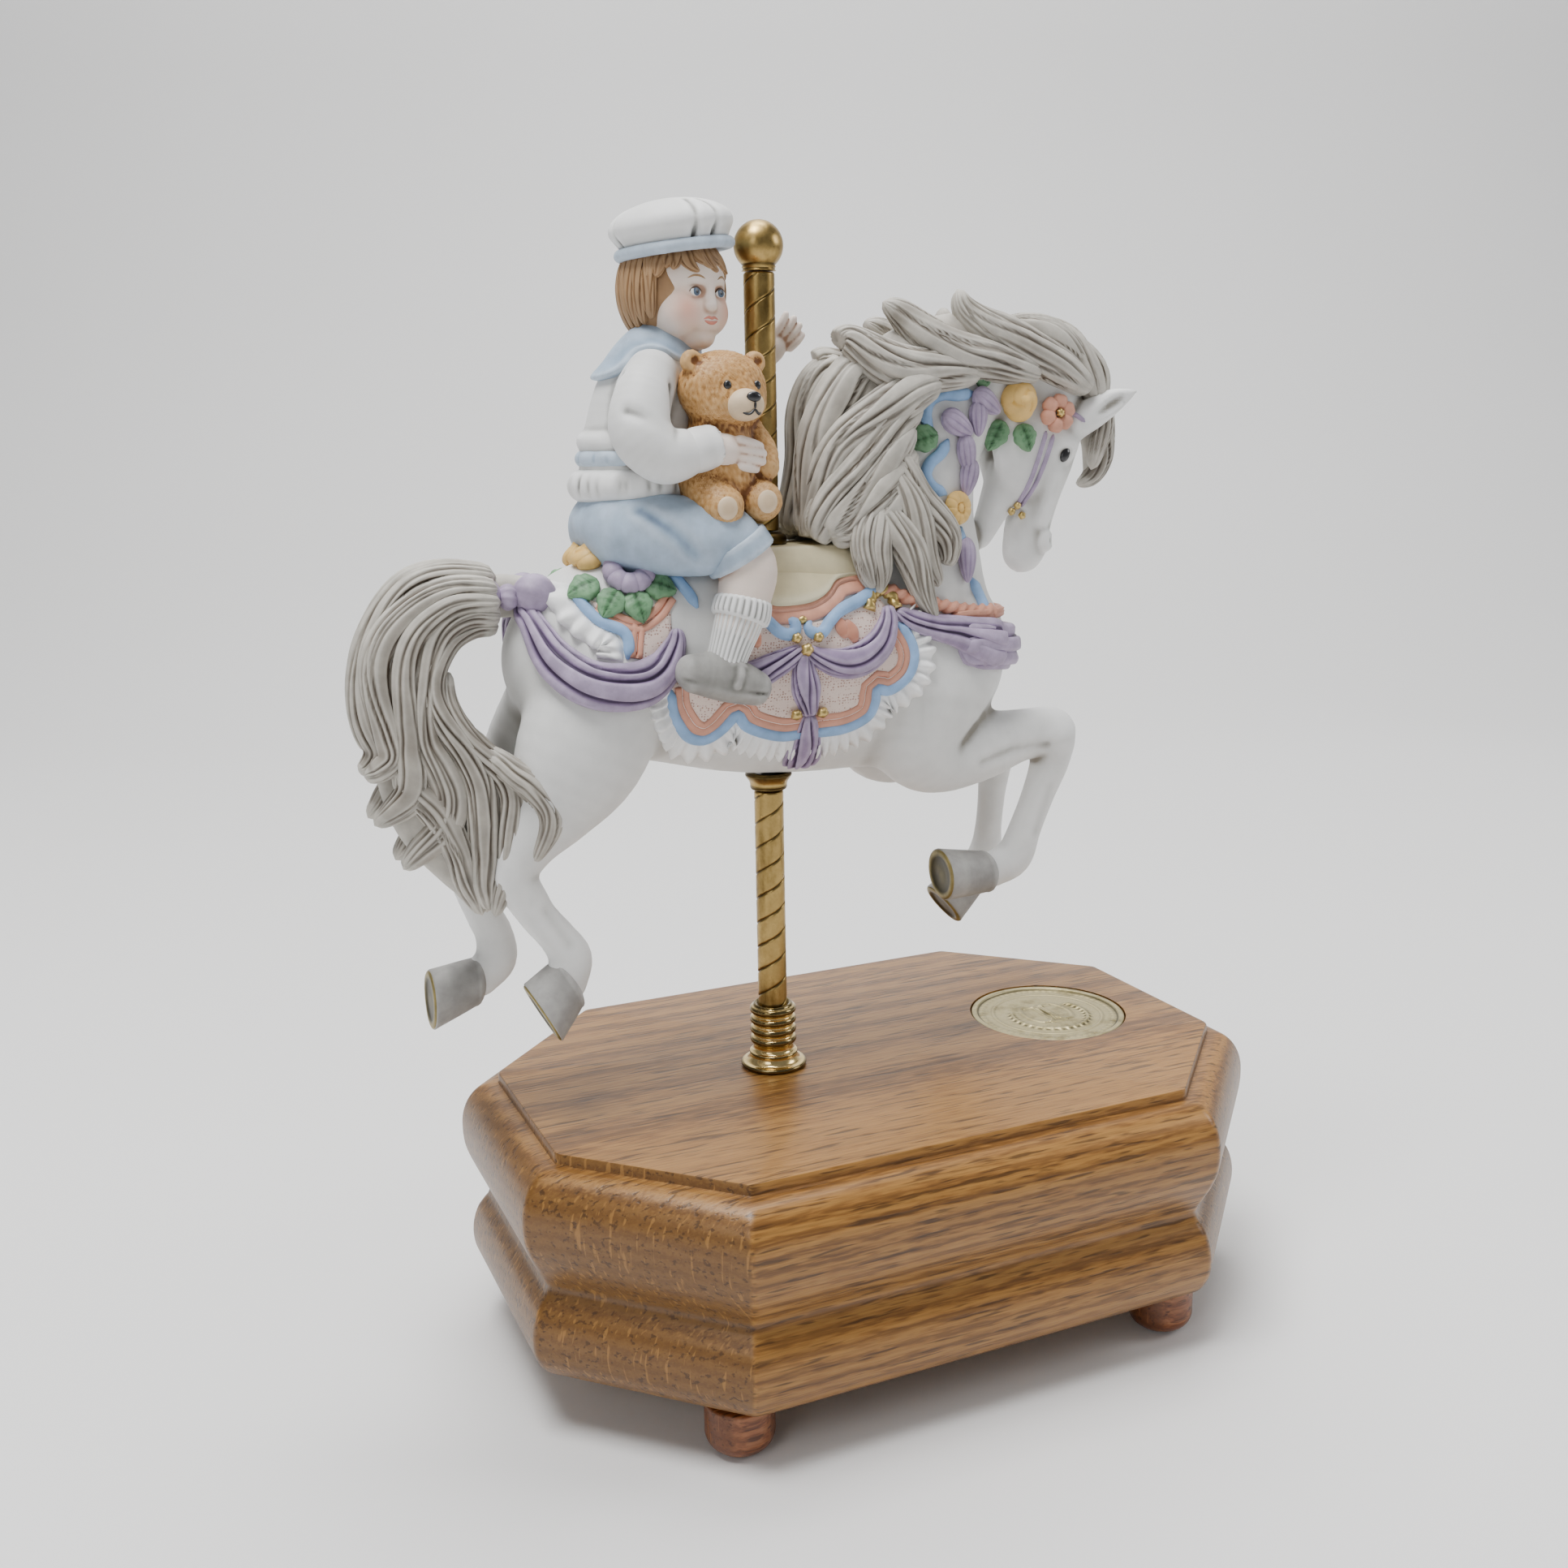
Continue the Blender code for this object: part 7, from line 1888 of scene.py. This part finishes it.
def feet():
    """Turned buttons, each with the dowel that holds it in the base."""
    for i in range(1, 5):
        bottom, top = level(f"foot_{i}")
        shoulder = bottom + FOOT_HEIGHT - 0.3
        edge = [(0.01, top), (2.6, top), (3.0, top - 0.4), (3.0, shoulder), (8.2, shoulder)]
        edge += arc((8.2, shoulder - 0.7), 0.7, 90, 0, 6) + arc((3.9, bottom + 5.4), 5, 8, -76, 16)
        edge += [(4.4, bottom + 0.02), (0.01, bottom)]
        turned(f"foot_{i}", f"foot_{i}_turned", edge, FOOT_OAK, 64, False, spot(f"foot_{i}"),
               body="base", slot="foot_oak")


brasses()
medallion()
base()
feet()

# ---- What stays as in the frame -----------------------------------------------------------

STEEL_NODES = ("pole_rod", "guide_pin", "heart_cam", "cylinder_arbor", "comb", "comb_screw_1",
               "comb_screw_2", "mainspring", "winding_arbor", "ratchet_wheel", "ratchet_click",
               "governor_fan", "cover_screw_1", "cover_screw_2", "cover_screw_3", "cover_screw_4",
               "movement_screw_1", "movement_screw_2", "movement_screw_3")


def finish_frame_nodes():
    for node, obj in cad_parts.items():
        material = STEEL if node in STEEL_NODES else BOARD if node == "bottom_cover" else BRASS
        obj.data.materials.clear()
        obj.data.materials.append(material)


finish_frame_nodes()

# ---- The shot -----------------------------------------------------------------------------

CAMERA_PLACE = (-0.1808, -0.38165, 0.24539)
CAMERA_LENS = 36.16
CAMERA_DOWN, CAMERA_ROLL, CAMERA_YAW = 12.3502, -0.97334, 24.0182


def camera():
    data = bpy.data.cameras.new("camera")
    data.lens = CAMERA_LENS
    data.sensor_width = 36
    data.clip_start = 0.01
    yaw = Matrix.Rotation(math.radians(-CAMERA_YAW), 4, "Z")
    down = Matrix.Rotation(math.radians(90 - CAMERA_DOWN), 4, "X")
    roll = Matrix.Rotation(math.radians(CAMERA_ROLL), 4, "Z")
    view = in_scene("camera", data)
    view.matrix_world = Matrix.Translation(CAMERA_PLACE) @ yaw @ down @ roll
    bpy.context.scene.camera = view


FRONT_REACH, FLAT_REACH, BEND, WALL, HALF_WIDE = -3.5, 0.9, 0.7, 3.0, 4.0


def floor():
    """A pale sweep: flat under the object, curving up far behind it."""
    look = Look("floor", Roughness=0.75)
    cloud = look.ramp(look.noise(1.5, 2), (0.3, (0.80, 0.795, 0.785)), (0.7, (0.83, 0.825, 0.82)))
    look.give(look.shader, {"Base Color": cloud})
    turn = math.radians(CAMERA_YAW)
    away = np.array([math.sin(turn), math.cos(turn), 0])
    across = np.array([math.cos(turn), -math.sin(turn), 0])
    line = [(FRONT_REACH, 0.0), (0.0, 0.0)] + arc((FLAT_REACH, BEND), BEND, -90, 0, 24)
    line.append((FLAT_REACH + BEND, WALL))
    verts = [away * d + across * w + np.array([0, 0, z])
             for d, z in line for w in (-HALF_WIDE, HALF_WIDE)]
    faces = [(2 * i, 2 * i + 1, 2 * i + 3, 2 * i + 2) for i in range(len(line) - 1)]
    mesh = new_mesh("floor", verts, faces)
    mesh.shade_smooth()
    mesh.materials.append(look.material)
    in_scene("floor", mesh)


def softbox(name, place, target, size, power):
    data = bpy.data.lights.new(name, "AREA")
    data.size = size
    data.energy = power
    light = in_scene(name, data)
    light.location = place
    light.rotation_euler = (Vector(target) - Vector(place)).to_track_quat("-Z", "Y").to_euler()


MIDDLE = (0, 0, 0.14)
SKY, SKY_STRENGTH = (0.88, 0.90, 0.94, 1), 0.25
# Name, place, target, size and power.
LIGHTS = [
    ("key", (-0.32, -0.16, 1.2), MIDDLE, 0.45, 15.5),
    ("front", (-0.8, -0.6, 0.6), MIDDLE, 0.4, 1.8),
    ("side", (0.9, -0.35, 0.6), MIDDLE, 0.4, 3),
    ("backdrop", (0.3, 0.6, 2.2), (0.7, 1.5, 0.6), 1.2, 45),
]


def studio():
    world = bpy.data.worlds.new("studio")
    bpy.context.scene.world = world
    world.use_nodes = True
    sky = world.node_tree.nodes["Background"].inputs
    sky["Color"].default_value, sky["Strength"].default_value = SKY, SKY_STRENGTH
    for light in LIGHTS:
        softbox(*light)


camera()
floor()
studio()
